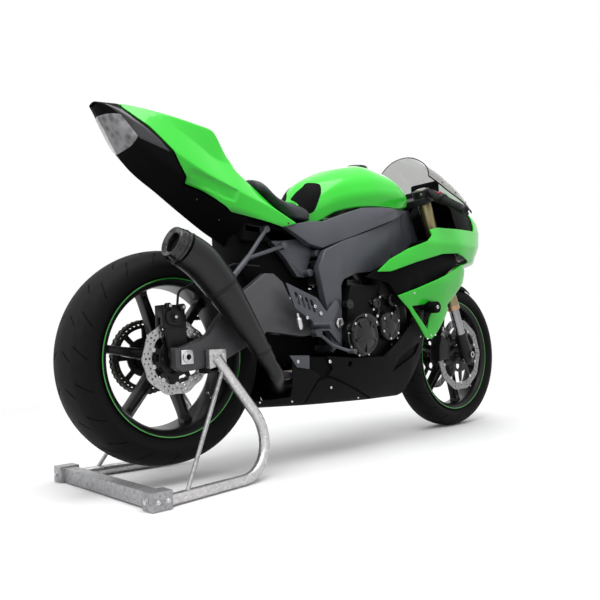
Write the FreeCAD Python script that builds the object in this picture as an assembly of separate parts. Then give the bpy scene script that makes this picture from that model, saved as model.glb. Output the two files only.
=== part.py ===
import FreeCAD, Part
import math
import os

from FreeCAD import Vector

# Sport bike of the 600 class, held upright by a paddock stand under its swingarm.
# Layout: x runs forward from the rear axle, y to the left, z up from the floor, in millimetres.
# The finished pieces are moved so that the origin lies on the floor under the middle of the length.

# Wheels and tyres
wheelbase = 1400.0
rear_tyre_radius = 315.0
rear_tyre_width = 180.0
front_tyre_radius = 300.0
front_tyre_width = 120.0
rear_lift = 50.5
bead_radius = 216.0
flange_radius = 230.0
rim_wall = 9.0
rear_rim_half = 76.0
front_rim_half = 50.0
spoke_count = 6
spoke_width = 26.0
spoke_depth = 34.0
spoke_groove = 7.0
hub_radius = 48.0
tyre_fit = 0.3
guard_gap = 8.0
guard_wall = 3.0

# Axles and bearings
axle_radius = 12.5
axle_bore_radius = 8.0
axle_fit = 0.3
bearing_face_gap = 5.0

# Brakes
front_disc_radius = 150.0
front_disc_inner = 118.0
front_disc_thickness = 5.0
front_disc_y = 70.0
rear_disc_radius = 110.0
rear_disc_inner = 78.0
rear_disc_thickness = 5.0
rear_disc_y = -73.0
petal_count = 10
rotor_arms = 5
petal_depth = 5.0
caliper_gap = 5.0
caliper_lug_radius = 9.0

# Chain drive
chain_pitch = 15.875
rear_teeth = 43
front_teeth = 16
chain_line = 106.0
chain_width = 20.0
chain_height = 15.0
roller_radius = 5.1
chain_groove = 9.0
sprocket_thickness = 6.0
sprocket_clearance = 0.8

# Steering geometry, as parked with the tail lifted
rake_deg = 21.0
fork_offset = 27.9
fork_half_spacing = 105.0
fork_length = 725.0
stanchion_radius = 20.5
fork_tube_radius = 27.0
fork_tube_start = 205.0
lower_yoke_at = 472.0
lower_yoke_height = 38.0
top_yoke_at = 664.0
top_yoke_height = 26.0
head_gap = 5.0
head_radius = 36.0
stem_radius = 14.0
stem_bore_radius = 9.0
stem_fit = 0.05
steering_lock_deg = 27.0

# Swingarm and frame
pivot_x = 598.0
pivot_z = 448.0
pivot_radius = 24.0
arm_thickness = 30.0
right_arm_inner = 98.0
left_arm_inner = 118.0
spar_thickness = 28.0
spar_half_width = 150.0
pivot_half_width = 119.5
subframe_half_width = 88.0
subframe_thickness = 24.0
chain_side_gap = 4.0
shock_lug = 14.0
upper_tie_radius = 20.0

# Engine
engine_half_width = 150.0
engine_fit = 0.4
clutch_radius = 66.0
cover_reach = 190.0

# Tail, seat, tank
tail_reach = 200.0
tail_top = 1096.0
tank_top = 1047.0
tank_half_width = 160.0
panel_wall = 5.0
seat_gap = 0.4
cover_gap = 0.3

# Fairing and screen
fairing_room = 82.0
radiator_half_width = 146.0
pan_room = 30.0
wing_step = 3.0
seat_on = 0.3
lamp_gap = 0.3
screen_thickness = 4.0
nose_x = 1562.0
dash_x = 1252.0
dash_z = 964.0
slider_radius = 22.0
slider_gap = 3.0

# Handlebars
bar_radius = 11.0
grip_radius = 16.0
bar_end_half_width = 345.0

# Exhaust
silencer_y = -178.0
pipe_radius = 25.0
header_radius = 19.0

# Paddock stand
stand_tube_radius = 16.0
stand_bend_radius = 118.0
stand_half_width = 268.0
stand_bar = 40.0
stand_knuckle = 10.0
stand_pin_radius = 5.0
hinge_gap = 1.0
stand_reach = 216.0
pad_gap = 0.6
brace_radius = 6.0

# Flats on round pieces
small_round = 16.0
large_round = 60.0
wheel_sides = 40

# Places worked out from the sizes above
rear_axle_z = rear_tyre_radius + rear_lift
front_axle_z = front_tyre_radius
front_axle_x = math.sqrt(wheelbase ** 2 - (rear_axle_z - front_axle_z) ** 2)
rake = math.radians(rake_deg)
rear_pitch_radius = chain_pitch / (2 * math.sin(math.pi / rear_teeth))
front_pitch_radius = chain_pitch / (2 * math.sin(math.pi / front_teeth))
sprocket_x = pivot_x + 92.0
sprocket_z = pivot_z + 12.0
stand_hinge_x = pivot_x - 8.0
stand_hinge_y = spar_half_width + 32.0
stand_hinge_z = pivot_z - 130.0
slider_x = pivot_x + 423.0
slider_z = pivot_z + 47.0
fairing_half_width = engine_half_width + fairing_room
pan_half_width = engine_half_width + pan_room
middle_x = (front_axle_x + front_tyre_radius - max(rear_tyre_radius, stand_reach)) / 2


def polygon(points):
    """Closed wire through the points."""
    return Part.makePolygon(points + [points[0]])


def outward(solid):
    """The same solid with its faces pointing out."""
    if solid.Volume < 0:
        solid.reverse()
    return solid


def push(points, way):
    """Flat outline pushed along a straight way."""
    return outward(Part.Face(polygon(points)).extrude(way))


def prism_xz(points, y0, y1):
    """Side outline pushed from y0 to y1."""
    return push([Vector(x, y0, z) for x, z in points], Vector(0, y1 - y0, 0))


def prism_xy(points, z0, z1):
    """Plan outline pushed from z0 to z1."""
    return push([Vector(x, y, z0) for x, y in points], Vector(0, 0, z1 - z0))


def block(x0, x1, y0, y1, z0, z1):
    return Part.makeBox(x1 - x0, y1 - y0, z1 - z0, Vector(x0, y0, z0))


def sides_for(radius):
    """How many flats a round bar or plate of this radius gets."""
    if radius < small_round:
        return 10
    return 16 if radius < large_round else 32


def ring_points(centre, way, radius, sides, first=0.0):
    """Corners of a regular polygon square to a way."""
    way = Vector(way).normalize()
    side = way.cross(Vector(0, 0, 1))
    if side.Length < 0.01:
        side = Vector(1, 0, 0)
    side.normalize()
    up = side.cross(way)
    points = []
    for i in range(sides):
        turn = first + 2 * math.pi * i / sides
        points.append(centre + side * (radius * math.cos(turn)) + up * (radius * math.sin(turn)))
    return points


def rod(start, end, radius):
    """Round bar between two points, turned in flats."""
    way = end - start
    return push(ring_points(start, way, radius, sides_for(radius)), way)


def rod_sided(start, end, radius, sides):
    """Bar with a stated number of flats."""
    return push(ring_points(start, end - start, radius, sides), end - start)


def disc_y(x, z, y0, y1, radius):
    """Round plate whose axis is along y, turned in flats."""
    return rod(Vector(x, y0, z), Vector(x, y1, z), radius)


def bore(start, end, radius):
    """Truly round bar or hole, for whatever turns or fits."""
    way = end - start
    return Part.makeCylinder(radius, way.Length, start, way)


def bore_y(x, z, y0, y1, radius):
    return bore(Vector(x, y0, z), Vector(x, y1, z), radius)


def facets(a, b, c, d):
    """One flat face through four corners, or two where they don't lie in a plane."""
    normal = (b - a).cross(c - a)
    if (b - a).Length < 1e-6 or (c - b).Length < 1e-6 or normal.Length < 1e-9:
        return [Part.Face(polygon([a, c, d]))]
    if (d - c).Length < 1e-6 or (a - d).Length < 1e-6:
        return [Part.Face(polygon([a, b, c]))]
    if abs((d - a).dot(normal.normalize())) < 1e-5:
        return [Part.Face(polygon([a, b, c, d]))]
    return [Part.Face(polygon([a, b, c])), Part.Face(polygon([a, c, d]))]


def skin(rings, closed=False):
    """Solid through rings of as many points each; a closed one joins its last ring to its first."""
    faces = []
    count = len(rings[0])
    following = rings[1:] + [rings[0]] if closed else rings[1:]
    for ring, after in zip(rings, following):
        for i in range(count):
            j = (i + 1) % count
            faces += facets(ring[i], ring[j], after[j], after[i])
    if not closed:
        faces += [Part.Face(polygon(rings[0])), Part.Face(polygon(rings[-1]))]
    shell = Part.Shell(faces)
    shell.sewShape()
    return outward(Part.Solid(shell))


def turned_y(x, z, profile, start=0.0, end=360.0, steps=wheel_sides):
    """Solid turned about an axle from (radius, y) pairs, whole or between two angles in degrees."""
    whole = end - start > 359.9
    rings = []
    for i in range(steps if whole else steps + 1):
        turn = math.radians(start + (end - start) * i / steps)
        rings.append([Vector(x + r * math.cos(turn), y, z + r * math.sin(turn)) for r, y in profile])
    return skin(rings, whole)


def half_section(x, half):
    """Ring across the bike from a half profile that starts and ends at y = 0."""
    left = [Vector(x, y, z) for y, z in half]
    right = [Vector(x, -y, z) for y, z in reversed(half) if y > 0.01]
    return left + right


def body_loft(stations):
    """Solid through cross sections given as (x, half profile)."""
    return skin([half_section(x, half) for x, half in stations])


def inset(half, wall):
    """Half profile moved inwards by the wall thickness."""
    middle = (half[0][1] + half[-1][1]) / 2
    points = []
    for y, z in half:
        shift = -wall if z > middle else wall
        points.append((max(y - wall, 0.0), z + shift))
    return points


def mirrored(shape):
    return shape.mirror(Vector(0, 0, 0), Vector(0, 1, 0))


def pair(shape):
    return Part.makeCompound([shape, mirrored(shape)])


def bent_path(points, bend, steps):
    """Stations along straight runs with a round bend at each corner, as (point, way) pairs."""
    stations = [(points[0], (points[1] - points[0]).normalize())]
    for before, corner, after in zip(points, points[1:], points[2:]):
        back = (before - corner).normalize()
        ahead = (after - corner).normalize()
        half_angle = back.getAngle(ahead) / 2
        inward = (back + ahead).normalize()
        centre = corner + inward * (bend / math.sin(half_angle))
        sweep = math.pi - 2 * half_angle
        start = corner + back * (bend / math.tan(half_angle)) - centre
        axis = start.cross(back * -1).normalize()
        for i in range(steps + 1):
            turn = FreeCAD.Rotation(axis, math.degrees(sweep * i / steps))
            stations.append((centre + turn.multVec(start), turn.multVec(back * -1)))
    stations.append((points[-1], (points[-1] - points[-2]).normalize()))
    return stations


def tube(points, radius, bend, steps=4, sides=8):
    """Round tube along straight runs and bends."""
    stations = bent_path(points, bend, steps)
    ring = ring_points(stations[0][0], stations[0][1], radius, sides)
    rings = [ring]
    for (point, way), (after, next_way) in zip(stations, stations[1:]):
        straight = (next_way - way).Length < 1e-6
        turn = FreeCAD.Rotation() if straight else FreeCAD.Rotation(way, next_way)
        ring = [after + turn.multVec(corner - point) for corner in ring]
        rings.append(ring)
    return skin(rings)


def on_fork(along, across, ahead=0.0):
    """Point at a distance up the fork from the front axle; ahead is square to the fork."""
    x = front_axle_x - along * math.sin(rake) + ahead * math.cos(rake)
    z = front_axle_z + along * math.cos(rake) + ahead * math.sin(rake)
    return Vector(x, across, z)


def on_stem(along):
    return on_fork(along, 0.0, -fork_offset)


# Wheels

def crown(radius, width):
    """Shoulder, upper shoulder and crown of a tyre as (radius, y) pairs."""
    half = width / 2
    depth = radius - flange_radius
    return [
        (flange_radius + 0.68 * depth, half - 0.04 * width),
        (flange_radius + 0.92 * depth, half - 0.22 * width),
        (radius, 0.0),
    ]


def tyre(x, z, radius, width, rim_half):
    """Tyre as a ring from the rim seat to a rounded crown turned in cone bands."""
    side = [
        (bead_radius + tyre_fit, rim_half - 12),
        (flange_radius + 6, rim_half - 4),
        (flange_radius + 0.38 * (radius - flange_radius), width / 2),
    ] + crown(radius, width)
    other = [(r, -y) for r, y in reversed(side[:-1])]
    return turned_y(x, z, side + other)


def spokes(x, z, reach, half, lean):
    """Channelled spokes from the hub to the rim, narrower at the rim."""
    root = hub_radius - 6
    outline = [(root, -spoke_width * 0.75), (reach, -spoke_width * 0.42), (reach, spoke_width * 0.42),
               (root, spoke_width * 0.75)]
    shape = prism_xz([(x + a, z + b) for a, b in outline], -half, half)
    channel = [(root + 22, -spoke_width * 0.36), (reach - 20, -spoke_width * 0.2), (reach - 20, spoke_width * 0.2),
               (root + 22, spoke_width * 0.36)]
    for low, high in ((half - spoke_groove, half + 1), (-half - 1, -half + spoke_groove)):
        shape = shape.cut(prism_xz([(x + a, z + b) for a, b in channel], low, high))
    copies = []
    for i in range(spoke_count):
        copy = shape.copy()
        copy.rotate(Vector(x, 0, z), Vector(0, 1, 0), lean + 360.0 * i / spoke_count)
        copies.append(copy)
    return copies


def rim(x, z, half, hub_left, hub_right, lean):
    """Cast wheel: barrel, flanges, hub and spokes as one piece."""
    inner = bead_radius - rim_wall
    barrel = turned_y(x, z, [
        (inner, -half), (flange_radius, -half), (bead_radius, -half + 12), (bead_radius, half - 12),
        (flange_radius, half), (inner, half),
    ])
    hub = disc_y(x, z, -hub_right, hub_left, hub_radius)
    wheel = barrel.multiFuse([hub] + spokes(x, z, inner + 4, spoke_depth / 2, lean))
    hole = bore_y(x, z, -hub_right - 1, hub_left + 1, axle_radius + axle_fit)
    return wheel.cut(hole).removeSplitter()


def petal_disc(x, z, y, thickness, outer, inner):
    """Brake disc with a wavy rim and a ring of holes."""
    low = y - thickness / 2
    points = []
    for i in range(4 * petal_count):
        turn = math.pi * i / (2 * petal_count)
        radius = outer - petal_depth * (0.0, 0.55, 1.0, 0.55)[i % 4]
        points.append((x + radius * math.cos(turn), z + radius * math.sin(turn)))
    disc = prism_xz(points, low, low + thickness)
    holes = [disc_y(x, z, low - 1, low + thickness + 1, inner)]
    middle = (outer + inner) / 2
    for i in range(0, petal_count, 2):
        turn = 2 * math.pi * (i + 0.5) / petal_count
        at_x, at_z = x + middle * math.cos(turn), z + middle * math.sin(turn)
        holes.append(rod_sided(Vector(at_x, low - 1, at_z), Vector(at_x, low + thickness + 1, at_z), 5.0, 6))
    return disc.cut(Part.makeCompound(holes))


def disc_carrier(x, z, y, thickness, inner, reach):
    """Dark star that holds a disc on the hub."""
    points = []
    for i in range(2 * rotor_arms):
        turn = math.pi * i / rotor_arms
        for share in (-0.12, 0.12) if i % 2 == 0 else (0.0,):
            radius = inner + 4 if i % 2 == 0 else hub_radius + 10
            points.append((x + radius * math.cos(turn + share), z + radius * math.sin(turn + share)))
    star = prism_xz(points, y - thickness / 2, y + thickness / 2)
    return star.cut(disc_y(x, z, y - thickness, y + thickness, reach))


def front_wheel():
    x, z = front_axle_x, front_axle_z
    hub = front_disc_y - front_disc_thickness / 2
    nodes = {
        "front_tyre": tyre(x, z, front_tyre_radius, front_tyre_width, front_rim_half),
        "front_rim": rim(x, z, front_rim_half, hub, hub, 15.0),
    }
    disc = petal_disc(x, z, front_disc_y, front_disc_thickness, front_disc_radius, front_disc_inner)
    carrier = disc_carrier(x, z, front_disc_y, front_disc_thickness, front_disc_inner, axle_radius + 12)
    nodes["front_discs"] = pair(disc.fuse(carrier).removeSplitter())
    return nodes


def rear_wheel():
    x, z = 0.0, rear_axle_z
    right_hub = -rear_disc_y - rear_disc_thickness / 2
    left_hub = chain_line - sprocket_thickness / 2
    disc = petal_disc(x, z, rear_disc_y, rear_disc_thickness, rear_disc_radius, rear_disc_inner)
    carrier = disc_carrier(x, z, rear_disc_y, rear_disc_thickness, rear_disc_inner, axle_radius + 12)
    return {
        "rear_tyre": tyre(x, z, rear_tyre_radius, rear_tyre_width, rear_rim_half),
        "rear_rim": rim(x, z, rear_rim_half, left_hub, right_hub, 10.0),
        "rear_disc": disc.fuse(carrier).removeSplitter(),
        "rear_sprocket": sprocket(x, z),
    }


def sprocket(x, z):
    """Toothed ring with windows; its tips stay under the rollers of the chain."""
    low = chain_line - sprocket_thickness / 2
    high = chain_line + sprocket_thickness / 2
    tip = rear_pitch_radius - roller_radius - sprocket_clearance
    root = tip - 5.0
    points = []
    for i in range(rear_teeth):
        for share, radius in ((0.0, root), (0.5, tip)):
            turn = 2 * math.pi * (i + share) / rear_teeth
            points.append((x + radius * math.cos(turn), z + radius * math.sin(turn)))
    plate = prism_xz(points, low, high)
    window = disc_y(x, z, low - 1, high + 1, root - 8).cut(disc_y(x, z, low - 2, high + 2, hub_radius + 8))
    bars = []
    for i in range(8):
        bar = block(x, x + root, low - 2, high + 2, z - 5, z + 5)
        bar.rotate(Vector(x, 0, z), Vector(0, 1, 0), 45.0 * i)
        bars.append(bar)
    window = window.cut(Part.makeCompound(bars))
    centre = disc_y(x, z, low - 1, high + 1, axle_radius + 12)
    return plate.cut(window).cut(centre)


def chain():
    """Chain loop round both sprockets, waisted at every second pin, grooved where the sprockets enter."""
    low = chain_line - chain_width / 2
    high = chain_line + chain_width / 2
    span = math.hypot(sprocket_x, sprocket_z - rear_axle_z)
    tilt = math.atan2(sprocket_z - rear_axle_z, sprocket_x)
    lean = math.asin((rear_pitch_radius - front_pitch_radius) / span)
    run = span * math.cos(lean)
    rear_arc = (math.pi + 2 * lean) * rear_pitch_radius
    front_arc = (math.pi - 2 * lean) * front_pitch_radius
    total = 2 * run + rear_arc + front_arc
    pins = int(round(total / chain_pitch / 2)) * 2
    outer, inner = [], []
    for i in range(pins):
        s = total * i / pins
        point, normal = chain_point(s, run, rear_arc, front_arc, tilt, lean)
        half = chain_height / 2 if i % 2 == 0 else chain_height * 0.36
        outer.append((point[0] + normal[0] * half, point[1] + normal[1] * half))
        inner.append((point[0] - normal[0] * half, point[1] - normal[1] * half))
    band = prism_xz(outer, low, high).cut(prism_xz(inner, low - 1, high + 1))
    groove_low = chain_line - chain_groove / 2
    groove_high = chain_line + chain_groove / 2
    rear_groove = disc_y(0, rear_axle_z, groove_low, groove_high, rear_pitch_radius - roller_radius)
    front_groove = disc_y(sprocket_x, sprocket_z, groove_low, groove_high, front_pitch_radius - roller_radius)
    band = band.cut(rear_groove).cut(front_groove)
    wheel = disc_y(sprocket_x, sprocket_z, chain_line - sprocket_thickness / 2, chain_line + sprocket_thickness / 2,
                   front_pitch_radius - roller_radius - 0.3)
    return Part.makeCompound([band, wheel])


def chain_point(s, run, rear_arc, front_arc, tilt, lean):
    """Point and outward normal on the pitch line, starting at the top of the rear sprocket."""
    top = tilt + math.pi / 2 - lean
    if s < run:
        nx, nz = math.cos(top), math.sin(top)
        along = s
        x = rear_pitch_radius * nx + along * math.sin(top)
        z = rear_axle_z + rear_pitch_radius * nz - along * math.cos(top)
        return (x, z), (nx, nz)
    if s < run + front_arc:
        turn = top - (s - run) / front_pitch_radius
        nx, nz = math.cos(turn), math.sin(turn)
        return (sprocket_x + front_pitch_radius * nx, sprocket_z + front_pitch_radius * nz), (nx, nz)
    if s < 2 * run + front_arc:
        low = tilt - math.pi / 2 + lean
        nx, nz = math.cos(low), math.sin(low)
        along = s - run - front_arc
        x = sprocket_x + front_pitch_radius * nx + along * math.sin(low)
        z = sprocket_z + front_pitch_radius * nz - along * math.cos(low)
        return (x, z), (nx, nz)
    low = tilt - math.pi / 2 + lean
    turn = low - (s - 2 * run - front_arc) / rear_pitch_radius
    nx, nz = math.cos(turn), math.sin(turn)
    return (rear_pitch_radius * nx, rear_axle_z + rear_pitch_radius * nz), (nx, nz)


# Swingarm, frame and engine

def rear_axle():
    """Hollow axle with its nuts and the silver adjuster blocks on both arms."""
    z = rear_axle_z
    right_face = -right_arm_inner - arm_thickness
    left_face = left_arm_inner + arm_thickness
    bar = disc_y(0, z, right_face - 14, left_face + 14, axle_radius)
    blocks = [
        block(-20, 20, right_face - 6, right_face, z - 20, z + 20),
        block(-20, 20, left_face, left_face + 6, z - 20, z + 20),
        disc_y(0, z, right_face - 12, right_face, axle_radius + 4),
        disc_y(0, z, left_face, left_face + 14, axle_radius + 6),
    ]
    spacer_right = disc_y(0, z, -right_arm_inner, rear_disc_y - rear_disc_thickness / 2 - 0.5, axle_radius + 6)
    spacer_left = disc_y(0, z, chain_line + sprocket_thickness / 2 + 0.5, left_arm_inner, axle_radius + 6)
    axle = bar.multiFuse(blocks + [spacer_right, spacer_left])
    return axle.cut(bore_y(0, z, right_face - 40, left_face + 40, axle_bore_radius)).removeSplitter()


def arm_outline():
    """Side outline of the right arm, humped ahead of the wheel."""
    z = rear_axle_z
    rear = [(-35, z + 29), (-23, z + 26), (54, z + 48), (80, z + 62), (121, z + 112)]
    hump = [(213, z + 188), (300, z + 246), (334, z + 246), (372, z + 220), (401, z + 165)]
    front = [(pivot_x - 130, pivot_z + 78), (pivot_x - 12, pivot_z + 34), (pivot_x + 26, pivot_z + 8)]
    under = [(pivot_x + 20, pivot_z - 26), (pivot_x - 150, pivot_z - 40), (pivot_x - 297, pivot_z - 20),
             (202, z + 12), (127, z - 20), (61, z - 36), (-11, z - 42), (-35, z - 30)]
    return rear + hump + front + under


def left_arm_outline():
    """Side outline of the left arm, which lies between the chain's two runs."""
    z = rear_axle_z
    return [
        (-35, z + 29), (60, z + 40), (240, z + 62), (pivot_x - 120, pivot_z + 26), (pivot_x + 26, pivot_z + 20),
        (pivot_x + 20, pivot_z - 22), (pivot_x - 120, pivot_z - 42), (240, z - 12), (127, z - 20), (61, z - 36), (-35, z - 30),
    ]


def swingarm():
    """Right arm with its hump, left arm that steps inside the chain, cross piece and pivot tube."""
    step = pivot_x - 200
    chain_inner = chain_line - chain_width / 2 - chain_side_gap
    right = prism_xz(arm_outline(), -right_arm_inner - arm_thickness, -right_arm_inner)
    right = right.cut(block(pivot_x - 110, pivot_x + 60, -400, -pivot_half_width + 1, 0, 1200))
    side = prism_xz(left_arm_outline(), 0, left_arm_inner + arm_thickness)
    rear = side.common(block(-50, step, left_arm_inner, 400, 0, 1200))
    crossing = side.common(block(step - 50, step, chain_inner - arm_thickness, 400, 0, 1200))
    front = side.common(block(step - 50, pivot_x + 60, chain_inner - arm_thickness, chain_inner, 0, 1200))
    cross = prism_xz([
        (step, pivot_z + 60), (step + 50, pivot_z + 60), (step + 70, pivot_z - 30), (step - 30, pivot_z - 30)],
        -right_arm_inner - 2, chain_inner - 2)
    boss = disc_y(pivot_x, pivot_z, -pivot_half_width + 1, pivot_half_width - 1, pivot_radius)
    lug = prism_xz([(step + 10, pivot_z), (step + 62, pivot_z), (pivot_x - 94, pivot_z - 96),
                    (pivot_x - 98, pivot_z - 106)], -11, 11)
    eye = disc_y(pivot_x - 84, pivot_z - 98, -16, 16, shock_lug)
    arm = right.multiFuse([rear, crossing, front, cross, boss, lug, eye])
    holes = [
        bore_y(0, rear_axle_z, -400, 400, axle_radius),
        bore_y(pivot_x, pivot_z, -400, 400, axle_radius),
    ]
    return arm.cut(Part.makeCompound(holes)).removeSplitter()


def spar_outline():
    """Side outline of one frame spar with its pivot leg."""
    head_low = on_stem(lower_yoke_at + lower_yoke_height + head_gap)
    head_high = on_stem(top_yoke_at - head_gap)
    return [
        (pivot_x - 30, pivot_z - 92), (pivot_x + 12, pivot_z - 78), (pivot_x + 18, pivot_z + 40),
        (pivot_x + 20, pivot_z + 128), (pivot_x + 36, pivot_z + 150), (pivot_x + 100, pivot_z + 174),
        (pivot_x + 175, pivot_z + 180), (pivot_x + 330, pivot_z + 236), (head_low.x - 30, head_low.z - 6),
        (head_low.x, head_low.z), (head_high.x, head_high.z), (head_high.x - 80, head_high.z - 8),
        (pivot_x + 370, pivot_z + 394), (pivot_x + 200, pivot_z + 336), (pivot_x + 40, pivot_z + 284),
        (pivot_x - 48, pivot_z + 248), (pivot_x - 82, pivot_z + 188), (pivot_x - 62, pivot_z + 92),
        (pivot_x - 44, pivot_z + 30), (pivot_x - 38, pivot_z - 40),
    ]


def spar_band(side):
    """Plan outline of one spar, which closes in on the head tube."""
    head = on_stem((lower_yoke_at + top_yoke_at) / 2)
    out = spar_half_width
    leg = pivot_half_width + spar_thickness
    outer = [(pivot_x - 90, leg), (pivot_x + 30, leg), (pivot_x + 120, out), (pivot_x + 270, out - 8),
             (head.x - 160, out - 52), (head.x - 60, 58), (head.x + 60, 8)]
    inner = [(head.x + 60, 0), (head.x - 70, 20), (head.x - 160, out - 56 - spar_thickness),
             (pivot_x + 270, out - 10 - spar_thickness), (pivot_x + 120, out - spar_thickness),
             (pivot_x + 30, pivot_half_width), (pivot_x - 90, pivot_half_width)]
    return [(x, side * y) for x, y in outer + inner]


def frame():
    spars = []
    for side in (-1, 1):
        spar = prism_xz(spar_outline(), -400, 400).common(prism_xy(spar_band(side), 0, 1400))
        spars.append(spar)
    low = on_stem(lower_yoke_at + lower_yoke_height + head_gap)
    high = on_stem(top_yoke_at - head_gap)
    head = rod(low, high, head_radius)
    tie = pivot_half_width + 6
    upper_tie = disc_y(pivot_x - 30, pivot_z + 200, -tie, tie, upper_tie_radius)
    lower_tie = disc_y(pivot_x - 12, pivot_z - 86, -tie, tie, 14)
    x, z = pivot_x + 300, pivot_z + 196 + engine_fit
    hanger = prism_xz([(x - 20, z + 48), (x + 18, z + 54), (x + 14, z - 4.8), (x, z), (x - 14, z - 4.8)], 106, 128)
    body = spars[0].multiFuse([spars[1], head, upper_tie, lower_tie, hanger, mirrored(hanger)])
    shave = rod(low - (high - low), low, 160).fuse(rod(high, high + (high - low), 160))
    body = body.cut(shave)
    stem_hole = bore(low - (high - low), high + (high - low), stem_radius + stem_fit)
    pivot = bore_y(pivot_x, pivot_z, -400, 400, axle_radius)
    body = body.cut(stem_hole).cut(pivot).fuse(stand_bracket())
    return body.removeSplitter()


def pivot_bolt():
    """Swingarm pivot with its hexagon ends."""
    reach = pivot_half_width + spar_thickness
    bolt = disc_y(pivot_x, pivot_z, -reach, reach, axle_radius - 0.3)
    ends = [rod_sided(Vector(pivot_x, y, pivot_z), Vector(pivot_x, y + math.copysign(8, y), pivot_z), 19, 6)
            for y in (-reach, reach)]
    bolt = bolt.multiFuse(ends)
    return bolt.cut(bore_y(pivot_x, pivot_z, -400, 400, axle_bore_radius))


def subframe():
    """Cast rear frame that carries the seat and tail, with the silencer hanger arms."""
    outline = [
        (pivot_x - 52, pivot_z + 252), (pivot_x - 94, pivot_z + 158), (pivot_x - 128, pivot_z + 160),
        (pivot_x - 175, pivot_z + 218), (pivot_x - 262, pivot_z + 296), (pivot_x - 340, pivot_z + 300),
        (pivot_x - 340, pivot_z + 322), (pivot_x - 200, pivot_z + 312), (pivot_x - 90, pivot_z + 290),
    ]
    rail = prism_xz(outline, -subframe_half_width, -subframe_half_width + subframe_thickness)
    inside = subframe_half_width - 8
    ties = [
        disc_y(pivot_x - 130, pivot_z + 200, -inside, inside, 12),
        disc_y(pivot_x - 300, pivot_z + 308, -inside, inside, 9),
    ]
    for tie_x, tie_z in ((pivot_x - 54, pivot_z + 240), (pivot_x - 90, pivot_z + 172)):
        ties.append(disc_y(tie_x, tie_z, -pivot_half_width + 4, pivot_half_width - 4, 13))
    body = rail.multiFuse([mirrored(rail)] + ties)
    clamp = Vector(234, silencer_y + 56, 655)
    bolts = [Vector(330, -subframe_half_width + 4, 756), Vector(401, -subframe_half_width + 4, 706)]
    for bolt in bolts:
        body = body.fuse(rod(bolt, bolt + Vector(0, -26, 0), 12))
        body = body.fuse(rod(bolt + Vector(0, -19, 0), clamp, 7))
    body = body.fuse(rod(clamp + Vector(6, 0, 6), Vector(168, silencer_y + 44, 596), 9))
    return body.removeSplitter()


def engine_block():
    """Crankcase, inclined cylinders and head as one heavy block."""
    case = prism_xz([
        (pivot_x + 46, pivot_z - 96), (pivot_x + 42, pivot_z + 60), (pivot_x + 70, pivot_z + 132),
        (pivot_x + 200, pivot_z + 132), (pivot_x + 350, pivot_z + 96), (pivot_x + 360, pivot_z - 20),
        (pivot_x + 330, pivot_z - 120), (pivot_x + 120, pivot_z - 150),
    ], -engine_half_width, engine_half_width)
    head = prism_xz([
        (pivot_x + 190, pivot_z + 100), (pivot_x + 220, pivot_z + 168), (pivot_x + 300, pivot_z + 196),
        (pivot_x + 372, pivot_z + 168), (pivot_x + 372, pivot_z + 60),
    ], -engine_half_width - 18, engine_half_width + 18)
    cover = prism_xz([
        (pivot_x + 200, pivot_z + 140), (pivot_x + 226, pivot_z + 250), (pivot_x + 320, pivot_z + 260),
        (pivot_x + 366, pivot_z + 160),
    ], -84, 84)
    boxes = prism_xz([
        (pivot_x + 30, pivot_z + 200), (pivot_x + 40, pivot_z + 150), (pivot_x + 196, pivot_z + 142),
        (pivot_x + 224, pivot_z + 240), (pivot_x + 120, pivot_z + 260),
    ], -90, 90)
    body = case.multiFuse([head, cover, boxes])
    bay = block(0, sprocket_x + 56, chain_line - chain_width / 2 - 4, 400, 0, sprocket_z + 62)
    return body.cut(bay).removeSplitter()


def engine_covers():
    """Clutch cover on the right, generator and sprocket covers on the left."""
    x, z = pivot_x + 84, pivot_z - 46
    clutch = disc_y(x, z, -cover_reach + 14, -engine_half_width, clutch_radius + 5)
    clutch = clutch.fuse(disc_y(x, z, -cover_reach, -cover_reach + 14, clutch_radius))
    pick = disc_y(x + 150, z + 30, -engine_half_width - 26, -engine_half_width, 52)
    right = clutch.fuse(pick).removeSplitter()
    generator = disc_y(x + 176, z + 26, engine_half_width, engine_half_width + 38, clutch_radius - 6)
    guard = prism_xz([
        (sprocket_x - 30, sprocket_z + 58), (sprocket_x + 55.7, sprocket_z + 50), (sprocket_x + 55.7, sprocket_z - 60),
        (sprocket_x - 10, sprocket_z - 66), (sprocket_x - 44, sprocket_z - 20),
    ], chain_line + chain_width / 2 + 4, engine_half_width + 6)
    guard = guard.cut(prism_xz(spar_outline(), 0, 400))
    return Part.makeCompound([right, generator, guard])


def radiator():
    """Slanted core with side tanks ahead of the engine."""
    core = prism_xz([
        (pivot_x + 420, pivot_z - 54), (pivot_x + 450, pivot_z - 54), (pivot_x + 492, pivot_z + 174),
        (pivot_x + 462, pivot_z + 174)], -radiator_half_width + 18, radiator_half_width - 18)
    tank = prism_xz([
        (pivot_x + 414, pivot_z - 50), (pivot_x + 456, pivot_z - 50), (pivot_x + 496, pivot_z + 170),
        (pivot_x + 456, pivot_z + 170)], -radiator_half_width, -radiator_half_width + 20)
    hanger_x = pivot_x + 462
    hanger = rod(Vector(hanger_x, -60, pivot_z + 150), Vector(hanger_x, -60, pivot_z + 400), 6)
    hanger = hanger.cut(prism_xz(spar_outline(), -400, 400))
    hanger = min(hanger.Solids, key=lambda solid: solid.BoundBox.ZMin)
    hanger = hanger.common(block(0, 2000, -400, 400, 0, hanger.BoundBox.ZMax - seat_on))
    return core.multiFuse([tank, mirrored(tank), hanger, mirrored(hanger)]).removeSplitter()


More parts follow.
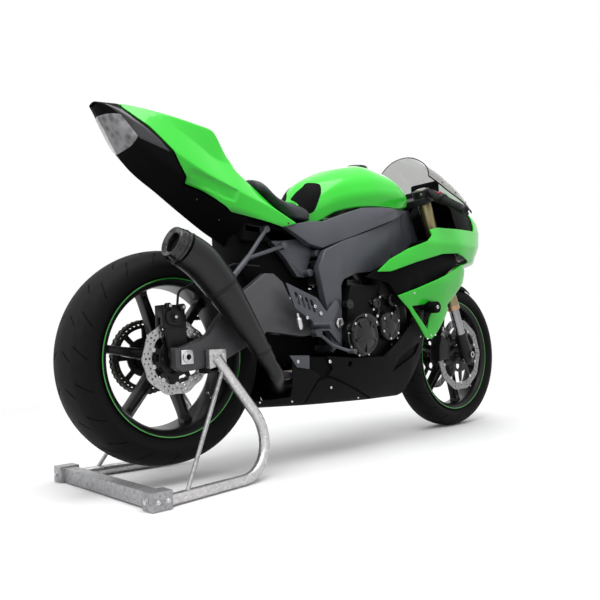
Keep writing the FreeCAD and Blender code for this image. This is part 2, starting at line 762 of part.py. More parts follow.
def shock():
    """Spring and damper between the swingarm's lug and the frame's upper tie."""
    low = Vector(pivot_x - 84, 0, pivot_z - 98)
    high = Vector(pivot_x - 30, 0, pivot_z + 200)
    way = (high - low).normalize()
    length = (high - low).Length
    body = rod(low + way * (shock_lug + seat_on), high - way * (upper_tie_radius + seat_on), 12)
    spring = rod(low + way * 62, low + way * (length - 62), 30)
    lower_seat = rod(low + way * 56, low + way * 64, 36)
    upper_seat = rod(low + way * (length - 64), low + way * (length - 56), 36)
    return spring.multiFuse([body, lower_seat, upper_seat]).removeSplitter()


# Exhaust

def exhaust():
    """Four headers under the engine, a collector box and the link pipe to the silencer."""
    pipes = []
    for y in (-105, -35, 35, 105):
        route = [
            Vector(pivot_x + 372.3, y, pivot_z + 112), Vector(pivot_x + 398, y, pivot_z + 112),
            Vector(pivot_x + 396, y * 0.9, pivot_z - 86), Vector(pivot_x + 306, y * 0.7, pivot_z - 196),
            Vector(pivot_x + 20, y * 0.45, pivot_z - 196),
        ]
        pipes.append(tube(route, header_radius, 24, 2))
    box = block(pivot_x - 130, pivot_x + 50, -80, 80, pivot_z - 236, pivot_z - 160)
    link = tube([
        Vector(pivot_x - 120, -50, pivot_z - 200), Vector(pivot_x - 240, -96, pivot_z - 200),
        Vector(290, silencer_y, 293), Vector(256.4, silencer_y, 339.4)],
        pipe_radius - 2, 40, 3, 10)
    return pipes[0].multiFuse(pipes[1:] + [box, link]).removeSplitter()


def silencer():
    """Tapered oval can on the right with a slanted outlet."""
    stations = [
        (-70, 684, 44, 46, 20), (-30, 664, 51, 55, 28), (20, 636, 53, 57, 40), (82, 574, 50, 54, 50),
        (150, 486, 41, 46, 54), (214, 398, 31, 35, 54), (256, 340, 26, 27, 54),
    ]
    rings = []
    for x, z, tall, wide, slope in stations:
        turn = math.radians(slope)
        up = Vector(math.sin(turn), 0, math.cos(turn))
        centre = Vector(x, silencer_y, z)
        ring = []
        for i in range(16):
            t = 2 * math.pi * i / 16
            ring.append(centre + up * (tall * math.cos(t)) + Vector(0, wide * math.sin(t), 0))
        rings.append(ring)
    return skin(rings)


# Tank, seat and tail

def tank_stations(grow=0.0):
    top = tank_top
    wide = tank_half_width
    stations = [
        (515, top - 167, (42, 8), (62, 34), (68, 74), top - 252),
        (560, top - 102, (50, 10), (84, 46), (96, 96), top - 250),
        (640, top - 57, (62, 10), (wide - 48, 50), (wide - 32, 110), top - 209),
        (740, top - 19, (72, 12), (wide - 33, 58), (wide - 10, 122), top - 187),
        (840, top, (76, 13), (wide - 24, 62), (wide, 127), top - 179),
        (930, top - 12, (76, 13), (wide - 24, 56), (wide - 2, 112), top - 177),
        (1010, top - 55, (70, 10), (wide - 40, 40), (wide - 20, 76), top - 162),
        (1036, top - 96, (56, 6), (wide - 58, 18), (wide - 44, 34), top - 150),
    ]
    rings = []
    for x, crown, a, b, c, foot in stations:
        crown += grow
        foot -= grow
        half = [(0, crown), (a[0], crown - a[1]), (b[0] + grow, crown - b[1]), (c[0] + grow, crown - c[1]),
                (c[0] - 10 + grow, foot), (0, foot)]
        rings.append(half_section(x, half))
    return rings


def fuel_tank():
    body = skin(tank_stations())
    cap = rod(Vector(878, 0, tank_top - 22), Vector(880, 0, tank_top + 8), 44)
    foot = Vector(pivot_x + 262, spar_half_width - 31, tank_top - 170)
    foot = rod(foot, Vector(foot.x, foot.y, pivot_z + 360.5), 8)
    return body.multiFuse([cap, foot, mirrored(foot)]).removeSplitter()


def tank_covers():
    """Dark covers between the tank's lower edge and the frame."""
    outline = [
        (400, 772), (519, 795), (560, 795), (676, 836), (740, 856), (836, 866), (930, 868), (1000, 880),
        (1012, 866), (955, 842), (802, 790), (643, 736), (552, 704), (500, 716),
    ]
    trim = prism_xy([(380, 110), (520, 128), (700, 150), (900, 158), (1020, 118), (1020, 80), (900, 130),
                     (700, 124), (520, 96), (380, 90)], 0, 1400)
    trim = mirrored(trim)
    side = prism_xz(outline, -400, 0).common(trim)
    side = side.cut(prism_xz(spar_outline(), -400, 0)).cut(skin(tank_stations(cover_gap)))
    return pair(side)


def seat():
    stations = [
        (306, [(0, 938), (60, 934), (88, 912), (90, 892), (0, 888)]),
        (345, [(0, 926), (66, 922), (98, 898), (100, 880), (0, 872)]),
        (400, [(0, 884), (74, 880), (110, 864), (112, 842), (0, 838)]),
        (470, [(0, 862), (80, 858), (116, 838), (116, 800), (0, 796)]),
        (540, [(0, 852), (80, 850), (106, 832), (104, 798), (0, 796)]),
        (600, [(0, 846), (70, 844), (88, 832), (86, 806), (0, 802)]),
    ]
    body = body_loft(stations).cut(skin(tank_stations(seat_gap)))
    return max(body.Solids, key=lambda solid: solid.Volume)


def tail_stations():
    top = tail_top
    return [
        (-tail_reach, [(0, top - 4), (24, top - 8), (40, top - 26), (38, top - 40), (0, top - 44)]),
        (-110, [(0, top), (44, top - 6), (70, top - 34), (66, top - 110), (0, top - 168)]),
        (0, [(0, top - 6), (52, top - 12), (92, top - 50), (84, top - 180), (0, top - 246)]),
        (100, [(0, top - 16), (56, top - 24), (108, top - 110), (104, top - 230), (0, top - 312)]),
        (165, [(0, top - 26), (58, top - 36), (114, top - 150), (112, top - 280), (0, top - 352)]),
        (218, [(0, top - 104), (60, top - 108), (118, top - 180), (118, top - 290), (0, top - 378)]),
        (258, [(0, top - 150), (60, top - 154), (120, top - 200), (122, top - 300), (0, top - 402)]),
        (352, [(0, top - 220), (60, top - 224), (124, top - 262), (126, top - 325), (0, top - 440)]),
        (444, [(0, top - 290), (60, top - 294), (122, top - 312), (122, top - 330), (0, top - 440)]),
    ]


def green_outline():
    top = tail_top
    return [
        (-106, top + 34), (-100, top - 41), (-49, top - 60), (2, top - 100), (38, top - 136), (57, top - 202),
        (48, top - 222), (189, top - 293), (387, top - 331), (446, top - 314), (446, top - 301), (352, top - 230),
        (269, top - 162), (222, top - 98), (200, top + 34),
    ]


def tail_cowl():
    """Green cowl over the tail with side panels that run down to the tank covers."""
    outer = body_loft(tail_stations())
    hollow = body_loft([(x + 0.0, inset(half, panel_wall)) for x, half in tail_stations()])
    shell = outer.cut(hollow)
    shell = shell.common(prism_xz(green_outline(), -300, 300))
    room = block(236, 460, -87, 87, 600, 1200)
    return shell.cut(room).removeSplitter()


def undertray():
    """Black tail end and tray under the seat."""
    top = tail_top
    outline = [
        (-tail_reach - 5, top + 34), (-107, top + 34), (-101, top - 42), (-50, top - 61), (1, top - 101),
        (37, top - 137), (56, top - 202), (47, top - 223), (189, top - 295), (258, top - 308), (258, top - 406),
        (189, top - 353), (136, top - 319), (101, top - 310), (-9, top - 241), (-83, top - 193), (-139, top - 139),
        (-175, top - 84), (-tail_reach - 5, top - 46),
    ]
    outer = body_loft(tail_stations())
    body = outer.common(prism_xz(outline, -300, 300))
    lamp = lamp_solid(1.0)
    return body.cut(lamp).removeSplitter()


def lamp_solid(grow=0.0):
    """Wedge lens set in the tail end."""
    top = tail_top
    outline = [(-192 - grow, top - 40 + grow), (-120, top - 56 + grow), (-100 + grow, top - 96),
               (-100 + grow, top - 130 - grow), (-152 - grow, top - 148 - grow), (-182 - grow, top - 80 - grow)]
    return prism_xz(outline, -58 - grow, 58 + grow)


def tail_lamp():
    outer = body_loft(tail_stations())
    return lamp_solid().common(outer)


# Fairings

def fairing_stations(out=0.0):
    wide = fairing_half_width + out
    return [
        (700, [(0, 320), (168 + out, 320), (wide - 52, 480), (wide - 30, 600), (wide - 36, 700), (wide - 60, 830),
               (0, 830)]),
        (860, [(0, 320), (184 + out, 340), (wide - 40, 480), (wide - 14, 590), (wide - 14, 690), (wide - 44, 830),
               (0, 830)]),
        (1080, [(0, 330), (188 + out, 350), (wide - 24, 480), (wide, 590), (wide, 700), (wide - 22, 830), (0, 830)]),
        (1200, [(0, 340), (172 + out, 360), (wide - 44, 480), (wide - 12, 590), (wide - 4, 700), (wide - 24, 830),
                (0, 830)]),
        (1330, [(0, 480), (110 + out, 500), (wide - 96, 540), (wide - 56, 610), (wide - 24, 710), (wide - 36, 830),
                (0, 830)]),
    ]


def fairing_inside(gap, out=0.0):
    """Room inside the side panels, smaller by a gap."""
    return body_loft([(x, inset(half, panel_wall + gap)) for x, half in fairing_stations(out)])


def nose_inside(gap):
    """Room inside the nose, smaller by a gap."""
    return body_loft([(x, inset(half, panel_wall + gap)) for x, half in nose_stations()])


def post(x, z, y_start, radius, room):
    """Fixing post on the right that runs out from y_start to the panel round the room."""
    return disc_y(x, z, -fairing_half_width, -y_start, radius).common(room)


def fairing_skin():
    return body_loft(fairing_stations()).cut(fairing_inside(0.0))


def side_fairings():
    """Lower green side panels with their triangular opening."""
    outline = [
        (848, 538), (946, 566), (1110, 618), (1236, 664), (1266, 640), (1258, 594), (1181, 534), (1138, 504),
        (1152, 492), (1138, 463), (1083, 401), (1050, 376), (1012, 384), (974, 428), (916, 490),
    ]
    hole = [(926, 500), (1040, 510), (1022, 410)]
    panel = fairing_skin().common(prism_xz(outline, -400, -60)).cut(prism_xz(hole, -400, 0))
    panel = panel.cut(disc_y(slider_x, slider_z, -400, 0, slider_radius + slider_gap))
    stay = post(slider_x + 33, slider_z - 37, radiator_half_width + seat_on, 8, fairing_inside(-1.0))
    return pair(panel.fuse(stay).removeSplitter())


def inner_panels():
    """Dark panels between the frame and the green side panels."""
    outline = [(715, 606), (800, 648), (944, 690), (1099, 724), (1190, 726), (1230, 672), (1110, 602), (946, 550),
               (868, 528), (820, 585)]
    wide = fairing_half_width
    plan = [(700, wide - 56), (860, wide - 36), (1080, wide - 26), (1240, wide - 30), (1240, wide - 42),
            (1080, wide - 38), (860, wide - 46), (700, wide - 68)]
    side = prism_xz(outline, -400, 0).common(mirrored(prism_xy(plan, 0, 1400)))
    posts = [post(x, z, wide - 42, 6, fairing_inside(seat_on)) for x, z in ((910, 548), (1000, 575))]
    side = side.multiFuse(posts).removeSplitter()
    liner = body_loft([(x, inset(h, panel_wall + seat_on)) for x, h in nose_stations()])
    liner = liner.cut(nose_inside(seat_on + 3))
    liners = [liner.common(prism_xz(window_outline(), *span)) for span in ((-400, -100), (100, 400))]
    return Part.makeCompound([side, mirrored(side)] + liners)


def window_outline():
    """Dark area behind the opening in the side of the nose."""
    return [(1240, 800), (1400, 800), (1436, 836), (1448, 912), (1420, 934), (1284, 957), (1274, 925), (1240, 900)]


def belly_pan():
    """Black lower cowl, open above and behind."""
    wide = pan_half_width
    stations = [
        (250, [(0, 312), (wide - 54, 312), (wide - 56, 240), (98, 196), (0, 186)]),
        (480, [(0, 340), (wide - 28, 340), (wide - 34, 236), (112, 182), (0, 172)]),
        (640, [(0, 322), (wide - 10, 322), (wide - 24, 230), (114, 176), (0, 167)]),
        (800, [(0, 324), (wide - 4, 324), (wide - 22, 226), (116, 172), (0, 162)]),
        (950, [(0, 386), (wide, 386), (wide - 24, 228), (108, 170), (0, 160)]),
        (1050, [(0, 440), (wide - 14, 440), (wide - 40, 300), (90, 262), (0, 256)]),
    ]
    outer = body_loft(stations)
    open_top = [(x, [(0, h[0][1] + 40), (h[1][0] - panel_wall, h[0][1] + 40), (h[2][0] - panel_wall, h[2][1]),
                     (h[3][0] - 3, h[3][1] + panel_wall), (0, h[4][1] + panel_wall)]) for x, h in stations]
    first, last = open_top[0], open_top[-1]
    open_top[0] = (first[0] - 5, first[1])
    open_top[-1] = (last[0] + 5, last[1])
    shell = outer.cut(body_loft(open_top))
    link = block(200, 384, -230, -60, 216, 400)
    wheel_room = disc_y(0, rear_axle_z, -rear_tyre_width / 2 - 12, rear_tyre_width / 2 + 12, rear_tyre_radius + 10)
    hinge_room = block(stand_hinge_x - 32, stand_hinge_x + 30, 130, 300, stand_hinge_z - 32, 500)
    shell = shell.cut(link).cut(wheel_room).cut(hinge_room)
    stay = disc_y(770, 313, -wide + 9, -engine_half_width - seat_on, 6)
    return shell.multiFuse([stay, mirrored(stay)]).removeSplitter()


def nose_stations():
    wide = fairing_half_width
    return [
        (1000, [(0, 1010), (130, 1000), (wide - 40, 900), (wide - 24, 805), (wide - 2, 740), (wide - 6, 660), (0, 640)]),
        (1200, [(0, 1010), (130, 996), (wide - 46, 900), (wide - 26, 808), (wide - 2, 740), (wide - 8, 676), (0, 650)]),
        (1330, [(0, 985), (120, 964), (wide - 64, 890), (wide - 42, 812), (wide - 22, 740), (wide - 36, 676), (0, 640)]),
        (1430, [(0, 950), (100, 934), (wide - 88, 876), (wide - 66, 814), (wide - 60, 752), (wide - 92, 676), (0, 640)]),
        (1505, [(0, 910), (70, 900), (120, 860), (128, 812), (116, 764), (80, 720), (0, 690)]),
        (nose_x, [(0, 850), (22, 846), (40, 832), (44, 808), (38, 784), (26, 766), (0, 758)]),
    ]


def upper_outline():
    return [
        (740, 622), (804, 669), (900, 710), (1010, 744), (1050, 770), (1046, 792), (1100, 803), (1392, 812),
        (1420, 840), (1436, 900), (1410, 922), (1274, 946), (1268, 968), (1330, 990), (1470, 960), (1580, 900),
        (1580, 740), (1480, 690), (1404, 668), (1376, 637), (1297, 679), (1197, 706), (1099, 699), (944, 663),
        (801, 624),
    ]


def upper_fairing():
    """Green nose with the long side wings."""
    outer = body_loft(nose_stations())
    shell = outer.cut(nose_inside(0.0).cut(block(nose_x - panel_wall, nose_x + 1, -400, 400, 0, 1400)))
    shell = shell.common(prism_xz(upper_outline(), -400, 400))
    wing = body_loft(fairing_stations(wing_step)).cut(fairing_inside(0.0, wing_step))
    wing = wing.common(prism_xz(upper_outline(), -400, 400)).cut(block(1001, 1500, -400, 400, 0, 1400))
    top_open = block(900, 1296, -120, 120, 900, 1200)
    shell = shell.cut(top_open)
    for lamp in lamp_openings(lamp_gap):
        shell = shell.cut(lamp)
    shell = shell.cut(block(990, 1350, -150, 150, 500, 760))
    stay = post(846, 670, spar_half_width - 6.1, 7, fairing_inside(-1.0, wing_step))
    parts = [s for s in wing.Solids if s.BoundBox.XLength > 50]
    body = shell.multiFuse(parts + [stay, mirrored(stay)])
    return body.removeSplitter()


def lamp_openings(grow=0.0):
    outline = [(1390 - grow, 700), (1470, 745 + grow), (1600, 800 + grow), (1600, 700), (1440, 640)]
    right = prism_xz(outline, -170 - grow, -30 + grow)
    return [right, mirrored(right)]


def headlamps():
    """Two lamp bodies with clear lenses set in the underside of the nose."""
    outer = body_loft([(x, inset(h, 1.5)) for x, h in nose_stations()])
    right = lamp_openings(0.0)[0].common(outer)
    right = right.common(block(1385, 1600, -400, 0, 600, 900))
    return pair(right)


def windscreen():
    """Clear bubble, one arc across at each station."""
    stations = [
        (1452, 903.6, 132, 943), (1390, 923.6, 152, 997), (1310, 949.6, 162, 1055), (1230, 981.6, 158, 1101),
        (1160, 1027.6, 134, 1129),
    ]
    return skin([screen_section(*station) for station in stations])


def screen_section(x, base, wide, top):
    outer = [(-wide, base), (-wide * 0.86, base + (top - base) * 0.55), (-wide * 0.45, top - (top - base) * 0.1),
             (0, top)]
    outer = outer + [(-y, z) for y, z in reversed(outer[:-1])]
    wall = screen_thickness
    inner = [(y * (wide - wall) / wide, z - wall * max(0.0, (z - base)) / (top - base)) for y, z in outer]
    points = outer + list(reversed(inner))
    return [Vector(x, y, z) for y, z in points]


def instrument_panel():
    """Dash with the stay that runs from the head tube to the nose."""
    x, z = dash_x, dash_z
    case = prism_xz([(x, z), (x + 24, z + 38), (x + 36, z + 40), (x + 36, z - 12), (x + 18, z - 24)], -78, 78)
    low = on_fork(556, 0, head_radius - fork_offset + seat_on)
    high = on_fork(600, 0, head_radius - fork_offset + seat_on)
    stay = prism_xz([(low.x, low.z), (x + 60, z - 60), (x + 78, z - 20), (x + 78, z - 4), (x + 20, z - 10),
                     (high.x, high.z)], -22, 22)
    posts = [rod(Vector(x + 66, y, z - 12), Vector(x + 66, y, z + 60), 7).common(nose_inside(seat_on)) for y in (-15, 15)]
    return case.multiFuse([stay] + posts).removeSplitter()


# Brakes, pegs and small pieces of the chassis

def rear_caliper():
    """Caliper above the disc with its torque arm and hose."""
    y = rear_disc_y
    gap = rear_disc_thickness / 2 + caliper_gap
    body = block(-52, 20, y - 24, y + 22, rear_axle_z + 84, rear_axle_z + 150)
    body = body.cut(block(-90, 60, y - gap, y + gap, 0, rear_axle_z + rear_disc_radius + caliper_gap))
    arm = prism_xz([(-28, rear_axle_z - 24), (26, rear_axle_z - 28), (24, rear_axle_z + 120), (-52, rear_axle_z + 120)],
                   -right_arm_inner + 2, -right_arm_inner + 13)
    arm = arm.cut(disc_y(0, rear_axle_z, -right_arm_inner - 1, 0, axle_radius + 6 + seat_on))
    hose = tube([Vector(0, y - 14, rear_axle_z + 140), Vector(4, y - 17, rear_axle_z + 190),
                 Vector(110, -right_arm_inner - 2, rear_axle_z + 238), Vector(200, -right_arm_inner - 2, 640),
                 Vector(300, -right_arm_inner - 2, 636)], 4, 24, 3, 6)
    return body.multiFuse([arm, hose]).removeSplitter()


def footrests():
    """Heel guards, pegs, brake pedal and gear lever on both sides."""
    z = pivot_z
    x = pivot_x
    plate = prism_xz([(x - 246, z + 132), (x - 114, z + 84), (x - 66, z + 30), (x - 72, z - 4), (x - 136, z + 8),
                      (x - 212, z + 50)], -166, -160)
    slots = []
    for i in range(4):
        sx = x - 214 + 22 * i
        sz = z + 104 - 8 * i
        slots.append(prism_xz([(sx, sz), (sx + 12, sz - 4), (sx + 26, sz - 44), (sx + 14, sz - 40)], -200, -100))
    plate = plate.cut(Part.makeCompound(slots))
    face = -pivot_half_width - spar_thickness - seat_on
    bosses = [disc_y(x - 24, z + 62, -162, face, 11), disc_y(x - 20, z - 52, -162, face, 11)]
    bracket = prism_xz([(x - 140, z + 10), (x - 66, z + 40), (x - 24, z + 76), (x - 10, z + 60), (x - 46, z),
                        (x - 6, z - 44), (x - 18, z - 68), (x - 66, z - 24), (x - 128, z - 24)], -166, -154)
    peg = disc_y(x - 124, z - 8, -240, -150, 11)
    pedal = tube([Vector(x - 124, -172, z - 30), Vector(x - 60, -176, z - 74), Vector(x - 2, -196, z - 96)], 6, 30, 2, 6)
    pivot = disc_y(x - 124, z - 30, -180, -150, 14)
    tip = disc_y(x - 2, z - 96, -222, -190, 8)
    side = plate.multiFuse(bosses + [bracket, peg, pedal, pivot, tip]).removeSplitter()
    return pair(side)


def rear_hugger():
    """Mudguard over the front of the rear tyre, held by two posts on the right arm."""
    shoulder, upper, top = crown(rear_tyre_radius, rear_tyre_width)
    side = [(shoulder[0] + 3.2, shoulder[1] + 5.2), (upper[0] + guard_gap, upper[1] + 5), (top[0] + guard_gap, 0.0)]
    inner = side + [(r, -y) for r, y in reversed(side[:-1])]
    outer = [(r + guard_wall * (r > side[0][0]), y + math.copysign(guard_wall, y) * (r < side[2][0])) for r, y in inner]
    guard = turned_y(0, rear_axle_z, inner + list(reversed(outer)), 15, 75, 8)
    room = [(hub_radius, side[0][1])] + inner + [(hub_radius, -side[0][1])]
    for turn in (22.5, 37.5):
        reach = shoulder[0] + 12
        x = reach * math.cos(math.radians(turn))
        z = rear_axle_z + reach * math.sin(math.radians(turn))
        post = disc_y(x, z, -right_arm_inner + seat_on, -shoulder[1] + 20, 7)
        guard = guard.fuse(post.cut(turned_y(0, rear_axle_z, room)))
    return guard.removeSplitter()


def frame_sliders():
    """Crash bobbins that stand through the side panels on plates bolted to the cylinder head."""
    x, z = slider_x, slider_z
    face = engine_half_width + 18
    bobbin = disc_y(x, z, -fairing_half_width - 18, -fairing_half_width + 36, slider_radius)
    stem = disc_y(x, z, -fairing_half_width + 34, -face - 2, 10)
    plate = prism_xz([(x + 16, z + 12), (x - 60, z + 34), (x - 96, z + 34), (x - 96, z + 4), (x, z - 16)],
                     -face - 10.3, -face - 0.3)
    return pair(bobbin.multiFuse([stem, plate]).removeSplitter())


def side_stand():
    """Folded side stand on the left."""
    x, y, z = stand_hinge_x, stand_hinge_y, stand_hinge_z
    leg = tube([Vector(x - 8, y, z - 1), Vector(x - 120, y + 6, z - 18), Vector(x - 280, y + 20, z - 10)], 9, 60)
    foot = block(x - 296, x - 262, y + 2, y + 46, z - 22, z - 14)
    knuckle = disc_y(x, z, y - stand_knuckle, y + stand_knuckle, 15)
    leg = leg.multiFuse([foot, knuckle])
    return leg.cut(bore_y(x, z, y - 60, y + 60, stand_pin_radius + axle_fit)).removeSplitter()


def stand_bracket():
    """Ear on the left frame leg with the pin that the side stand turns on."""
    face = pivot_half_width + spar_thickness - 2
    inner = stand_hinge_y - stand_knuckle - hinge_gap
    ear = prism_xz([
        (stand_hinge_x - 18, stand_hinge_z - 18), (stand_hinge_x + 18, stand_hinge_z - 18),
        (stand_hinge_x + 14, stand_hinge_z + 56), (stand_hinge_x - 18, stand_hinge_z + 56)], face, inner)
    pin = disc_y(stand_hinge_x, stand_hinge_z, inner - 4, stand_hinge_y + stand_knuckle + 1, stand_pin_radius)
    head = disc_y(stand_hinge_x, stand_hinge_z, stand_hinge_y + stand_knuckle + 1, stand_hinge_y + stand_knuckle + 6,
                  stand_pin_radius + 4)
    return ear.multiFuse([pin, head]).removeSplitter()


def stand_side(side, arm_inner):
    """One bent leg with its brace, foot block and the pad under the swingarm."""
    r = stand_tube_radius
    outer = arm_inner + arm_thickness
    top = Vector(84, side * (outer + r + 8), rear_axle_z - 6)
    bend = Vector(318, side * 203, r)
    back = Vector(-stand_reach + 30, side * stand_half_width, r)
    leg = tube([top, bend, back], r, stand_bend_radius, 6, 10)
    brace = rod(Vector(-92, side * 256, 2 * r - 6), top + (bend - top) * 0.09, brace_radius)
    under = rear_axle_z - pad_gap
    low, high = sorted((side * (arm_inner + 2), side * (outer + r + 8)))
    pad = prism_xz([(58, under - 50), (58, under - 36.5), (61, under - 36), (125, under - 20.5), (125, under - 36)],
                   low, high)
    lip_low, lip_high = sorted((side * (outer + 3), side * (outer + r + 8)))
    lip = block(62, 122, lip_low, lip_high, under - 44, rear_axle_z + 18)
    block_low, block_high = sorted((side * (stand_half_width - 24), side * (stand_half_width + 24)))
    end = block(-stand_reach, -stand_reach + 60, block_low, block_high, 0, 48)
    return leg.multiFuse([brace, pad, lip, end])


def paddock_stand():
    """Bent side tubes, thin braces, square rear bar and pads under the swingarm."""
    bar = block(-stand_reach + 10, -stand_reach + 10 + stand_bar, -stand_half_width, stand_half_width, 4, 4 + stand_bar)
    sides = [stand_side(-1, right_arm_inner), stand_side(1, left_arm_inner)]
    return bar.multiFuse(sides).removeSplitter()


# Steering

def fork_yokes():
    """Both yokes, the stem and its nut."""
    parts = [bore(on_stem(lower_yoke_at), on_stem(top_yoke_at + top_yoke_height + 12), stem_radius)]
    reach = fork_tube_radius + 10
    for along, height in ((lower_yoke_at, lower_yoke_height), (top_yoke_at, top_yoke_height)):
        way = on_stem(along + height) - on_stem(along)
        outline = [(-1, reach), (1, reach), (1, -reach), (0.55, -fork_offset - 34), (0.2, -fork_offset - 40),
                   (-0.2, -fork_offset - 40), (-0.55, -fork_offset - 34), (-1, -reach)]
        corners = [on_fork(along, share * (fork_half_spacing + (reach if abs(share) == 1 else 0)), ahead)
                   for share, ahead in outline]
        parts.append(push(corners, way))
    body = parts[0].multiFuse(parts[1:])
    body = body.cut(bore(on_stem(lower_yoke_at - 50), on_stem(fork_length + 100), stem_bore_radius))
    for y in (-fork_half_spacing, fork_half_spacing):
        body = body.cut(rod(on_fork(0, y), on_fork(fork_length + 100, y), fork_tube_radius))
    return body.removeSplitter()


def fork_tubes():
    tubes = []
    for y in (-fork_half_spacing, fork_half_spacing):
        outer = rod(on_fork(fork_tube_start, y), on_fork(fork_length, y), fork_tube_radius)
        socket = rod(on_fork(fork_tube_start - 1, y), on_fork(fork_tube_start + 40, y), stanchion_radius)
        tubes.append(outer.cut(socket))
    return Part.makeCompound(tubes)


def fork_legs():
    """Silver stanchions with the axle feet."""
    legs = []
    for side in (-1, 1):
        y = side * fork_half_spacing
        stanchion = rod(on_fork(20, y), on_fork(fork_tube_start + 40, y), stanchion_radius)
        foot = rod(on_fork(-34, y), on_fork(96, y), stanchion_radius + 7)
        leg = stanchion.multiFuse([foot] + [shape for shape, _ in caliper_lugs(side)])
        leg = leg.cut(bore_y(front_axle_x, front_axle_z, -300, 300, axle_radius))
        legs.append(leg.removeSplitter())
    return Part.makeCompound(legs)


def caliper_lugs(side):
    """Lugs behind the fork foot, each with the slightly larger socket that it leaves in the caliper."""
    lugs = []
    y = side * (front_disc_y + 18)
    for along, back in ((76, 84), (42, 104)):
        start, end = on_fork(along, y, -6), on_fork(along, y, -back)
        way = (end - start).normalize()
        lug = rod(start, end, caliper_lug_radius)
        lugs.append((lug, rod(start, end + way * seat_on, caliper_lug_radius + seat_on)))
    return lugs


def front_axle():
    reach = fork_half_spacing + stanchion_radius + 12
    bar = bore_y(front_axle_x, front_axle_z, -reach, reach, axle_radius)
    return bar.cut(bore_y(front_axle_x, front_axle_z, -reach - 1, reach + 1, axle_bore_radius))


def front_fender():
    """Black mudguard close over the tyre, held by the fork legs."""
    inner = front_tyre_radius + 8
    half = front_tyre_width / 2
    profile = [(inner, -half + 22), (inner, half - 22), (inner - 26, half + 5), (inner - 24, half + 9),
               (inner + 4, half - 20), (inner + 4, -half + 20), (inner - 24, -half - 9), (inner - 26, -half - 5)]
    guard = turned_y(front_axle_x, front_axle_z, profile, 62, 152, 14)
    corners = [on_fork(226, 0, -22), on_fork(226, 0, 22), on_fork(298, 0, 36), on_fork(298, 0, -36)]
    ear = prism_xz([(corner.x, corner.z) for corner in corners], half + 6, fork_half_spacing - stanchion_radius)
    tube_room = rod(on_fork(fork_tube_start - 2, fork_half_spacing), on_fork(fork_length, fork_half_spacing),
                    fork_tube_radius + seat_on)
    ear = ear.cut(tube_room)
    return guard.multiFuse([ear, mirrored(ear)]).removeSplitter()


def handlebars():
    """Clip-on clamps, bars, grips, bar ends and switch housings."""
    sides = []
    for side in (-1, 1):
        low, high = top_yoke_at + top_yoke_height + 2, top_yoke_at + top_yoke_height + 30
        clamp = rod(on_fork(low, side * fork_half_spacing), on_fork(high, side * fork_half_spacing),
                    fork_tube_radius + 9)
        start = on_fork(low + 14, side * (fork_half_spacing + 30), 8)
        end = Vector(front_axle_x - 323, side * bar_end_half_width, front_axle_z + 549)
        way = (end - start).normalize()
        bar = rod(start - way * 12, end, bar_radius)
        grip = rod(end - way * 128, end - way * 8, grip_radius)
        bar_end = rod(end - way * 6, end + way * 14, grip_radius + 1)
        switch = rod(end - way * 182, end - way * 134, 21)
        body = clamp.multiFuse([bar, grip, bar_end, switch])
        body = body.cut(rod(on_fork(low - 5, side * fork_half_spacing), on_fork(high + 5, side * fork_half_spacing),
                            fork_tube_radius))
        sides.append(body.removeSplitter())
    return Part.makeCompound(sides)


def hand_controls():
    """Master cylinder with reservoir and lever on the right, clutch perch and lever on the left."""
    sides = []
    for side in (-1, 1):
        low = top_yoke_at + top_yoke_height + 2
        start = on_fork(low + 14, side * (fork_half_spacing + 30), 8)
        end = Vector(front_axle_x - 323, side * bar_end_half_width, front_axle_z + 549)
        way = (end - start).normalize()
        at = end - way * 204
        ahead = Vector(0.92, 0, -0.38)
        perch = rod(at - way * 16, at + way * 16, bar_radius + 5).cut(rod(start, end, bar_radius))
        arm = rod(at + ahead * 13, at + ahead * 50, 9)
        lever_a = at + ahead * 50
        lever_b = lever_a + way * 90 + ahead * 8
        lever_c = lever_a + way * 178
        lever = rod(lever_a, lever_b, 6).multiFuse([rod(lever_b, lever_c, 6), rod(lever_c, lever_c + way * 8, 8)])
        body = perch.multiFuse([arm, lever])
        if side < 0:
            foot = at + ahead * 39
            cup = rod(foot + Vector(-10, 0, 6), foot + Vector(-10, 0, 25), 13)
            neck = rod(foot, foot + Vector(0, 0, 12), 7)
            body = body.multiFuse([cup, neck])
        sides.append(body.removeSplitter())
    return Part.makeCompound(sides)


def front_calipers():
    """Radial calipers behind the fork feet."""
    x, z = front_axle_x, front_axle_z
    y = front_disc_y
    gap = front_disc_thickness / 2 + caliper_gap
    outline = []
    for radius, turns in ((front_disc_radius + 24, (150, 168, 186)), (front_disc_inner - 12, (186, 168, 150))):
        for turn in turns:
            a = math.radians(turn)
            outline.append((x + radius * math.cos(a), z + radius * math.sin(a)))
    body = prism_xz(outline, y - 22, y + 26)
    slot = disc_y(x, z, y - gap, y + gap, front_disc_radius + caliper_gap)
    body = body.cut(slot).cut(Part.makeCompound([socket for _, socket in caliper_lugs(1)]))
    return pair(body)


def brake_hoses():
    """Two hoses from the right-hand lever cylinder down to the calipers."""
    hoses = []
    for side in (-1, 1):
        top = on_fork(lower_yoke_at - 1, side * 62, -30)
        mid = on_fork(340, side * 78, -52)
        low = on_fork(200, side * 88, -50)
        end = Vector(front_axle_x - 126, side * 84, front_axle_z + 104)
        hoses.append(tube([top, mid, low, end], 4, 30, 3, 6))
    return Part.makeCompound(hoses)


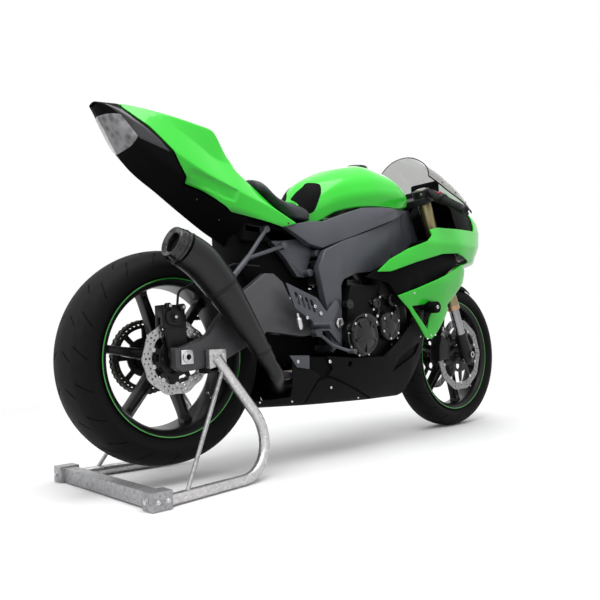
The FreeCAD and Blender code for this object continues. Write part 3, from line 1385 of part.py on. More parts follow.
def build():
    nodes = {}
    nodes.update(front_wheel())
    nodes.update(rear_wheel())
    nodes["drive_chain"] = chain()
    nodes["rear_axle"] = rear_axle()
    nodes["swingarm"] = swingarm()
    nodes["pivot_bolt"] = pivot_bolt()
    nodes["frame"] = frame()
    nodes["subframe"] = subframe()
    nodes["engine_block"] = engine_block()
    nodes["engine_covers"] = engine_covers()
    nodes["radiator"] = radiator()
    nodes["shock_absorber"] = shock()
    nodes["exhaust_headers"] = exhaust()
    nodes["silencer"] = silencer()
    nodes["fuel_tank"] = fuel_tank()
    nodes["tank_covers"] = tank_covers()
    nodes["seat"] = seat()
    nodes["tail_cowl"] = tail_cowl()
    nodes["undertray"] = undertray()
    nodes["tail_lamp"] = tail_lamp()
    nodes["upper_fairing"] = upper_fairing()
    nodes["side_fairings"] = side_fairings()
    nodes["inner_panels"] = inner_panels()
    nodes["belly_pan"] = belly_pan()
    nodes["headlamps"] = headlamps()
    nodes["windscreen"] = windscreen()
    nodes["instrument_panel"] = instrument_panel()
    nodes["rear_caliper"] = rear_caliper()
    nodes["footrests"] = footrests()
    nodes["rear_hugger"] = rear_hugger()
    nodes["frame_sliders"] = frame_sliders()
    nodes["side_stand"] = side_stand()
    nodes["paddock_stand"] = paddock_stand()
    nodes["fork_yokes"] = fork_yokes()
    nodes["fork_tubes"] = fork_tubes()
    nodes["fork_legs"] = fork_legs()
    nodes["front_axle"] = front_axle()
    nodes["front_fender"] = front_fender()
    nodes["handlebars"] = handlebars()
    nodes["hand_controls"] = hand_controls()
    nodes["front_calipers"] = front_calipers()
    nodes["brake_hoses"] = brake_hoses()
    return nodes


def main():
    os.makedirs("parts", exist_ok=True)
    for name, shape in build().items():
        shape.translate(Vector(-middle_x, 0, 0))
        shape.exportStep("parts/" + name + ".step")


main()
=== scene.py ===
"""Looks of a sport bike on its paddock stand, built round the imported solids."""
import logging
import math
from dataclasses import dataclass, field
from enum import Enum
from typing import Any, Callable, Sequence

import bmesh
import bpy
import numpy as np
from mathutils import Matrix, Vector
from mathutils.geometry import delaunay_2d_cdt


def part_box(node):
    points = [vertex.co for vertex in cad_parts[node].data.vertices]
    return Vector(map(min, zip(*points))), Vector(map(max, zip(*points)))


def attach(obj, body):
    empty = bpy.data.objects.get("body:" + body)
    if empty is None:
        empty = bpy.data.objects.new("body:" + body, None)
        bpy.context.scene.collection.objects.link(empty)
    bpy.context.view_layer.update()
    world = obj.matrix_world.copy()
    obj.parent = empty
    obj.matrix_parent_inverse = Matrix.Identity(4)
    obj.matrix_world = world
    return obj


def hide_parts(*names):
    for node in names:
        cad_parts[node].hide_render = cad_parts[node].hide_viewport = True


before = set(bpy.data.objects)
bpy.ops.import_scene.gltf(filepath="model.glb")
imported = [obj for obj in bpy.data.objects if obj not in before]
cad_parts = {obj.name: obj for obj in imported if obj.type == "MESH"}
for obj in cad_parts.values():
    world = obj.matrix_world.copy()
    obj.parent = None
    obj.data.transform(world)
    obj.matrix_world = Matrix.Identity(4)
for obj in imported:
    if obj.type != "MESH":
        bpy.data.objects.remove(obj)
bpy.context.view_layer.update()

LOG = logging.getLogger("sport_bike")
REAR_TYRE_RADIUS = 315.0
MIDDLE_X = -REAR_TYRE_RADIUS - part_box("rear_tyre")[0].x * 1000
REAR_AXLE = (0.0, 365.5)
FRONT_AXLE = (1398.467, 300.0)
RAKE = math.radians(21.0)
PIVOT = (598.0, 448.0)
FORK_HALF = 105.0
SHARP = 38.0
MERGE = 0.00001
COPLANAR = math.radians(1.5)
CAST_SHARP = 48.0

Pair = tuple[float, float]
Triple = tuple[float, float, float]
Colour = tuple[float, float, float]


def metres(points: Any) -> np.ndarray:
    """Layout millimetres, x from the rear axle, as metres in the part's frame.

    Args:
        points: One point or many, in millimetres.

    Returns:
        The same points as an array of metres.
    """
    return (np.asarray(points, float) - (MIDDLE_X, 0.0, 0.0)) / 1000


def on_fork(along: float, across: float, ahead: float = 0.0) -> np.ndarray:
    """Point at a distance up the fork from the front axle, in layout millimetres.

    Args:
        along: Distance up the fork.
        across: Place to the left.
        ahead: Distance square to the fork, forwards.

    Returns:
        The point.
    """
    x = FRONT_AXLE[0] - along * math.sin(RAKE) + ahead * math.cos(RAKE)
    z = FRONT_AXLE[1] + along * math.cos(RAKE) + ahead * math.sin(RAKE)
    return np.array((x, across, z))


def polar(centre: Pair, radius: float, turn: float) -> Pair:
    """Side-view point at a distance and an angle from a centre."""
    return centre[0] + radius * math.cos(turn), centre[1] + radius * math.sin(turn)


def pegs(spots: Sequence[Pair], y: float, way: int,
         size: float = 1.0) -> list[tuple[Triple, Triple, float]]:
    """Places of fasteners that point across the bike.

    Args:
        spots: Side-view points.
        y: The face that they stand on.
        way: -1 where they point to the right, 1 to the left.
        size: Their scale.

    Returns:
        Point, direction and scale of each.
    """
    return [((x, y, z), (0, way, 0), size) for x, z in spots]


# Shader maths

class Value:
    """A shader socket that takes part in Python expressions."""

    def __init__(self, tree: bpy.types.NodeTree, socket: bpy.types.NodeSocket) -> None:
        """Wraps one output socket of a tree."""
        self.tree = tree
        self.socket = socket

    def _math(self, operation: str, *values: "Value | float", clamp: bool = False) -> "Value":
        """Adds one Math node.

        Args:
            operation: The node's operation.
            values: Its inputs, links or numbers.
            clamp: Whether the result is held between 0 and 1.

        Returns:
            The node's result.
        """
        made = self.tree.nodes.new("ShaderNodeMath")
        made.operation = operation
        made.use_clamp = clamp
        for place, value in zip(made.inputs, values):
            plug(self.tree, place, value)
        return Value(self.tree, made.outputs[0])

    def __add__(self, other: "Value | float") -> "Value":
        """Sum."""
        return self._math("ADD", self, other)

    __radd__ = __add__

    def __sub__(self, other: "Value | float") -> "Value":
        """Difference."""
        return self._math("SUBTRACT", self, other)

    def __rsub__(self, other: float) -> "Value":
        """Difference from a number."""
        return self._math("SUBTRACT", other, self)

    def __mul__(self, other: "Value | float") -> "Value":
        """Product."""
        return self._math("MULTIPLY", self, other)

    __rmul__ = __mul__

    def larger(self, other: "Value") -> "Value":
        """The larger of two."""
        return self._math("MAXIMUM", self, other)

    def over(self, low: float, high: float) -> "Value":
        """Ramp from 0 at low to 1 at high.

        Args:
            low: Where the ramp starts.
            high: Where it ends.

        Returns:
            The ramp, held between 0 and 1.
        """
        return self._math("MULTIPLY", self - low, 1.0 / (high - low), clamp=True)


def plug(tree: bpy.types.NodeTree, place: bpy.types.NodeSocket, value: Any) -> None:
    """Links or sets one input socket.

    Args:
        tree: The tree that holds the socket.
        place: The input.
        value: A Value, or what the socket takes by itself.
    """
    if isinstance(value, Value):
        tree.links.new(value.socket, place)
    else:
        place.default_value = value


class Shade:
    """A material's node tree with one method that adds any node."""

    def __init__(self, name: str) -> None:
        """Starts an empty node material."""
        self.material = bpy.data.materials.new(name)
        self.material.use_nodes = True
        self.tree = self.material.node_tree
        self.tree.nodes.clear()
        self.object_coords = self.node("ShaderNodeTexCoord", out="Object")

    def node(self, kind: str, settings: dict[str, Any] | None = None, out: int | str = 0,
             **inputs: Any) -> Value:
        """Adds a node.

        Args:
            kind: The node's type.
            settings: Its settings, set before its sockets; "stops" are a ramp's stops.
            out: Which output is wanted.
            inputs: Values or links by socket name with underscores, or in0, in1 by number.

        Returns:
            The chosen output.
        """
        made = self.tree.nodes.new(kind)
        for key, value in (settings or {}).items():
            if key == "stops":
                ramp = made.color_ramp
                while len(ramp.elements) < len(value):
                    ramp.elements.new(0.5)
                for element, (place, colour) in zip(ramp.elements, value):
                    element.position = place
                    element.color = (*colour, 1.0)
            else:
                setattr(made, key, value)
        for key, value in inputs.items():
            place = made.inputs[int(key[2:])] if key[2:].isdigit() else made.inputs[key.replace("_", " ")]
            plug(self.tree, place, value)
        return Value(self.tree, made.outputs[out])

    def noise(self, scale: float, detail: float = 3.0, coords: Value | None = None) -> Value:
        """Noise on object coordinates.

        Args:
            scale: Its scale per metre.
            detail: How many octaves.
            coords: Other coordinates, where the pattern is stretched.

        Returns:
            The noise, near 0 to 1.
        """
        return self.node("ShaderNodeTexNoise", Vector=coords or self.object_coords, Scale=scale,
                         Detail=detail)

    def stretched(self, scale: Triple, location: Triple = (0.0, 0.0, 0.0)) -> Value:
        """Object coordinates scaled by axis and moved.

        Args:
            scale: Scale of each axis.
            location: Shift after the scale.

        Returns:
            The coordinates.
        """
        return self.node("ShaderNodeMapping", Vector=self.object_coords, Scale=scale, Location=location)

    def blend(self, share: Value, one: Colour | Value, other: Colour | Value) -> Value:
        """Colour between two.

        Args:
            share: 0 gives the first, 1 the second.
            one: First colour.
            other: Second colour.

        Returns:
            The mixed colour.
        """
        ends = [c if isinstance(c, Value) else (*c, 1.0) for c in (one, other)]
        return self.node("ShaderNodeMix", {"data_type": "RGBA"}, out=2, in0=share, in6=ends[0], in7=ends[1])

    def bump(self, height: Value, distance: float) -> Value:
        """Bumped normal.

        Args:
            height: The height, 0 to 1.
            distance: What 1 is in metres.

        Returns:
            The normal.
        """
        return self.node("ShaderNodeBump", Height=height, Distance=distance, Strength=1.0)

    def close(self, shader: Value) -> bpy.types.Material:
        """Ends the material at its output.

        Args:
            shader: The surface.

        Returns:
            The material.
        """
        made = self.tree.nodes.new("ShaderNodeOutputMaterial")
        self.tree.links.new(shader.socket, made.inputs["Surface"])
        return self.material


class Grain(Enum):
    """How a finish is patterned."""

    LACQUER = "lacquer"
    CAST = "cast"
    MOULDED = "moulded"
    TYRE = "tyre"
    BRUSHED = "brushed"
    TURNED = "turned"
    LEATHER = "leather"
    HEAT = "heat"
    ZINC = "zinc"
    SCREEN = "screen"
    LENS = "lens"


@dataclass(frozen=True)
class Finish:
    """A surface finish, made into a material once."""

    slot: str
    grain: Grain
    colour: Colour
    roughness: float
    metallic: float = 0.0
    coat: float = 0.0
    second: Colour | None = None
    centre: Pair = REAR_AXLE
    variant: str = ""
    shine: float = 0.5

    def material(self) -> bpy.types.Material:
        """The material, built the first time it is asked for."""
        name = f"finish_{self.slot}{self.variant}"
        return bpy.data.materials.get(name) or self._build(name)

    def _build(self, name: str) -> bpy.types.Material:
        """Builds the node tree.

        Args:
            name: The material's name.

        Returns:
            The material.
        """
        shade = Shade(name)
        wide = shade.noise(7.0, 3.0)
        other = self.second or tuple(c * 0.78 for c in self.colour)
        values: dict[str, Any] = {"Metallic": self.metallic, "Coat_Weight": self.coat,
                                  "Coat_Roughness": 0.05, "Specular_IOR_Level": self.shine}
        colour = shade.blend(wide.over(0.35, 0.7), self.colour, other)
        rough = self.roughness + (shade.noise(60.0, 4.0) - 0.5) * 0.1
        if self.grain is Grain.LACQUER:
            colour = shade.blend(wide.over(0.3, 0.75) * 0.35, self.colour, other)
            rough = self.roughness + (shade.noise(24.0, 5.0) - 0.5) * 0.06
            normal = shade.bump(shade.noise(420.0, 1.0), 0.00003)
        elif self.grain is Grain.CAST:
            fine = shade.noise(1400.0, 3.0)
            normal = shade.bump(fine + shade.noise(260.0, 2.0) * 0.6, 0.00012)
            colour = shade.blend(fine.over(0.45, 0.75) * 0.4, colour,
                                 tuple(min(1.0, c * 1.35) for c in self.colour))
        elif self.grain is Grain.MOULDED:
            cells = shade.node("ShaderNodeTexVoronoi", Vector=shade.object_coords, Scale=900.0)
            normal = shade.bump(cells + shade.noise(300.0, 2.0) * 0.4, 0.0001)
        elif self.grain is Grain.TYRE:
            normal, colour, rough = self._tyre(shade, wide)
        elif self.grain is Grain.BRUSHED:
            lines = shade.noise(1.0, 4.0, shade.stretched((1800.0, 60.0, 1800.0)))
            normal = shade.bump(lines, 0.00004)
            rough = self.roughness + (lines - 0.5) * 0.18
        elif self.grain is Grain.TURNED:
            normal, colour, rough = self._turned(shade, wide)
        elif self.grain is Grain.LEATHER:
            cells = shade.node("ShaderNodeTexVoronoi", {"feature": "DISTANCE_TO_EDGE"},
                               Vector=shade.object_coords, Scale=420.0)
            normal = shade.bump(cells.over(0.0, 0.12) + shade.noise(900.0, 2.0) * 0.4, 0.0002)
            colour = shade.blend(cells.over(0.0, 0.1), other, colour)
        elif self.grain is Grain.HEAT:
            ramp = shade.node("ShaderNodeValToRGB", {"stops": [
                (0.0, self.colour), (0.45, (0.38, 0.27, 0.14)), (0.62, (0.2, 0.17, 0.28)), (1.0, other)]},
                Fac=shade.noise(9.0, 4.0))
            colour = ramp
            normal = shade.bump(shade.noise(500.0, 3.0), 0.00005)
        elif self.grain is Grain.ZINC:
            flakes = shade.node("ShaderNodeTexVoronoi", out="Color", Vector=shade.object_coords,
                                Scale=130.0)
            spangle = shade.node("ShaderNodeSeparateColor", Color=flakes)
            colour = shade.blend(spangle * 0.5 + wide.over(0.5, 0.75) * 0.35, self.colour, other)
            rough = self.roughness + (spangle - 0.5) * 0.16
            normal = shade.bump(spangle, 0.00003)
        elif self.grain is Grain.LENS:
            cells = shade.node("ShaderNodeTexVoronoi", Vector=shade.stretched((46.0, 60.0, 46.0)),
                               Scale=1.0)
            colour = shade.blend((cells + shade.noise(40.0, 4.0) * 0.8).over(0.35, 1.1), self.colour, other)
            normal = shade.bump(cells, 0.0009)
        else:
            normal = shade.bump(shade.noise(40.0, 1.0), 0.00005)
            values["Alpha"] = 0.3 + shade.noise(5.0, 2.0) * 0.06
            colour = shade.blend(wide, self.colour, other)
        shader = shade.node("ShaderNodeBsdfPrincipled", Base_Color=colour, Roughness=rough, Normal=normal,
                            **values)
        return shade.close(shader)

    def _radius(self, shade: Shade) -> Value:
        """Distance from the wheel's axle in metres, on object coordinates."""
        x, z = self.centre
        moved = shade.stretched((1.0, 0.0, 1.0), ((MIDDLE_X - x) / 1000, 0.0, -z / 1000))
        return shade.node("ShaderNodeVectorMath", {"operation": "LENGTH"}, out="Value", in0=moved)

    def _turned(self, shade: Shade, wide: Value) -> tuple[Value, Value, Value]:
        """Normal, colour and roughness of a ground disc."""
        radius = self._radius(shade)
        rings = shade.noise(1.0, 3.0, shade.node("ShaderNodeCombineXYZ", X=radius * 2600.0))
        colour = shade.blend(rings.over(0.35, 0.75), self.colour, self.second or self.colour)
        normal = shade.bump(rings, 0.00005)
        return normal, colour, self.roughness + (rings - 0.5) * 0.16 + (wide - 0.5) * 0.1

    def _tyre(self, shade: Shade, wide: Value) -> tuple[Value, Value, Value]:
        """Normal, colour and roughness of rubber that is scuffed on the tread."""
        tread = self._radius(shade).over(0.268, 0.296)
        scuff = shade.noise(38.0, 6.0).over(0.4, 0.7)
        colour = shade.blend(tread * (0.45 + scuff * 0.55), self.colour, self.second or self.colour)
        fine = shade.noise(900.0, 3.0) + shade.noise(150.0, 2.0) * 0.5
        normal = shade.bump(fine, 0.00014)
        return normal, colour, self.roughness + tread * scuff * 0.1 + (wide - 0.5) * 0.06


class Paint:
    """All the finishes of the bike."""

    TYRE_REAR = Finish("tyre_rubber", Grain.TYRE, (0.006, 0.006, 0.0065), 0.6, second=(0.016, 0.016, 0.017),
                       variant="_rear", shine=0.08)
    TYRE_FRONT = Finish("tyre_rubber", Grain.TYRE, (0.006, 0.006, 0.0065), 0.6,
                        second=(0.014, 0.014, 0.015), centre=(FRONT_AXLE[0], REAR_TYRE_RADIUS),
                        variant="_front", shine=0.08)
    WHEEL = Finish("wheel_black", Grain.LACQUER, (0.005, 0.005, 0.0055), 0.36, coat=0.12, shine=0.2)
    STRIPE = Finish("green_gloss", Grain.LACQUER, (0.03, 0.42, 0.03), 0.3, coat=0.6, variant="_stripe")
    DISC_REAR = Finish("disc_steel", Grain.TURNED, (0.46, 0.46, 0.46), 0.34, 1.0, second=(0.26, 0.26, 0.26))
    DISC_FRONT = Finish("disc_steel", Grain.TURNED, (0.3, 0.3, 0.3), 0.34, 1.0, second=(0.16, 0.16, 0.16),
                        centre=FRONT_AXLE, variant="_front")
    CHAIN = Finish("chain_steel", Grain.BRUSHED, (0.13, 0.12, 0.11), 0.4, 0.9, second=(0.05, 0.045, 0.04))
    SPROCKET = Finish("wheel_black", Grain.CAST, (0.01, 0.01, 0.011), 0.5, variant="_sprocket", shine=0.3)
    SILVER = Finish("axle_silver", Grain.BRUSHED, (0.6, 0.6, 0.6), 0.3, 1.0, second=(0.4, 0.4, 0.41))
    BOLT = Finish("axle_silver", Grain.BRUSHED, (0.62, 0.62, 0.63), 0.26, 0.9, variant="_bolt")
    FRAME = Finish("frame_grey", Grain.CAST, (0.088, 0.093, 0.108), 0.42, 0.25, shine=0.4)
    ARM = Finish("frame_grey", Grain.CAST, (0.078, 0.078, 0.083), 0.42, 0.25, variant="_arm", shine=0.4)
    ENGINE = Finish("engine_grey", Grain.CAST, (0.004, 0.004, 0.0045), 0.5, 0.0, shine=0.1)
    COVER = Finish("engine_grey", Grain.LACQUER, (0.005, 0.005, 0.0055), 0.32, 0.0, coat=0.2,
                   variant="_cover", shine=0.25)
    GREEN = Finish("green_gloss", Grain.LACQUER, (0.028, 0.7, 0.028), 0.3, coat=0.45,
                   second=(0.024, 0.63, 0.024), shine=0.3)
    PLASTIC = Finish("black_plastic", Grain.MOULDED, (0.004, 0.004, 0.0045), 0.6, shine=0.05)
    PAN = Finish("black_plastic", Grain.MOULDED, (0.0085, 0.0085, 0.009), 0.56, variant="_pan", shine=0.06)
    SATIN = Finish("black_plastic", Grain.CAST, (0.105, 0.111, 0.13), 0.42, coat=0.1, variant="_satin",
                   shine=0.4)
    FACET = Finish("black_plastic", Grain.LACQUER, (0.03, 0.03, 0.036), 0.34, coat=0.4, variant="_facet",
                   shine=0.3)
    GLOSS_BLACK = Finish("black_plastic", Grain.LACQUER, (0.006, 0.006, 0.007), 0.24, coat=0.4,
                         variant="_gloss", shine=0.3)
    SEAT = Finish("seat_cover", Grain.LEATHER, (0.05, 0.056, 0.058), 0.56, second=(0.03, 0.033, 0.035),
                  shine=0.3)
    CORE = Finish("core_black", Grain.CAST, (0.012, 0.012, 0.013), 0.5, 0.3, shine=0.3)
    HEADER = Finish("header_steel", Grain.HEAT, (0.26, 0.21, 0.17), 0.4, 1.0, second=(0.1, 0.08, 0.07))
    SILENCER = Finish("silencer_black", Grain.LACQUER, (0.005, 0.005, 0.0055), 0.32, 0.0, coat=0.1,
                      shine=0.3)
    LENS = Finish("lens_clear", Grain.LENS, (0.09, 0.088, 0.092), 0.2, coat=0.6, second=(0.4, 0.39, 0.41),
                  shine=0.4)
    HEADLAMP = Finish("lens_clear", Grain.LENS, (0.25, 0.25, 0.27), 0.12, 0.4, coat=1.0,
                      second=(0.6, 0.6, 0.63), variant="_head")
    SCREEN = Finish("screen_smoke", Grain.SCREEN, (0.34, 0.29, 0.3), 0.08, coat=0.6,
                    second=(0.42, 0.36, 0.37), shine=0.3)
    GOLD = Finish("fork_gold", Grain.BRUSHED, (0.3, 0.26, 0.14), 0.34, 1.0, second=(0.22, 0.19, 0.1))
    ORANGE = Finish("fork_gold", Grain.BRUSHED, (0.48, 0.31, 0.19), 0.34, 1.0, variant="_lower")
    CHROME = Finish("stanchion_chrome", Grain.BRUSHED, (0.3, 0.3, 0.31), 0.24, 1.0,
                    second=(0.22, 0.22, 0.23))
    ZINC = Finish("stand_zinc", Grain.ZINC, (0.62, 0.61, 0.61), 0.34, 0.9, second=(0.34, 0.34, 0.34))
    OLD_ZINC = Finish("stand_zinc", Grain.ZINC, (0.42, 0.42, 0.43), 0.46, 0.7, second=(0.16, 0.16, 0.165),
                      variant="_dull")
    HOSE = Finish("hose_rubber", Grain.MOULDED, (0.007, 0.007, 0.007), 0.46, shine=0.3)
    BRAKE = Finish("brake_black", Grain.CAST, (0.009, 0.009, 0.01), 0.42, 0.1, shine=0.25)
    RED = Finish("black_plastic", Grain.MOULDED, (0.6, 0.02, 0.02), 0.4, variant="_red")
    RUBBER = Finish("hose_rubber", Grain.MOULDED, (0.009, 0.009, 0.01), 0.62, variant="_grip", shine=0.2)


# Mesh tools

def linked(name: str, data: Any) -> bpy.types.Object:
    """Puts a new object in the scene.

    Args:
        name: Its name.
        data: Its mesh, lamp or camera.

    Returns:
        The object.
    """
    made = bpy.data.objects.new(name, data)
    bpy.context.scene.collection.objects.link(made)
    return made


def meshed(name: str, shape: bmesh.types.BMesh) -> bpy.types.Object:
    """Ends a working mesh as an object in the scene.

    Args:
        name: The object's name.
        shape: The working mesh, which is freed.

    Returns:
        The object.
    """
    mesh = bpy.data.meshes.new(name)
    shape.to_mesh(mesh)
    shape.free()
    return linked(name, mesh)


def new_piece(name: str, points: Any, faces: Sequence[Sequence[int]], sharp: float = SHARP,
              weld: float = 0.02) -> bpy.types.Object:
    """Makes a mesh object from layout millimetres, with outward faces.

    Args:
        name: The piece's name.
        points: Its points in layout millimetres.
        faces: Faces as lists of point numbers.
        sharp: Angle in degrees above which an edge stays sharp.
        weld: Millimetres within which points become one.

    Returns:
        The object, linked to the scene.
    """
    mesh = bpy.data.meshes.new(name)
    mesh.from_pydata(metres(points).tolist(), [], [list(f) for f in faces])
    shape = bmesh.new()
    shape.from_mesh(mesh)
    bmesh.ops.remove_doubles(shape, verts=shape.verts, dist=weld / 1000)
    bmesh.ops.recalc_face_normals(shape, faces=shape.faces)
    shape.to_mesh(mesh)
    shape.free()
    made = linked(name, mesh)
    soften(made, sharp)
    return made


def bevelled(made: bpy.types.Object, width: float, limit: float = 50.0) -> None:
    """Rounds the edges of an object with a two-step bevel, not yet baked.

    Args:
        made: The object.
        width: Width of the bevel in millimetres.
        limit: Angle in degrees above which an edge is bevelled.
    """
    bevel = made.modifiers.new("edges", "BEVEL")
    bevel.width = width / 1000
    bevel.segments = 2
    bevel.limit_method = "ANGLE"
    bevel.angle_limit = math.radians(limit)
    bevel.use_clamp_overlap = False


def soften(made: bpy.types.Object, sharp: float) -> None:
    """Smooth shading with sharp edges above an angle.

    Args:
        made: The object.
        sharp: The angle in degrees.
    """
    made.data.shade_smooth()
    made.data.set_sharp_from_angle(angle=math.radians(sharp))


def settle(made: bpy.types.Object, sharp: float = SHARP) -> bpy.types.Object:
    """Bakes the modifiers of an object into its mesh.

    Args:
        made: The object.
        sharp: Angle in degrees above which an edge stays sharp.

    Returns:
        The same object with a plain mesh.
    """
    graph = bpy.context.evaluated_depsgraph_get()
    mesh = bpy.data.meshes.new_from_object(made.evaluated_get(graph))
    made.modifiers.clear()
    made.data = mesh
    soften(made, sharp)
    return made


def finish(made: bpy.types.Object, body: str, paint: Finish,
           replaces: Sequence[str] = ()) -> bpy.types.Object:
    """Gives a piece its material and body, and hides the CAD nodes that it stands for.

    Args:
        made: The piece.
        body: The body that it rides on.
        paint: Its finish.
        replaces: CAD nodes that it stands for.

    Returns:
        The piece.
    """
    made.data.materials.clear()
    made.data.materials.append(paint.material())
    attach(made, body)
    if replaces:
        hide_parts(*replaces)
    LOG.info("%s on %s: %d faces", made.name, body, len(made.data.polygons))
    return made


def between(keys: Sequence[float], values: Any, wanted: Any) -> np.ndarray:
    """Smooth curve through values that doesn't overshoot them.

    Args:
        keys: Rising places of the values.
        values: One row for each key.
        wanted: Places at which the curve is read.

    Returns:
        One row for each wanted place.
    """
    keys = np.asarray(keys, float)
    rows = np.asarray(values, float).reshape(len(keys), -1)
    gap = np.diff(keys)[:, None]
    slope = np.diff(rows, axis=0) / gap
    lean = np.zeros_like(rows)
    lean[0], lean[-1] = slope[0], slope[-1]
    if len(keys) > 2:
        before, after = 2 * gap[1:] + gap[:-1], gap[1:] + 2 * gap[:-1]
        same = slope[:-1] * slope[1:] > 0
        safe = np.where(same, slope[:-1], 1.0), np.where(same, slope[1:], 1.0)
        lean[1:-1] = np.where(same, (before + after) / (before / safe[0] + after / safe[1]), 0.0)
    wanted = np.atleast_1d(np.asarray(wanted, float))
    at = np.clip(np.searchsorted(keys, wanted, side="right") - 1, 0, len(gap) - 1)
    s = ((wanted - keys[at]) / gap[at, 0])[:, None]
    h = gap[at]
    return ((2 * s**3 - 3 * s**2 + 1) * rows[at] + (s**3 - 2 * s**2 + s) * h * lean[at]
            + (3 * s**2 - 2 * s**3) * rows[at + 1] + (s**3 - s**2) * h * lean[at + 1])


def rounded(points: Any, radius: float | Sequence[float], closed: bool = False, steps: int = 5,
            between_corners: int = 3) -> np.ndarray:
    """Polyline with rounded corners and a fixed count of points.

    Args:
        points: Corners as rows.
        radius: How far from each corner the rounding starts, one or one for each.
        closed: Whether the last corner joins the first.
        steps: Points on each rounded corner.
        between_corners: Points between two corners.

    Returns:
        The rounded line.
    """
    rows = np.asarray(points, float)
    count = len(rows)
    radii = np.broadcast_to(np.asarray(radius, float), (count,))
    line = []
    for i in range(count):
        here = rows[i]
        if not closed and i in (0, count - 1):
            ends = (here, here)
            curve = [here]
        else:
            before, after = rows[i - 1], rows[(i + 1) % count]
            reach = [min(radii[i] / max(np.linalg.norm(p - here), 1e-9), 0.48) for p in (before, after)]
            ends = (here + (before - here) * reach[0], here + (after - here) * reach[1])
            curve = [(1 - t)**2 * ends[0] + 2 * t * (1 - t) * here + t**2 * ends[1]
                     for t in np.linspace(0, 1, steps)]
        if line:
            last = line[-1]
            line += [last + (curve[0] - last) * t for t in np.linspace(0, 1, between_corners + 2)[1:-1]]
        line += curve
    if closed:
        last, first = line[-1], line[0]
        line += [last + (first - last) * t for t in np.linspace(0, 1, between_corners + 2)[1:-1]]
    return np.array(line)


def even(line: np.ndarray, step: float) -> np.ndarray:
    """Closed line with extra points so that none lie further apart than a step.

    Args:
        line: The line's points.
        step: Longest distance.

    Returns:
        The finer line.
    """
    fine = []
    for here, after in zip(line, np.roll(line, -1, axis=0)):
        parts = max(1, int(math.ceil(np.linalg.norm(after - here) / step)))
        fine += [here + (after - here) * i / parts for i in range(parts)]
    return np.array(fine)


def within(points: np.ndarray, outline: np.ndarray) -> np.ndarray:
    """Which flat points lie inside an outline.

    Args:
        points: Rows of two numbers.
        outline: The outline's corners.

    Returns:
        A mask.
    """
    inside = np.zeros(len(points), bool)
    for (x0, y0), (x1, y1) in zip(outline, np.roll(outline, -1, axis=0)):
        if y0 == y1:
            continue
        crosses = (points[:, 1] > min(y0, y1)) & (points[:, 1] <= max(y0, y1))
        inside ^= crosses & (points[:, 0] < x0 + (points[:, 1] - y0) * (x1 - x0) / (y1 - y0))
    return inside


def fill(outline: np.ndarray, holes: Sequence[np.ndarray],
         inner: np.ndarray) -> tuple[np.ndarray, list[list[int]]]:
    """Triangles that fill a flat outline with holes.

    Args:
        outline: The outer line.
        holes: Lines of the holes.
        inner: Extra points, of which those inside are used.

    Returns:
        The flat points and the triangles.
    """
    loops = [outline, *holes]
    points: list[np.ndarray] = []
    edges: list[tuple[int, int]] = []
    for loop in loops:
        first = len(points)
        points += list(loop)
        edges += [(first + i, first + (i + 1) % len(loop)) for i in range(len(loop))]
    if len(inner):
        keep = within(inner, outline)
        for hole in holes:
            keep &= ~within(inner, hole)
        points += list(inner[keep])
    result = delaunay_2d_cdt([Vector(p) for p in points], edges, [], 0, 1e-6)
    flat = np.array([tuple(v) for v in result[0]])
    triangles = [list(f) for f in result[2]]
    middles = np.array([flat[f].mean(axis=0) for f in triangles])
    keep = within(middles, outline)
    for hole in holes:
        keep &= ~within(middles, hole)
    return flat, [f for f, k in zip(triangles, keep) if k]


def thicken(made: bpy.types.Object, wall: float, edge: float, sharp: float = SHARP) -> bpy.types.Object:
    """Gives an open skin an inward wall and rounded rims.

    Args:
        made: The skin, with outward faces.
        wall: Thickness in millimetres.
        edge: Width of the rim's bevel in millimetres, or 0.
        sharp: Angle in degrees above which an edge stays sharp.

    Returns:
        The finished mesh object.
    """
    solid = made.modifiers.new("wall", "SOLIDIFY")
    solid.thickness = wall / 1000
    solid.offset = -1.0
    solid.use_even_offset = False
    if edge:
        bevelled(made, edge, 55.0)
    return settle(made, sharp)


def lofted(name: str, rings: np.ndarray, closed_rings: bool = False,
           sharp: float = SHARP) -> bpy.types.Object:
    """Mesh through rings of points, with faces on its ends where it has any.

    Args:
        name: The piece's name.
        rings: Array of rings, each an array of points.
        closed_rings: Whether the last ring joins the first.
        sharp: Angle in degrees above which an edge stays sharp.

    Returns:
        The object.
    """
    count, around = rings.shape[0], rings.shape[1]
    faces: list[list[int]] = []
    for i in range(count if closed_rings else count - 1):
        a, b = i * around, ((i + 1) % count) * around
        faces += [[a + j, a + (j + 1) % around, b + (j + 1) % around, b + j] for j in range(around)]
    if not closed_rings:
        faces += [list(range(around)), list(range((count - 1) * around, count * around))]
    return new_piece(name, rings.reshape(-1, 3), faces, sharp)


def grid_skin(name: str, grid: np.ndarray, sharp: float) -> bpy.types.Object:
    """Open skin through a grid of points.

    Args:
        name: The piece's name.
        grid: Rows of points.
        sharp: Angle in degrees above which an edge stays sharp.

    Returns:
        The object.
    """
    count, around = grid.shape[:2]
    faces = [[i * around + j, i * around + j + 1, (i + 1) * around + j + 1, (i + 1) * around + j]
             for i in range(count - 1) for j in range(around - 1)]
    return new_piece(name, grid.reshape(-1, 3), faces, sharp)


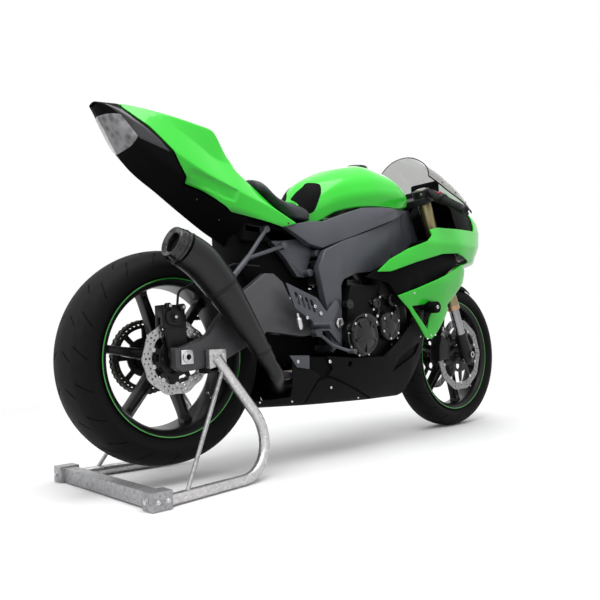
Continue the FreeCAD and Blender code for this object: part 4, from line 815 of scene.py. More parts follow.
def turned(name: str, centre: Any, axis: Any, profile: Any, steps: int = 48, closed: bool = False,
           sharp: float = SHARP) -> bpy.types.Object:
    """Solid turned round an axis.

    Args:
        name: The piece's name.
        centre: Point on the axis in layout millimetres.
        axis: Its direction.
        profile: Rows of (radius, distance along the axis).
        steps: Steps round.
        closed: Whether the profile is a closed ring; otherwise its ends are closed with faces.
        sharp: Angle in degrees above which an edge stays sharp.

    Returns:
        The object.
    """
    way = np.asarray(axis, float) / np.linalg.norm(axis)
    side = np.cross(way, (0.0, 0.0, 1.0) if abs(way[2]) < 0.9 else (1.0, 0.0, 0.0))
    side /= np.linalg.norm(side)
    up = np.cross(side, way)
    turn = np.linspace(0, 2 * math.pi, steps, endpoint=False)
    rings = np.array([np.asarray(centre, float) + way * a + np.outer(np.cos(turn), side) * r
                      + np.outer(np.sin(turn), up) * r for r, a in profile])
    return lofted(name, rings, closed, sharp)


def along(points: Any, step: float = 8.0) -> np.ndarray:
    """Smooth line through points.

    Args:
        points: Points in layout millimetres.
        step: About how far apart the line's points are.

    Returns:
        The line.
    """
    rows = np.asarray(points, float)
    keys = np.concatenate([[0.0], np.cumsum(np.linalg.norm(np.diff(rows, axis=0), axis=1))])
    return between(keys, rows, np.linspace(0, keys[-1], max(4, int(keys[-1] / step))))


def swept(name: str, line: np.ndarray, section: np.ndarray | float, sides: int = 14,
          grow: Callable[[float], float] | None = None) -> bpy.types.Object:
    """Bar swept along a line without twist.

    Args:
        name: The piece's name.
        line: Points of the line.
        section: A radius, or flat section points.
        sides: Sides of a round section.
        grow: Scale of the section by share of the length.

    Returns:
        The object.
    """
    if isinstance(section, (int, float)):
        turn = np.linspace(0, 2 * math.pi, sides, endpoint=False)
        section = np.stack([np.cos(turn), np.sin(turn)], axis=1) * section
    ways = np.gradient(line, axis=0)
    ways /= np.linalg.norm(ways, axis=1)[:, None]
    side = np.cross(ways[0], (0.0, 0.0, 1.0))
    if np.linalg.norm(side) < 0.05:
        side = np.array((0.0, 1.0, 0.0))
    rings = []
    for i, (point, way) in enumerate(zip(line, ways)):
        side = side - way * np.dot(side, way)
        side /= np.linalg.norm(side)
        up = np.cross(side, way)
        scale = grow(i / (len(line) - 1)) if grow else 1.0
        rings.append(point + (np.outer(section[:, 0], side) + np.outer(section[:, 1], up)) * scale)
    return lofted(name, np.array(rings))


def sheet_plate(name: str, outline: np.ndarray, holes: Sequence[np.ndarray], y: float, wall: float,
                edge: float = 0.5) -> bpy.types.Object:
    """Flat plate in the side view with holes.

    Args:
        name: The piece's name.
        outline: Rows of (x, z).
        holes: Outlines of holes.
        y: Its outer face; the wall grows towards the middle plane.
        wall: Thickness.
        edge: Bevel of its rims.

    Returns:
        The object.
    """
    flat, triangles = fill(outline, holes, np.zeros((0, 2)))
    points = np.column_stack([flat[:, 0], np.full(len(flat), y), flat[:, 1]])
    made = new_piece(name, points, triangles)
    outward(made, Vector((0, 1 if y > 0 else -1, 0)))
    return thicken(made, wall, edge)


def outward(made: bpy.types.Object, way: Vector | None = None) -> None:
    """Turns the faces of an open skin so that they point out.

    Args:
        made: The skin.
        way: A fixed direction, or None for away from the bike's middle line.
    """
    total = 0.0
    for face in made.data.polygons:
        centre = face.center
        aim = way or Vector((0.0, centre.y, 0.25 * (centre.z - 0.6)))
        total += face.normal.dot(aim) * face.area
    if total < 0:
        made.data.flip_normals()


def ring(x: float, z: float, radius: float | Callable[[float], float], count: int) -> np.ndarray:
    """Flat ring of points in the side view.

    Args:
        x: Centre.
        z: Centre.
        radius: Radius, or a function of the angle.
        count: How many points.

    Returns:
        Rows of (x, z).
    """
    turn = np.linspace(0, 2 * math.pi, count, endpoint=False)
    size = np.array([radius(t) for t in turn]) if callable(radius) else np.full(count, radius)
    return np.column_stack([x + size * np.cos(turn), z + size * np.sin(turn)])


def refined(node: str, name: str, body: str, paint: Finish, edge: float) -> bpy.types.Object:
    """Copy of a CAD node with merged faces, rounded edges and smooth shading.

    Args:
        node: The node.
        name: The piece's name.
        body: The body that it rides on.
        paint: Its finish.
        edge: Bevel width in millimetres, or 0.

    Returns:
        The finished piece.
    """
    shape = bmesh.new()
    shape.from_mesh(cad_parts[node].data)
    bmesh.ops.remove_doubles(shape, verts=shape.verts, dist=MERGE)
    bmesh.ops.dissolve_limit(shape, angle_limit=COPLANAR, verts=shape.verts, edges=shape.edges)
    made = meshed(name, shape)
    if edge:
        bevelled(made, edge)
        settle(made)
    soften(made, CAST_SHARP)
    return finish(made, body, paint, [node])


def extruded(name: str, outline: Any, y0: float, y1: float, edge: float = 0.8, sharp: float = SHARP,
             corner: float = 0.0) -> bpy.types.Object:
    """Side outline pushed across the bike.

    Args:
        name: The piece's name.
        outline: Corners (x, z).
        y0: Where it starts.
        y1: Where it ends.
        edge: Bevel of its edges, or 0.
        sharp: Angle in degrees above which an edge stays sharp.
        corner: Rounding of the outline's corners, or 0.

    Returns:
        The object.
    """
    flat = np.asarray(outline, float)
    if corner:
        flat = rounded(flat, corner, closed=True, steps=4, between_corners=0)
    rings = np.array([np.column_stack([flat[:, 0], np.full(len(flat), y), flat[:, 1]]) for y in (y0, y1)])
    made = lofted(name, rings, sharp=sharp)
    if edge:
        bevelled(made, edge)
        settle(made, sharp)
    return made


def slab(name: str, low: Triple, high: Triple, edge: float = 1.0) -> bpy.types.Object:
    """Block between two corners, with rounded edges.

    Args:
        name: The piece's name.
        low: Low corner.
        high: High corner.
        edge: Bevel.

    Returns:
        The object.
    """
    outline = [(low[0], low[2]), (high[0], low[2]), (high[0], high[2]), (low[0], high[2])]
    return extruded(name, outline, low[1], high[1], edge)


def bent(points: Sequence[Any], bend: float, steps: int = 12) -> np.ndarray:
    """Line of straight runs joined by round bends.

    Args:
        points: Corners of the run.
        bend: Radius of the bends.
        steps: Steps of each bend.

    Returns:
        The line.
    """
    rows = [np.asarray(p, float) for p in points]
    line = [rows[0]]
    for before, corner, after in zip(rows, rows[1:], rows[2:]):
        back = (before - corner) / np.linalg.norm(before - corner)
        ahead = (after - corner) / np.linalg.norm(after - corner)
        half = math.acos(float(np.clip(np.dot(back, ahead), -1, 1))) / 2
        inward = (back + ahead) / np.linalg.norm(back + ahead)
        centre = corner + inward * bend / math.sin(half)
        first = corner + back * bend / math.tan(half) - centre
        last = corner + ahead * bend / math.tan(half) - centre
        sweep = math.pi - 2 * half
        for i in range(steps + 1):
            share = sweep * i / steps
            line.append(centre + (first * math.sin(sweep - share)
                                  + last * math.sin(share)) / math.sin(sweep))
    line.append(rows[-1])
    return np.array(line)


def straight(start: Any, end: Any, parts: int = 1) -> np.ndarray:
    """Straight line in equal parts."""
    return np.linspace(np.asarray(start, float), np.asarray(end, float), parts + 1)


# Geometry Nodes

class Copies:
    """Node tree that sets a piece on points, makes the copies real and paints them."""

    def __init__(self, name: str, inputs: dict[str, str]) -> None:
        """Builds what every layout shares.

        Args:
            name: The tree's name.
            inputs: Socket kinds of the layout's own inputs by name.
        """
        self.tree = bpy.data.node_groups.new(name, "GeometryNodeTree")
        for key, kind in {"Geometry": "Geometry", "Piece": "Object", **inputs,
                          "Finish": "Material"}.items():
            self.tree.interface.new_socket(key, in_out="INPUT", socket_type="NodeSocket" + kind)
        self.tree.interface.new_socket("Geometry", in_out="OUTPUT", socket_type="NodeSocketGeometry")
        self.start, self.copies = self.add("NodeGroupInput"), self.add("GeometryNodeInstanceOnPoints")
        info, real = self.add("GeometryNodeObjectInfo"), self.add("GeometryNodeRealizeInstances")
        paint, end = self.add("GeometryNodeSetMaterial"), self.add("NodeGroupOutput")
        self.join((self.start.outputs["Piece"], info.inputs["Object"]),
                  (info.outputs["Geometry"], self.copies.inputs["Instance"]),
                  (self.copies.outputs["Instances"], real.inputs[0]),
                  (real.outputs[0], paint.inputs["Geometry"]),
                  (self.start.outputs["Finish"], paint.inputs["Material"]),
                  (paint.outputs[0], end.inputs["Geometry"]))

    def add(self, kind: str) -> bpy.types.Node:
        """Adds a node of a kind."""
        return self.tree.nodes.new(kind)

    def join(self, *pairs: tuple[bpy.types.NodeSocket, bpy.types.NodeSocket]) -> None:
        """Links each output to its input."""
        for out, place in pairs:
            self.tree.links.new(out, place)

    def apply(self, made: bpy.types.Object, sample: bpy.types.Object, paint: Finish, values: dict[str, Any],
              sharp: float = SHARP) -> bpy.types.Object:
        """Runs the tree on an object and keeps the result as a plain mesh.

        Args:
            made: The object that gets the copies.
            sample: The piece to copy, which is removed.
            paint: The finish.
            values: The layout's own inputs by name.
            sharp: Angle in degrees above which an edge stays sharp.

        Returns:
            The object, not yet on a body.
        """
        ids = {item.name: item.identifier for item in self.tree.interface.items_tree
               if item.in_out == "INPUT"}
        modifier = made.modifiers.new(self.tree.name, "NODES")
        modifier.node_group = self.tree
        for key, value in {"Piece": sample, "Finish": paint.material(), **values}.items():
            modifier[ids[key]] = value
        settle(made, sharp)
        bpy.data.objects.remove(sample)
        return made


class SetOut(Copies):
    """Node tree that sets a piece on each point, turned and scaled by the point's attributes."""

    def __init__(self) -> None:
        """Builds the tree with its named inputs."""
        super().__init__("set_out", {"Size": "Float"})
        turn, scale = (self.add("GeometryNodeInputNamedAttribute") for _ in range(2))
        turn.data_type, scale.data_type = "FLOAT_VECTOR", "FLOAT_VECTOR"
        turn.inputs["Name"].default_value, scale.inputs["Name"].default_value = "turn", "stretch"
        spin, sized = self.add("FunctionNodeEulerToRotation"), self.add("ShaderNodeVectorMath")
        sized.operation = "SCALE"
        self.join((self.start.outputs["Geometry"], self.copies.inputs["Points"]),
                  (turn.outputs["Attribute"], spin.inputs[0]),
                  (spin.outputs[0], self.copies.inputs["Rotation"]),
                  (scale.outputs["Attribute"], sized.inputs[0]),
                  (self.start.outputs["Size"], sized.inputs["Scale"]),
                  (sized.outputs[0], self.copies.inputs["Scale"]))

    def run(self, name: str, sample: bpy.types.Object, places: Sequence[tuple[Any, Any, Any]],
            paint: Finish, size: float = 1.0, sharp: float = SHARP) -> bpy.types.Object:
        """Sets copies of a sample and returns them as one plain mesh.

        Args:
            name: The piece's name.
            sample: Object whose mesh is in metres about its own origin.
            places: For each copy its point in layout millimetres, its Euler turn and its scale.
            paint: The finish.
            size: Scale of every copy.
            sharp: Angle in degrees above which an edge stays sharp.

        Returns:
            The object, not yet on a body.
        """
        mesh = bpy.data.meshes.new(name)
        mesh.from_pydata([tuple(metres(p)) for p, _, _ in places], [], [])
        for key, column in (("turn", 1), ("stretch", 2)):
            rows = np.array([np.broadcast_to(np.asarray(place[column], float), (3,)) for place in places],
                            np.float32)
            mesh.attributes.new(key, "FLOAT_VECTOR", "POINT").data.foreach_set("vector", rows.ravel())
        return self.apply(linked(name, mesh), sample, paint, {"Size": float(size)}, sharp)


class Louvres(Copies):
    """Node tree that repeats a thin piece along a straight row."""

    def __init__(self) -> None:
        """Builds the tree with its named inputs."""
        super().__init__("louvres", {"Count": "Int", "Start": "Vector", "Step": "Vector"})
        line = self.add("GeometryNodeMeshLine")
        for key, place in (("Count", "Count"), ("Start", "Start Location"), ("Step", "Offset")):
            self.join((self.start.outputs[key], line.inputs[place]))
        self.join((line.outputs["Mesh"], self.copies.inputs["Points"]))

    def run(self, name: str, sample: bpy.types.Object, count: int, first: Any, last: Any,
            paint: Finish) -> bpy.types.Object:
        """Repeats a sample from one place to another.

        Args:
            name: The piece's name.
            sample: Object whose mesh is in metres about its own origin.
            count: How many.
            first: Place of the first in layout millimetres.
            last: Place of the last.
            paint: The finish.

        Returns:
            The object, not yet on a body.
        """
        start, step = metres(first), (metres(last) - metres(first)) / (count - 1)
        values = {"Count": count, "Start": start.tolist(), "Step": step.tolist()}
        return self.apply(linked(name, bpy.data.meshes.new(name)), sample, paint, values)


def facing(way: Any) -> tuple[float, float, float]:
    """Euler turn that brings +Z to a direction.

    Args:
        way: The direction.

    Returns:
        The turn in radians.
    """
    return tuple(Vector(way).to_track_quat("Z", "Y").to_euler())


def template(name: str, profile: Sequence[Pair], steps: int, hollow: bool = False) -> bpy.types.Object:
    """Small turned piece about +Z at the origin, to be copied by Geometry Nodes.

    Args:
        name: Its name.
        profile: Rows of (radius, height) in millimetres.
        steps: Steps round.
        hollow: Whether a socket is sunk into its top.

    Returns:
        The object.
    """
    rows = list(profile)
    if hollow:
        top = rows[-1][1]
        rows += [(rows[-1][0] * 0.6, top), (rows[-1][0] * 0.55, top - 1.6)]
    return turned(name, (MIDDLE_X, 0, 0), (0, 0, 1), rows, steps)


# Curved skins

@dataclass
class Skin:
    """Smooth skin through half sections of the bike, read by length and place on the section.

    Attributes:
        stations: For each place along the bike its half section, from the top down.
        soft: Rounding of the section's corners.
        step: Distance of the table's rows.
        steps: Points on each rounded corner.
        flat_steps: Points between two corners.
        spread: Millimetres that a whole section counts for when a panel is filled.
        rim_step: Longest distance of the points on a panel's rim.
        rim_gap: How far the table's points keep from the rim.
        middle_gap: Distance from the middle plane within which points are moved onto it.
        weld: Distance within which a panel's points become one.
    """

    stations: Sequence[tuple[float, Sequence[Pair]]]
    soft: float | Sequence[float] = 14.0
    step: float = 10.0
    steps: int = 5
    flat_steps: int = 3
    spread: float = 420.0
    rim_step: float = 7.0
    rim_gap: float = 3.2
    middle_gap: float = 1.2
    weld: float = 1.0
    table: np.ndarray = field(init=False)
    lengths: np.ndarray = field(init=False)

    def __post_init__(self) -> None:
        """Works out the table of points."""
        rows = np.array([[x, *np.ravel(half)] for x, half in self.stations], float)
        jumps = []
        for before, after in zip(rows, rows[1:]):
            flat = (after[1:] - before[1:]).reshape(-1, 2)
            jumps.append(np.sqrt((after[0] - before[0])**2 + (flat**2).sum(axis=1)).mean())
        keys = np.concatenate([[0.0], np.cumsum(jumps)])
        self.lengths = np.linspace(0, keys[-1], max(8, int(keys[-1] / self.step)))
        smooth = between(keys, rows, self.lengths)
        table = []
        for row in smooth:
            line = rounded(row[1:].reshape(-1, 2), self.soft, steps=self.steps,
                           between_corners=self.flat_steps)
            table.append(np.column_stack([np.full(len(line), row[0]), line[:, 0], line[:, 1]]))
        self.table = np.array(table)

    @property
    def places(self) -> np.ndarray:
        """Places along the section, 0 at its first corner to 1 at its last."""
        return np.linspace(0, 1, self.table.shape[1])

    def find(self, x: float, z: float) -> Pair:
        """Length and place on the section of a side-view point.

        Args:
            x: Layout x.
            z: Height, held to the section's range.

        Returns:
            The length and the place.
        """
        length = float(np.interp(x, self.table[:, 0, 0], self.lengths))
        share = np.interp(length, self.lengths, np.arange(len(self.lengths)))
        i = min(int(share), len(self.lengths) - 2)
        heights = self.table[i, :, 2] * (i + 1 - share) + self.table[i + 1, :, 2] * (share - i)
        return length, float(np.interp(-z, -heights, self.places))

    def read(self, flat: np.ndarray) -> np.ndarray:
        """Points of the skin.

        Args:
            flat: Rows of length and place.

        Returns:
            Rows of x, y, z on the left half.
        """
        across = np.interp(flat[:, 0], self.lengths, np.arange(len(self.lengths)))
        down = np.clip(flat[:, 1], 0, 1) * (self.table.shape[1] - 1)
        i = np.clip(across.astype(int), 0, len(self.lengths) - 2)
        j = np.clip(down.astype(int), 0, self.table.shape[1] - 2)
        a, b = (across - i)[:, None], (down - j)[:, None]
        t = self.table
        return ((1 - a) * ((1 - b) * t[i, j] + b * t[i, j + 1])
                + a * ((1 - b) * t[i + 1, j] + b * t[i + 1, j + 1]))

    def spots(self, points: Sequence[Pair], size: float, sides: Sequence[int] = (-1, 1),
              rise: float = 0.0) -> list[tuple[Any, Any, float]]:
        """Places of fasteners on the skin, on both sides of the bike.

        Args:
            points: Side-view points.
            size: Their scale.
            sides: -1 for the right side, 1 for the left.
            rise: How far their direction leans upwards.

        Returns:
            Point, direction and scale of each.
        """
        here = self.read(np.array([self.find(x, z) for x, z in points]))
        return [(spot * (1, side, 1), (0, side, rise), size) for spot in here for side in sides]

    def lined(self, name: str, liner: str, node: str, outline: Any, gap: float = -5.6, sharp: float = 24.0,
              **shape: Any) -> None:
        """Green panel that stands for a CAD node, with a dark liner behind it.

        Args:
            name: The panel's name.
            liner: The liner's name.
            node: The CAD node.
            outline: Corners (x, z).
            gap: How far the liner stands off the skin.
            sharp: Angle in degrees above which an edge of the green panel stays sharp.
            shape: Other settings of both panels.
        """
        green = self.panel(name, outline, wall=5.0, edge=1.2, sharp=sharp, **shape)
        finish(green, "chassis", Paint.GREEN, [node])
        finish(self.panel(liner, outline, wall=1.0, edge=0.0, out=gap, **shape), "chassis", Paint.PLASTIC)

    def panel(self, name: str, outline: Any, holes: Sequence[Any] = (), corner: float = 6.0,
              wall: float = 4.0, edge: float = 1.0, out: float = 0.0, sides: Sequence[int] = (-1, 1),
              sharp: float = 30.0,
              bend: Callable[[np.ndarray], np.ndarray] | None = None) -> bpy.types.Object:
        """Panel cut from the skin by a side-view outline, on both sides.

        Args:
            name: The piece's name.
            outline: Corners (x, z).
            holes: Outlines of holes.
            corner: Rounding of the corners.
            wall: Thickness inwards.
            edge: Bevel of the rims.
            out: How far the panel stands off the skin.
            sides: -1 for the right half, 1 for the left.
            sharp: Angle in degrees above which an edge stays sharp.
            bend: Further shaping of the left half's points.

        Returns:
            The object.
        """
        loops = []
        for line in (outline, *holes):
            fine = even(rounded(line, corner, closed=True, steps=4, between_corners=0), self.rim_step)
            mapped = np.array([self.find(x, z) for x, z in fine])
            loops.append(mapped * (1.0, self.spread))
        across, down = np.meshgrid(self.lengths, self.places * self.spread, indexing="ij")
        inner = np.column_stack([across.ravel(), down.ravel()])
        near = np.ones(len(inner), bool)
        for loop in loops:
            gaps = np.sqrt(((inner[:, None, :] - loop[None, :, :])**2).sum(axis=2)).min(axis=1)
            near &= gaps > self.rim_gap
        flat, triangles = fill(loops[0], loops[1:], inner[near])
        points = self.read(flat / (1.0, self.spread))
        if bend:
            points = bend(points)
        points[:, 1] = np.where(points[:, 1] < self.middle_gap, 0.0, points[:, 1])
        everything: list[np.ndarray] = []
        faces: list[list[int]] = []
        for side in sides:
            first = len(everything) * len(points)
            everything.append(points * (1.0, side, 1.0))
            faces += [[first + i for i in (f if side > 0 else f[::-1])] for f in triangles]
        made = new_piece(name, np.concatenate(everything), faces, sharp, self.weld)
        outward(made)
        if out:
            push_out(made, out)
        return thicken(made, wall, edge, sharp) if wall else made

    def closed_body(self, name: str, sharp: float = 30.0) -> bpy.types.Object:
        """Whole skin, both halves, with its ends closed.

        Args:
            name: The piece's name.
            sharp: Angle in degrees above which an edge stays sharp.

        Returns:
            The object.
        """
        left = self.table
        right = left[:, ::-1] * (1.0, -1.0, 1.0)
        return lofted(name, np.concatenate([left, right[:, 1:-1]], axis=1), sharp=sharp)


def push_out(made: bpy.types.Object, distance: float) -> None:
    """Moves each point of a skin along its normal.

    Args:
        made: The skin.
        distance: Millimetres.
    """
    normals = [v.normal.copy() for v in made.data.vertices]
    for vertex, normal in zip(made.data.vertices, normals):
        vertex.co += normal * (distance / 1000)
    made.data.update()


def joined(name: str, pieces: Sequence[bpy.types.Object], sharp: float = SHARP) -> bpy.types.Object:
    """Joins pieces of one finish into one object.

    Args:
        name: The piece's name.
        pieces: Objects at the origin, which are removed.
        sharp: Angle in degrees above which an edge stays sharp.

    Returns:
        The object.
    """
    shape = bmesh.new()
    for piece in pieces:
        shape.from_mesh(piece.data)
        bpy.data.objects.remove(piece)
    made = meshed(name, shape)
    soften(made, sharp)
    return made


@dataclass
class Carried:
    """CAD pieces that keep their form and get rounded edges and a finish."""

    pieces: Sequence[tuple[str, str, str, Finish, float]] = (
        ("rear_axle", "rear_axle_and_blocks", "chassis", Paint.SILVER, 0.8),
        ("swingarm", "swingarm_casting", "chassis", Paint.ARM, 3.0),
        ("pivot_bolt", "pivot_bolt_ends", "chassis", Paint.SILVER, 0.8),
        ("frame", "frame_casting", "chassis", Paint.FRAME, 2.5),
        ("subframe", "subframe_casting", "chassis", Paint.FRAME, 1.6),
        ("engine_block", "engine_mass", "chassis", Paint.ENGINE, 4.0),
        ("engine_covers", "engine_side_covers", "chassis", Paint.COVER, 2.5),
        ("radiator", "radiator_core", "chassis", Paint.CORE, 1.5),
        ("shock_absorber", "shock_body", "chassis", Paint.SILVER, 0.8),
        ("tank_covers", "tank_side_covers", "chassis", Paint.SATIN, 2.0),
        ("headlamps", "headlamp_lenses", "chassis", Paint.HEADLAMP, 1.5),
        ("inner_panels", "inner_panels_moulded", "chassis", Paint.PLASTIC, 1.0),
        ("instrument_panel", "dash_and_stay", "chassis", Paint.PLASTIC, 1.5),
        ("rear_caliper", "rear_caliper_body", "chassis", Paint.BRAKE, 1.2),
        ("footrests", "footrests_and_guards", "chassis", Paint.FRAME, 0.8),
        ("rear_hugger", "rear_hugger_guard", "chassis", Paint.PLASTIC, 0.8),
        ("fork_yokes", "fork_yoke_castings", "steering", Paint.BRAKE, 2.0),
        ("front_axle", "front_axle_tube", "steering", Paint.SILVER, 0.0),
        ("front_calipers", "front_caliper_bodies", "steering", Paint.BRAKE, 2.0),
    )

    def build(self) -> None:
        """Makes every piece."""
        for node, name, body, paint, edge in self.pieces:
            refined(node, name, body, paint, edge)


@dataclass
class Studio:
    """Pale floor, soft lamps, white background and the photograph's view."""

    eye: Triple = (-1.745934, -1.7714, 0.4224)
    yaw: float = 0.83226
    pitch: float = -0.04729
    roll: float = 0.04085
    focal: float = 40.82
    below: float = 0.16
    above: float = 1.05
    clear_from: float = 1.5
    clear_to: float = 3.0
    floor_half: float = 14.0
    lamps: Sequence[tuple[str, Triple, Triple, float, float]] = (
        ("top_lamp", (-0.6, -0.8, 3.4), (0.1, 0.0, 0.5), 2.6, 84.0),
        ("side_lamp", (-0.8, -3.4, 1.9), (0.0, 0.0, 0.6), 2.2, 9.0),
        ("rim_lamp", (2.6, 1.8, 1.8), (0.2, 0.0, 0.6), 1.6, 14.0),
        ("back_lamp", (-3.0, 0.8, 1.5), (-0.4, 0.0, 0.6), 1.6, 12.0),
    )

    def build(self) -> None:
        """Builds floor, lamps, world and camera."""
        self._floor()
        for name, place, aim, size, power in self.lamps:
            light = bpy.data.lights.new(name, "AREA")
            light.size = size
            light.energy = power
            lamp = linked(name, light)
            lamp.location = place
            lamp.rotation_euler = (Vector(aim) - Vector(place)).to_track_quat("-Z", "Y").to_euler()
        self._world()
        self._camera()

    def _shown(self, tree: bpy.types.NodeTree) -> Value:
        """1 for what the camera, a gloss or a glass shows, 0 for the light that falls on the bike."""
        path = tree.nodes.new("ShaderNodeLightPath")
        seen, gloss, glass = (Value(tree, path.outputs[name]) for name in (
            "Is Camera Ray", "Is Glossy Ray", "Is Transmission Ray"))
        return seen.larger(gloss).larger(glass)

    def _floor(self) -> None:
        """Pale sheet under the bike, which fades into the white behind."""
        mesh = bpy.data.meshes.new("floor")
        half = self.floor_half
        corners = (-half, -half, 0.0), (half, -half, 0.0), (half, half, 0.0), (-half, half, 0.0)
        mesh.from_pydata(corners, [], [(0, 1, 2, 3)])
        floor = linked("floor", mesh)
        shade = Shade("pale_floor")
        colour = shade.blend(shade.noise(3.0, 2.0), (0.86, 0.86, 0.87), (0.9, 0.9, 0.9))
        pale = shade.node("ShaderNodeBsdfPrincipled", Base_Color=colour, Roughness=0.85)
        dull = shade.node("ShaderNodeBsdfDiffuse", Color=(0.3, 0.3, 0.3, 1.0))
        sheet = shade.node("ShaderNodeMixShader", in0=self._shown(shade.tree), in1=dull, in2=pale)
        away = shade.node("ShaderNodeVectorMath", {"operation": "LENGTH"}, out="Value",
                          in0=shade.object_coords)
        clear = shade.node("ShaderNodeBsdfTransparent")
        faded = shade.node("ShaderNodeMixShader", in0=away.over(self.clear_from, self.clear_to), in1=sheet,
                           in2=clear)
        mesh.materials.append(shade.close(faded))

    def _world(self) -> None:
        """White behind the bike, soft light from above and less from below."""
        world = bpy.data.worlds.new("studio")
        bpy.context.scene.world = world
        world.use_nodes = True
        tree = world.node_tree
        tree.nodes.clear()
        coords = tree.nodes.new("ShaderNodeTexCoord")
        split = tree.nodes.new("ShaderNodeSeparateXYZ")
        tree.links.new(coords.outputs["Generated"], split.inputs[0])
        light = Value(tree, split.outputs["Z"]).over(0.0, 0.85) * (self.above - self.below) + self.below
        shown = self._shown(tree)
        strength = shown + (1.0 - shown) * light
        back = tree.nodes.new("ShaderNodeBackground")
        back.inputs["Color"].default_value = (1.0, 1.0, 1.0, 1.0)
        plug(tree, back.inputs["Strength"], strength)
        end = tree.nodes.new("ShaderNodeOutputWorld")
        tree.links.new(back.outputs[0], end.inputs["Surface"])

    def _camera(self) -> None:
        """Camera at the photograph's place."""
        cy, sy, cp, sp = math.cos(self.yaw), math.sin(self.yaw), math.cos(self.pitch), math.sin(self.pitch)
        ahead = Vector((cy * cp, sy * cp, -sp))
        right = Vector((sy, -cy, 0.0))
        down = ahead.cross(right)
        across = math.cos(self.roll) * right + math.sin(self.roll) * down
        below = -math.sin(self.roll) * right + math.cos(self.roll) * down
        lens = bpy.data.cameras.new("view")
        lens.sensor_width = 36.0
        lens.lens = self.focal
        camera = linked("view", lens)
        turn = Matrix((across, -below, -ahead)).transposed().to_4x4()
        camera.matrix_world = Matrix.Translation(self.eye) @ turn
        scene = bpy.context.scene
        scene.camera = camera
        scene.view_settings.view_transform = "Standard"


BOLT_HEAD = ((0.0, 0.0), (4.6, 0.0), (5.0, 0.6), (5.0, 3.4), (4.4, 4.0))
BUTTON = ((0.0, 0.0), (4.4, 0.0), (4.6, 0.8), (3.6, 2.2), (1.6, 2.8))
NUT = ((0.0, 0.0), (7.0, 0.0), (7.0, 1.2), (5.6, 1.6), (5.6, 5.6), (5.0, 6.2), (2.4, 6.2))


@dataclass
class Fasteners:
    """Bolts, nuts and screws, set out by Geometry Nodes."""

    set_out: SetOut

    def row(self, name: str, body: str, places: Sequence[tuple[Any, Any, float]],
            paint: Finish = Paint.BOLT, profile: Sequence[Pair] = BOLT_HEAD, steps: int = 16,
            hollow: bool = True) -> bpy.types.Object:
        """Sets one kind of fastener.

        Args:
            name: The piece's name.
            body: The body that it rides on.
            places: Point, direction and scale of each.
            paint: The finish.
            profile: The fastener's outline.
            steps: Steps round; 6 gives a hexagon.
            hollow: Whether a socket is sunk into the head.

        Returns:
            The piece.
        """
        sample = template(name + "_sample", profile, steps, hollow)
        made = self.set_out.run(name, sample, [(p, facing(way), size) for p, way, size in places], paint)
        return finish(made, body, paint)


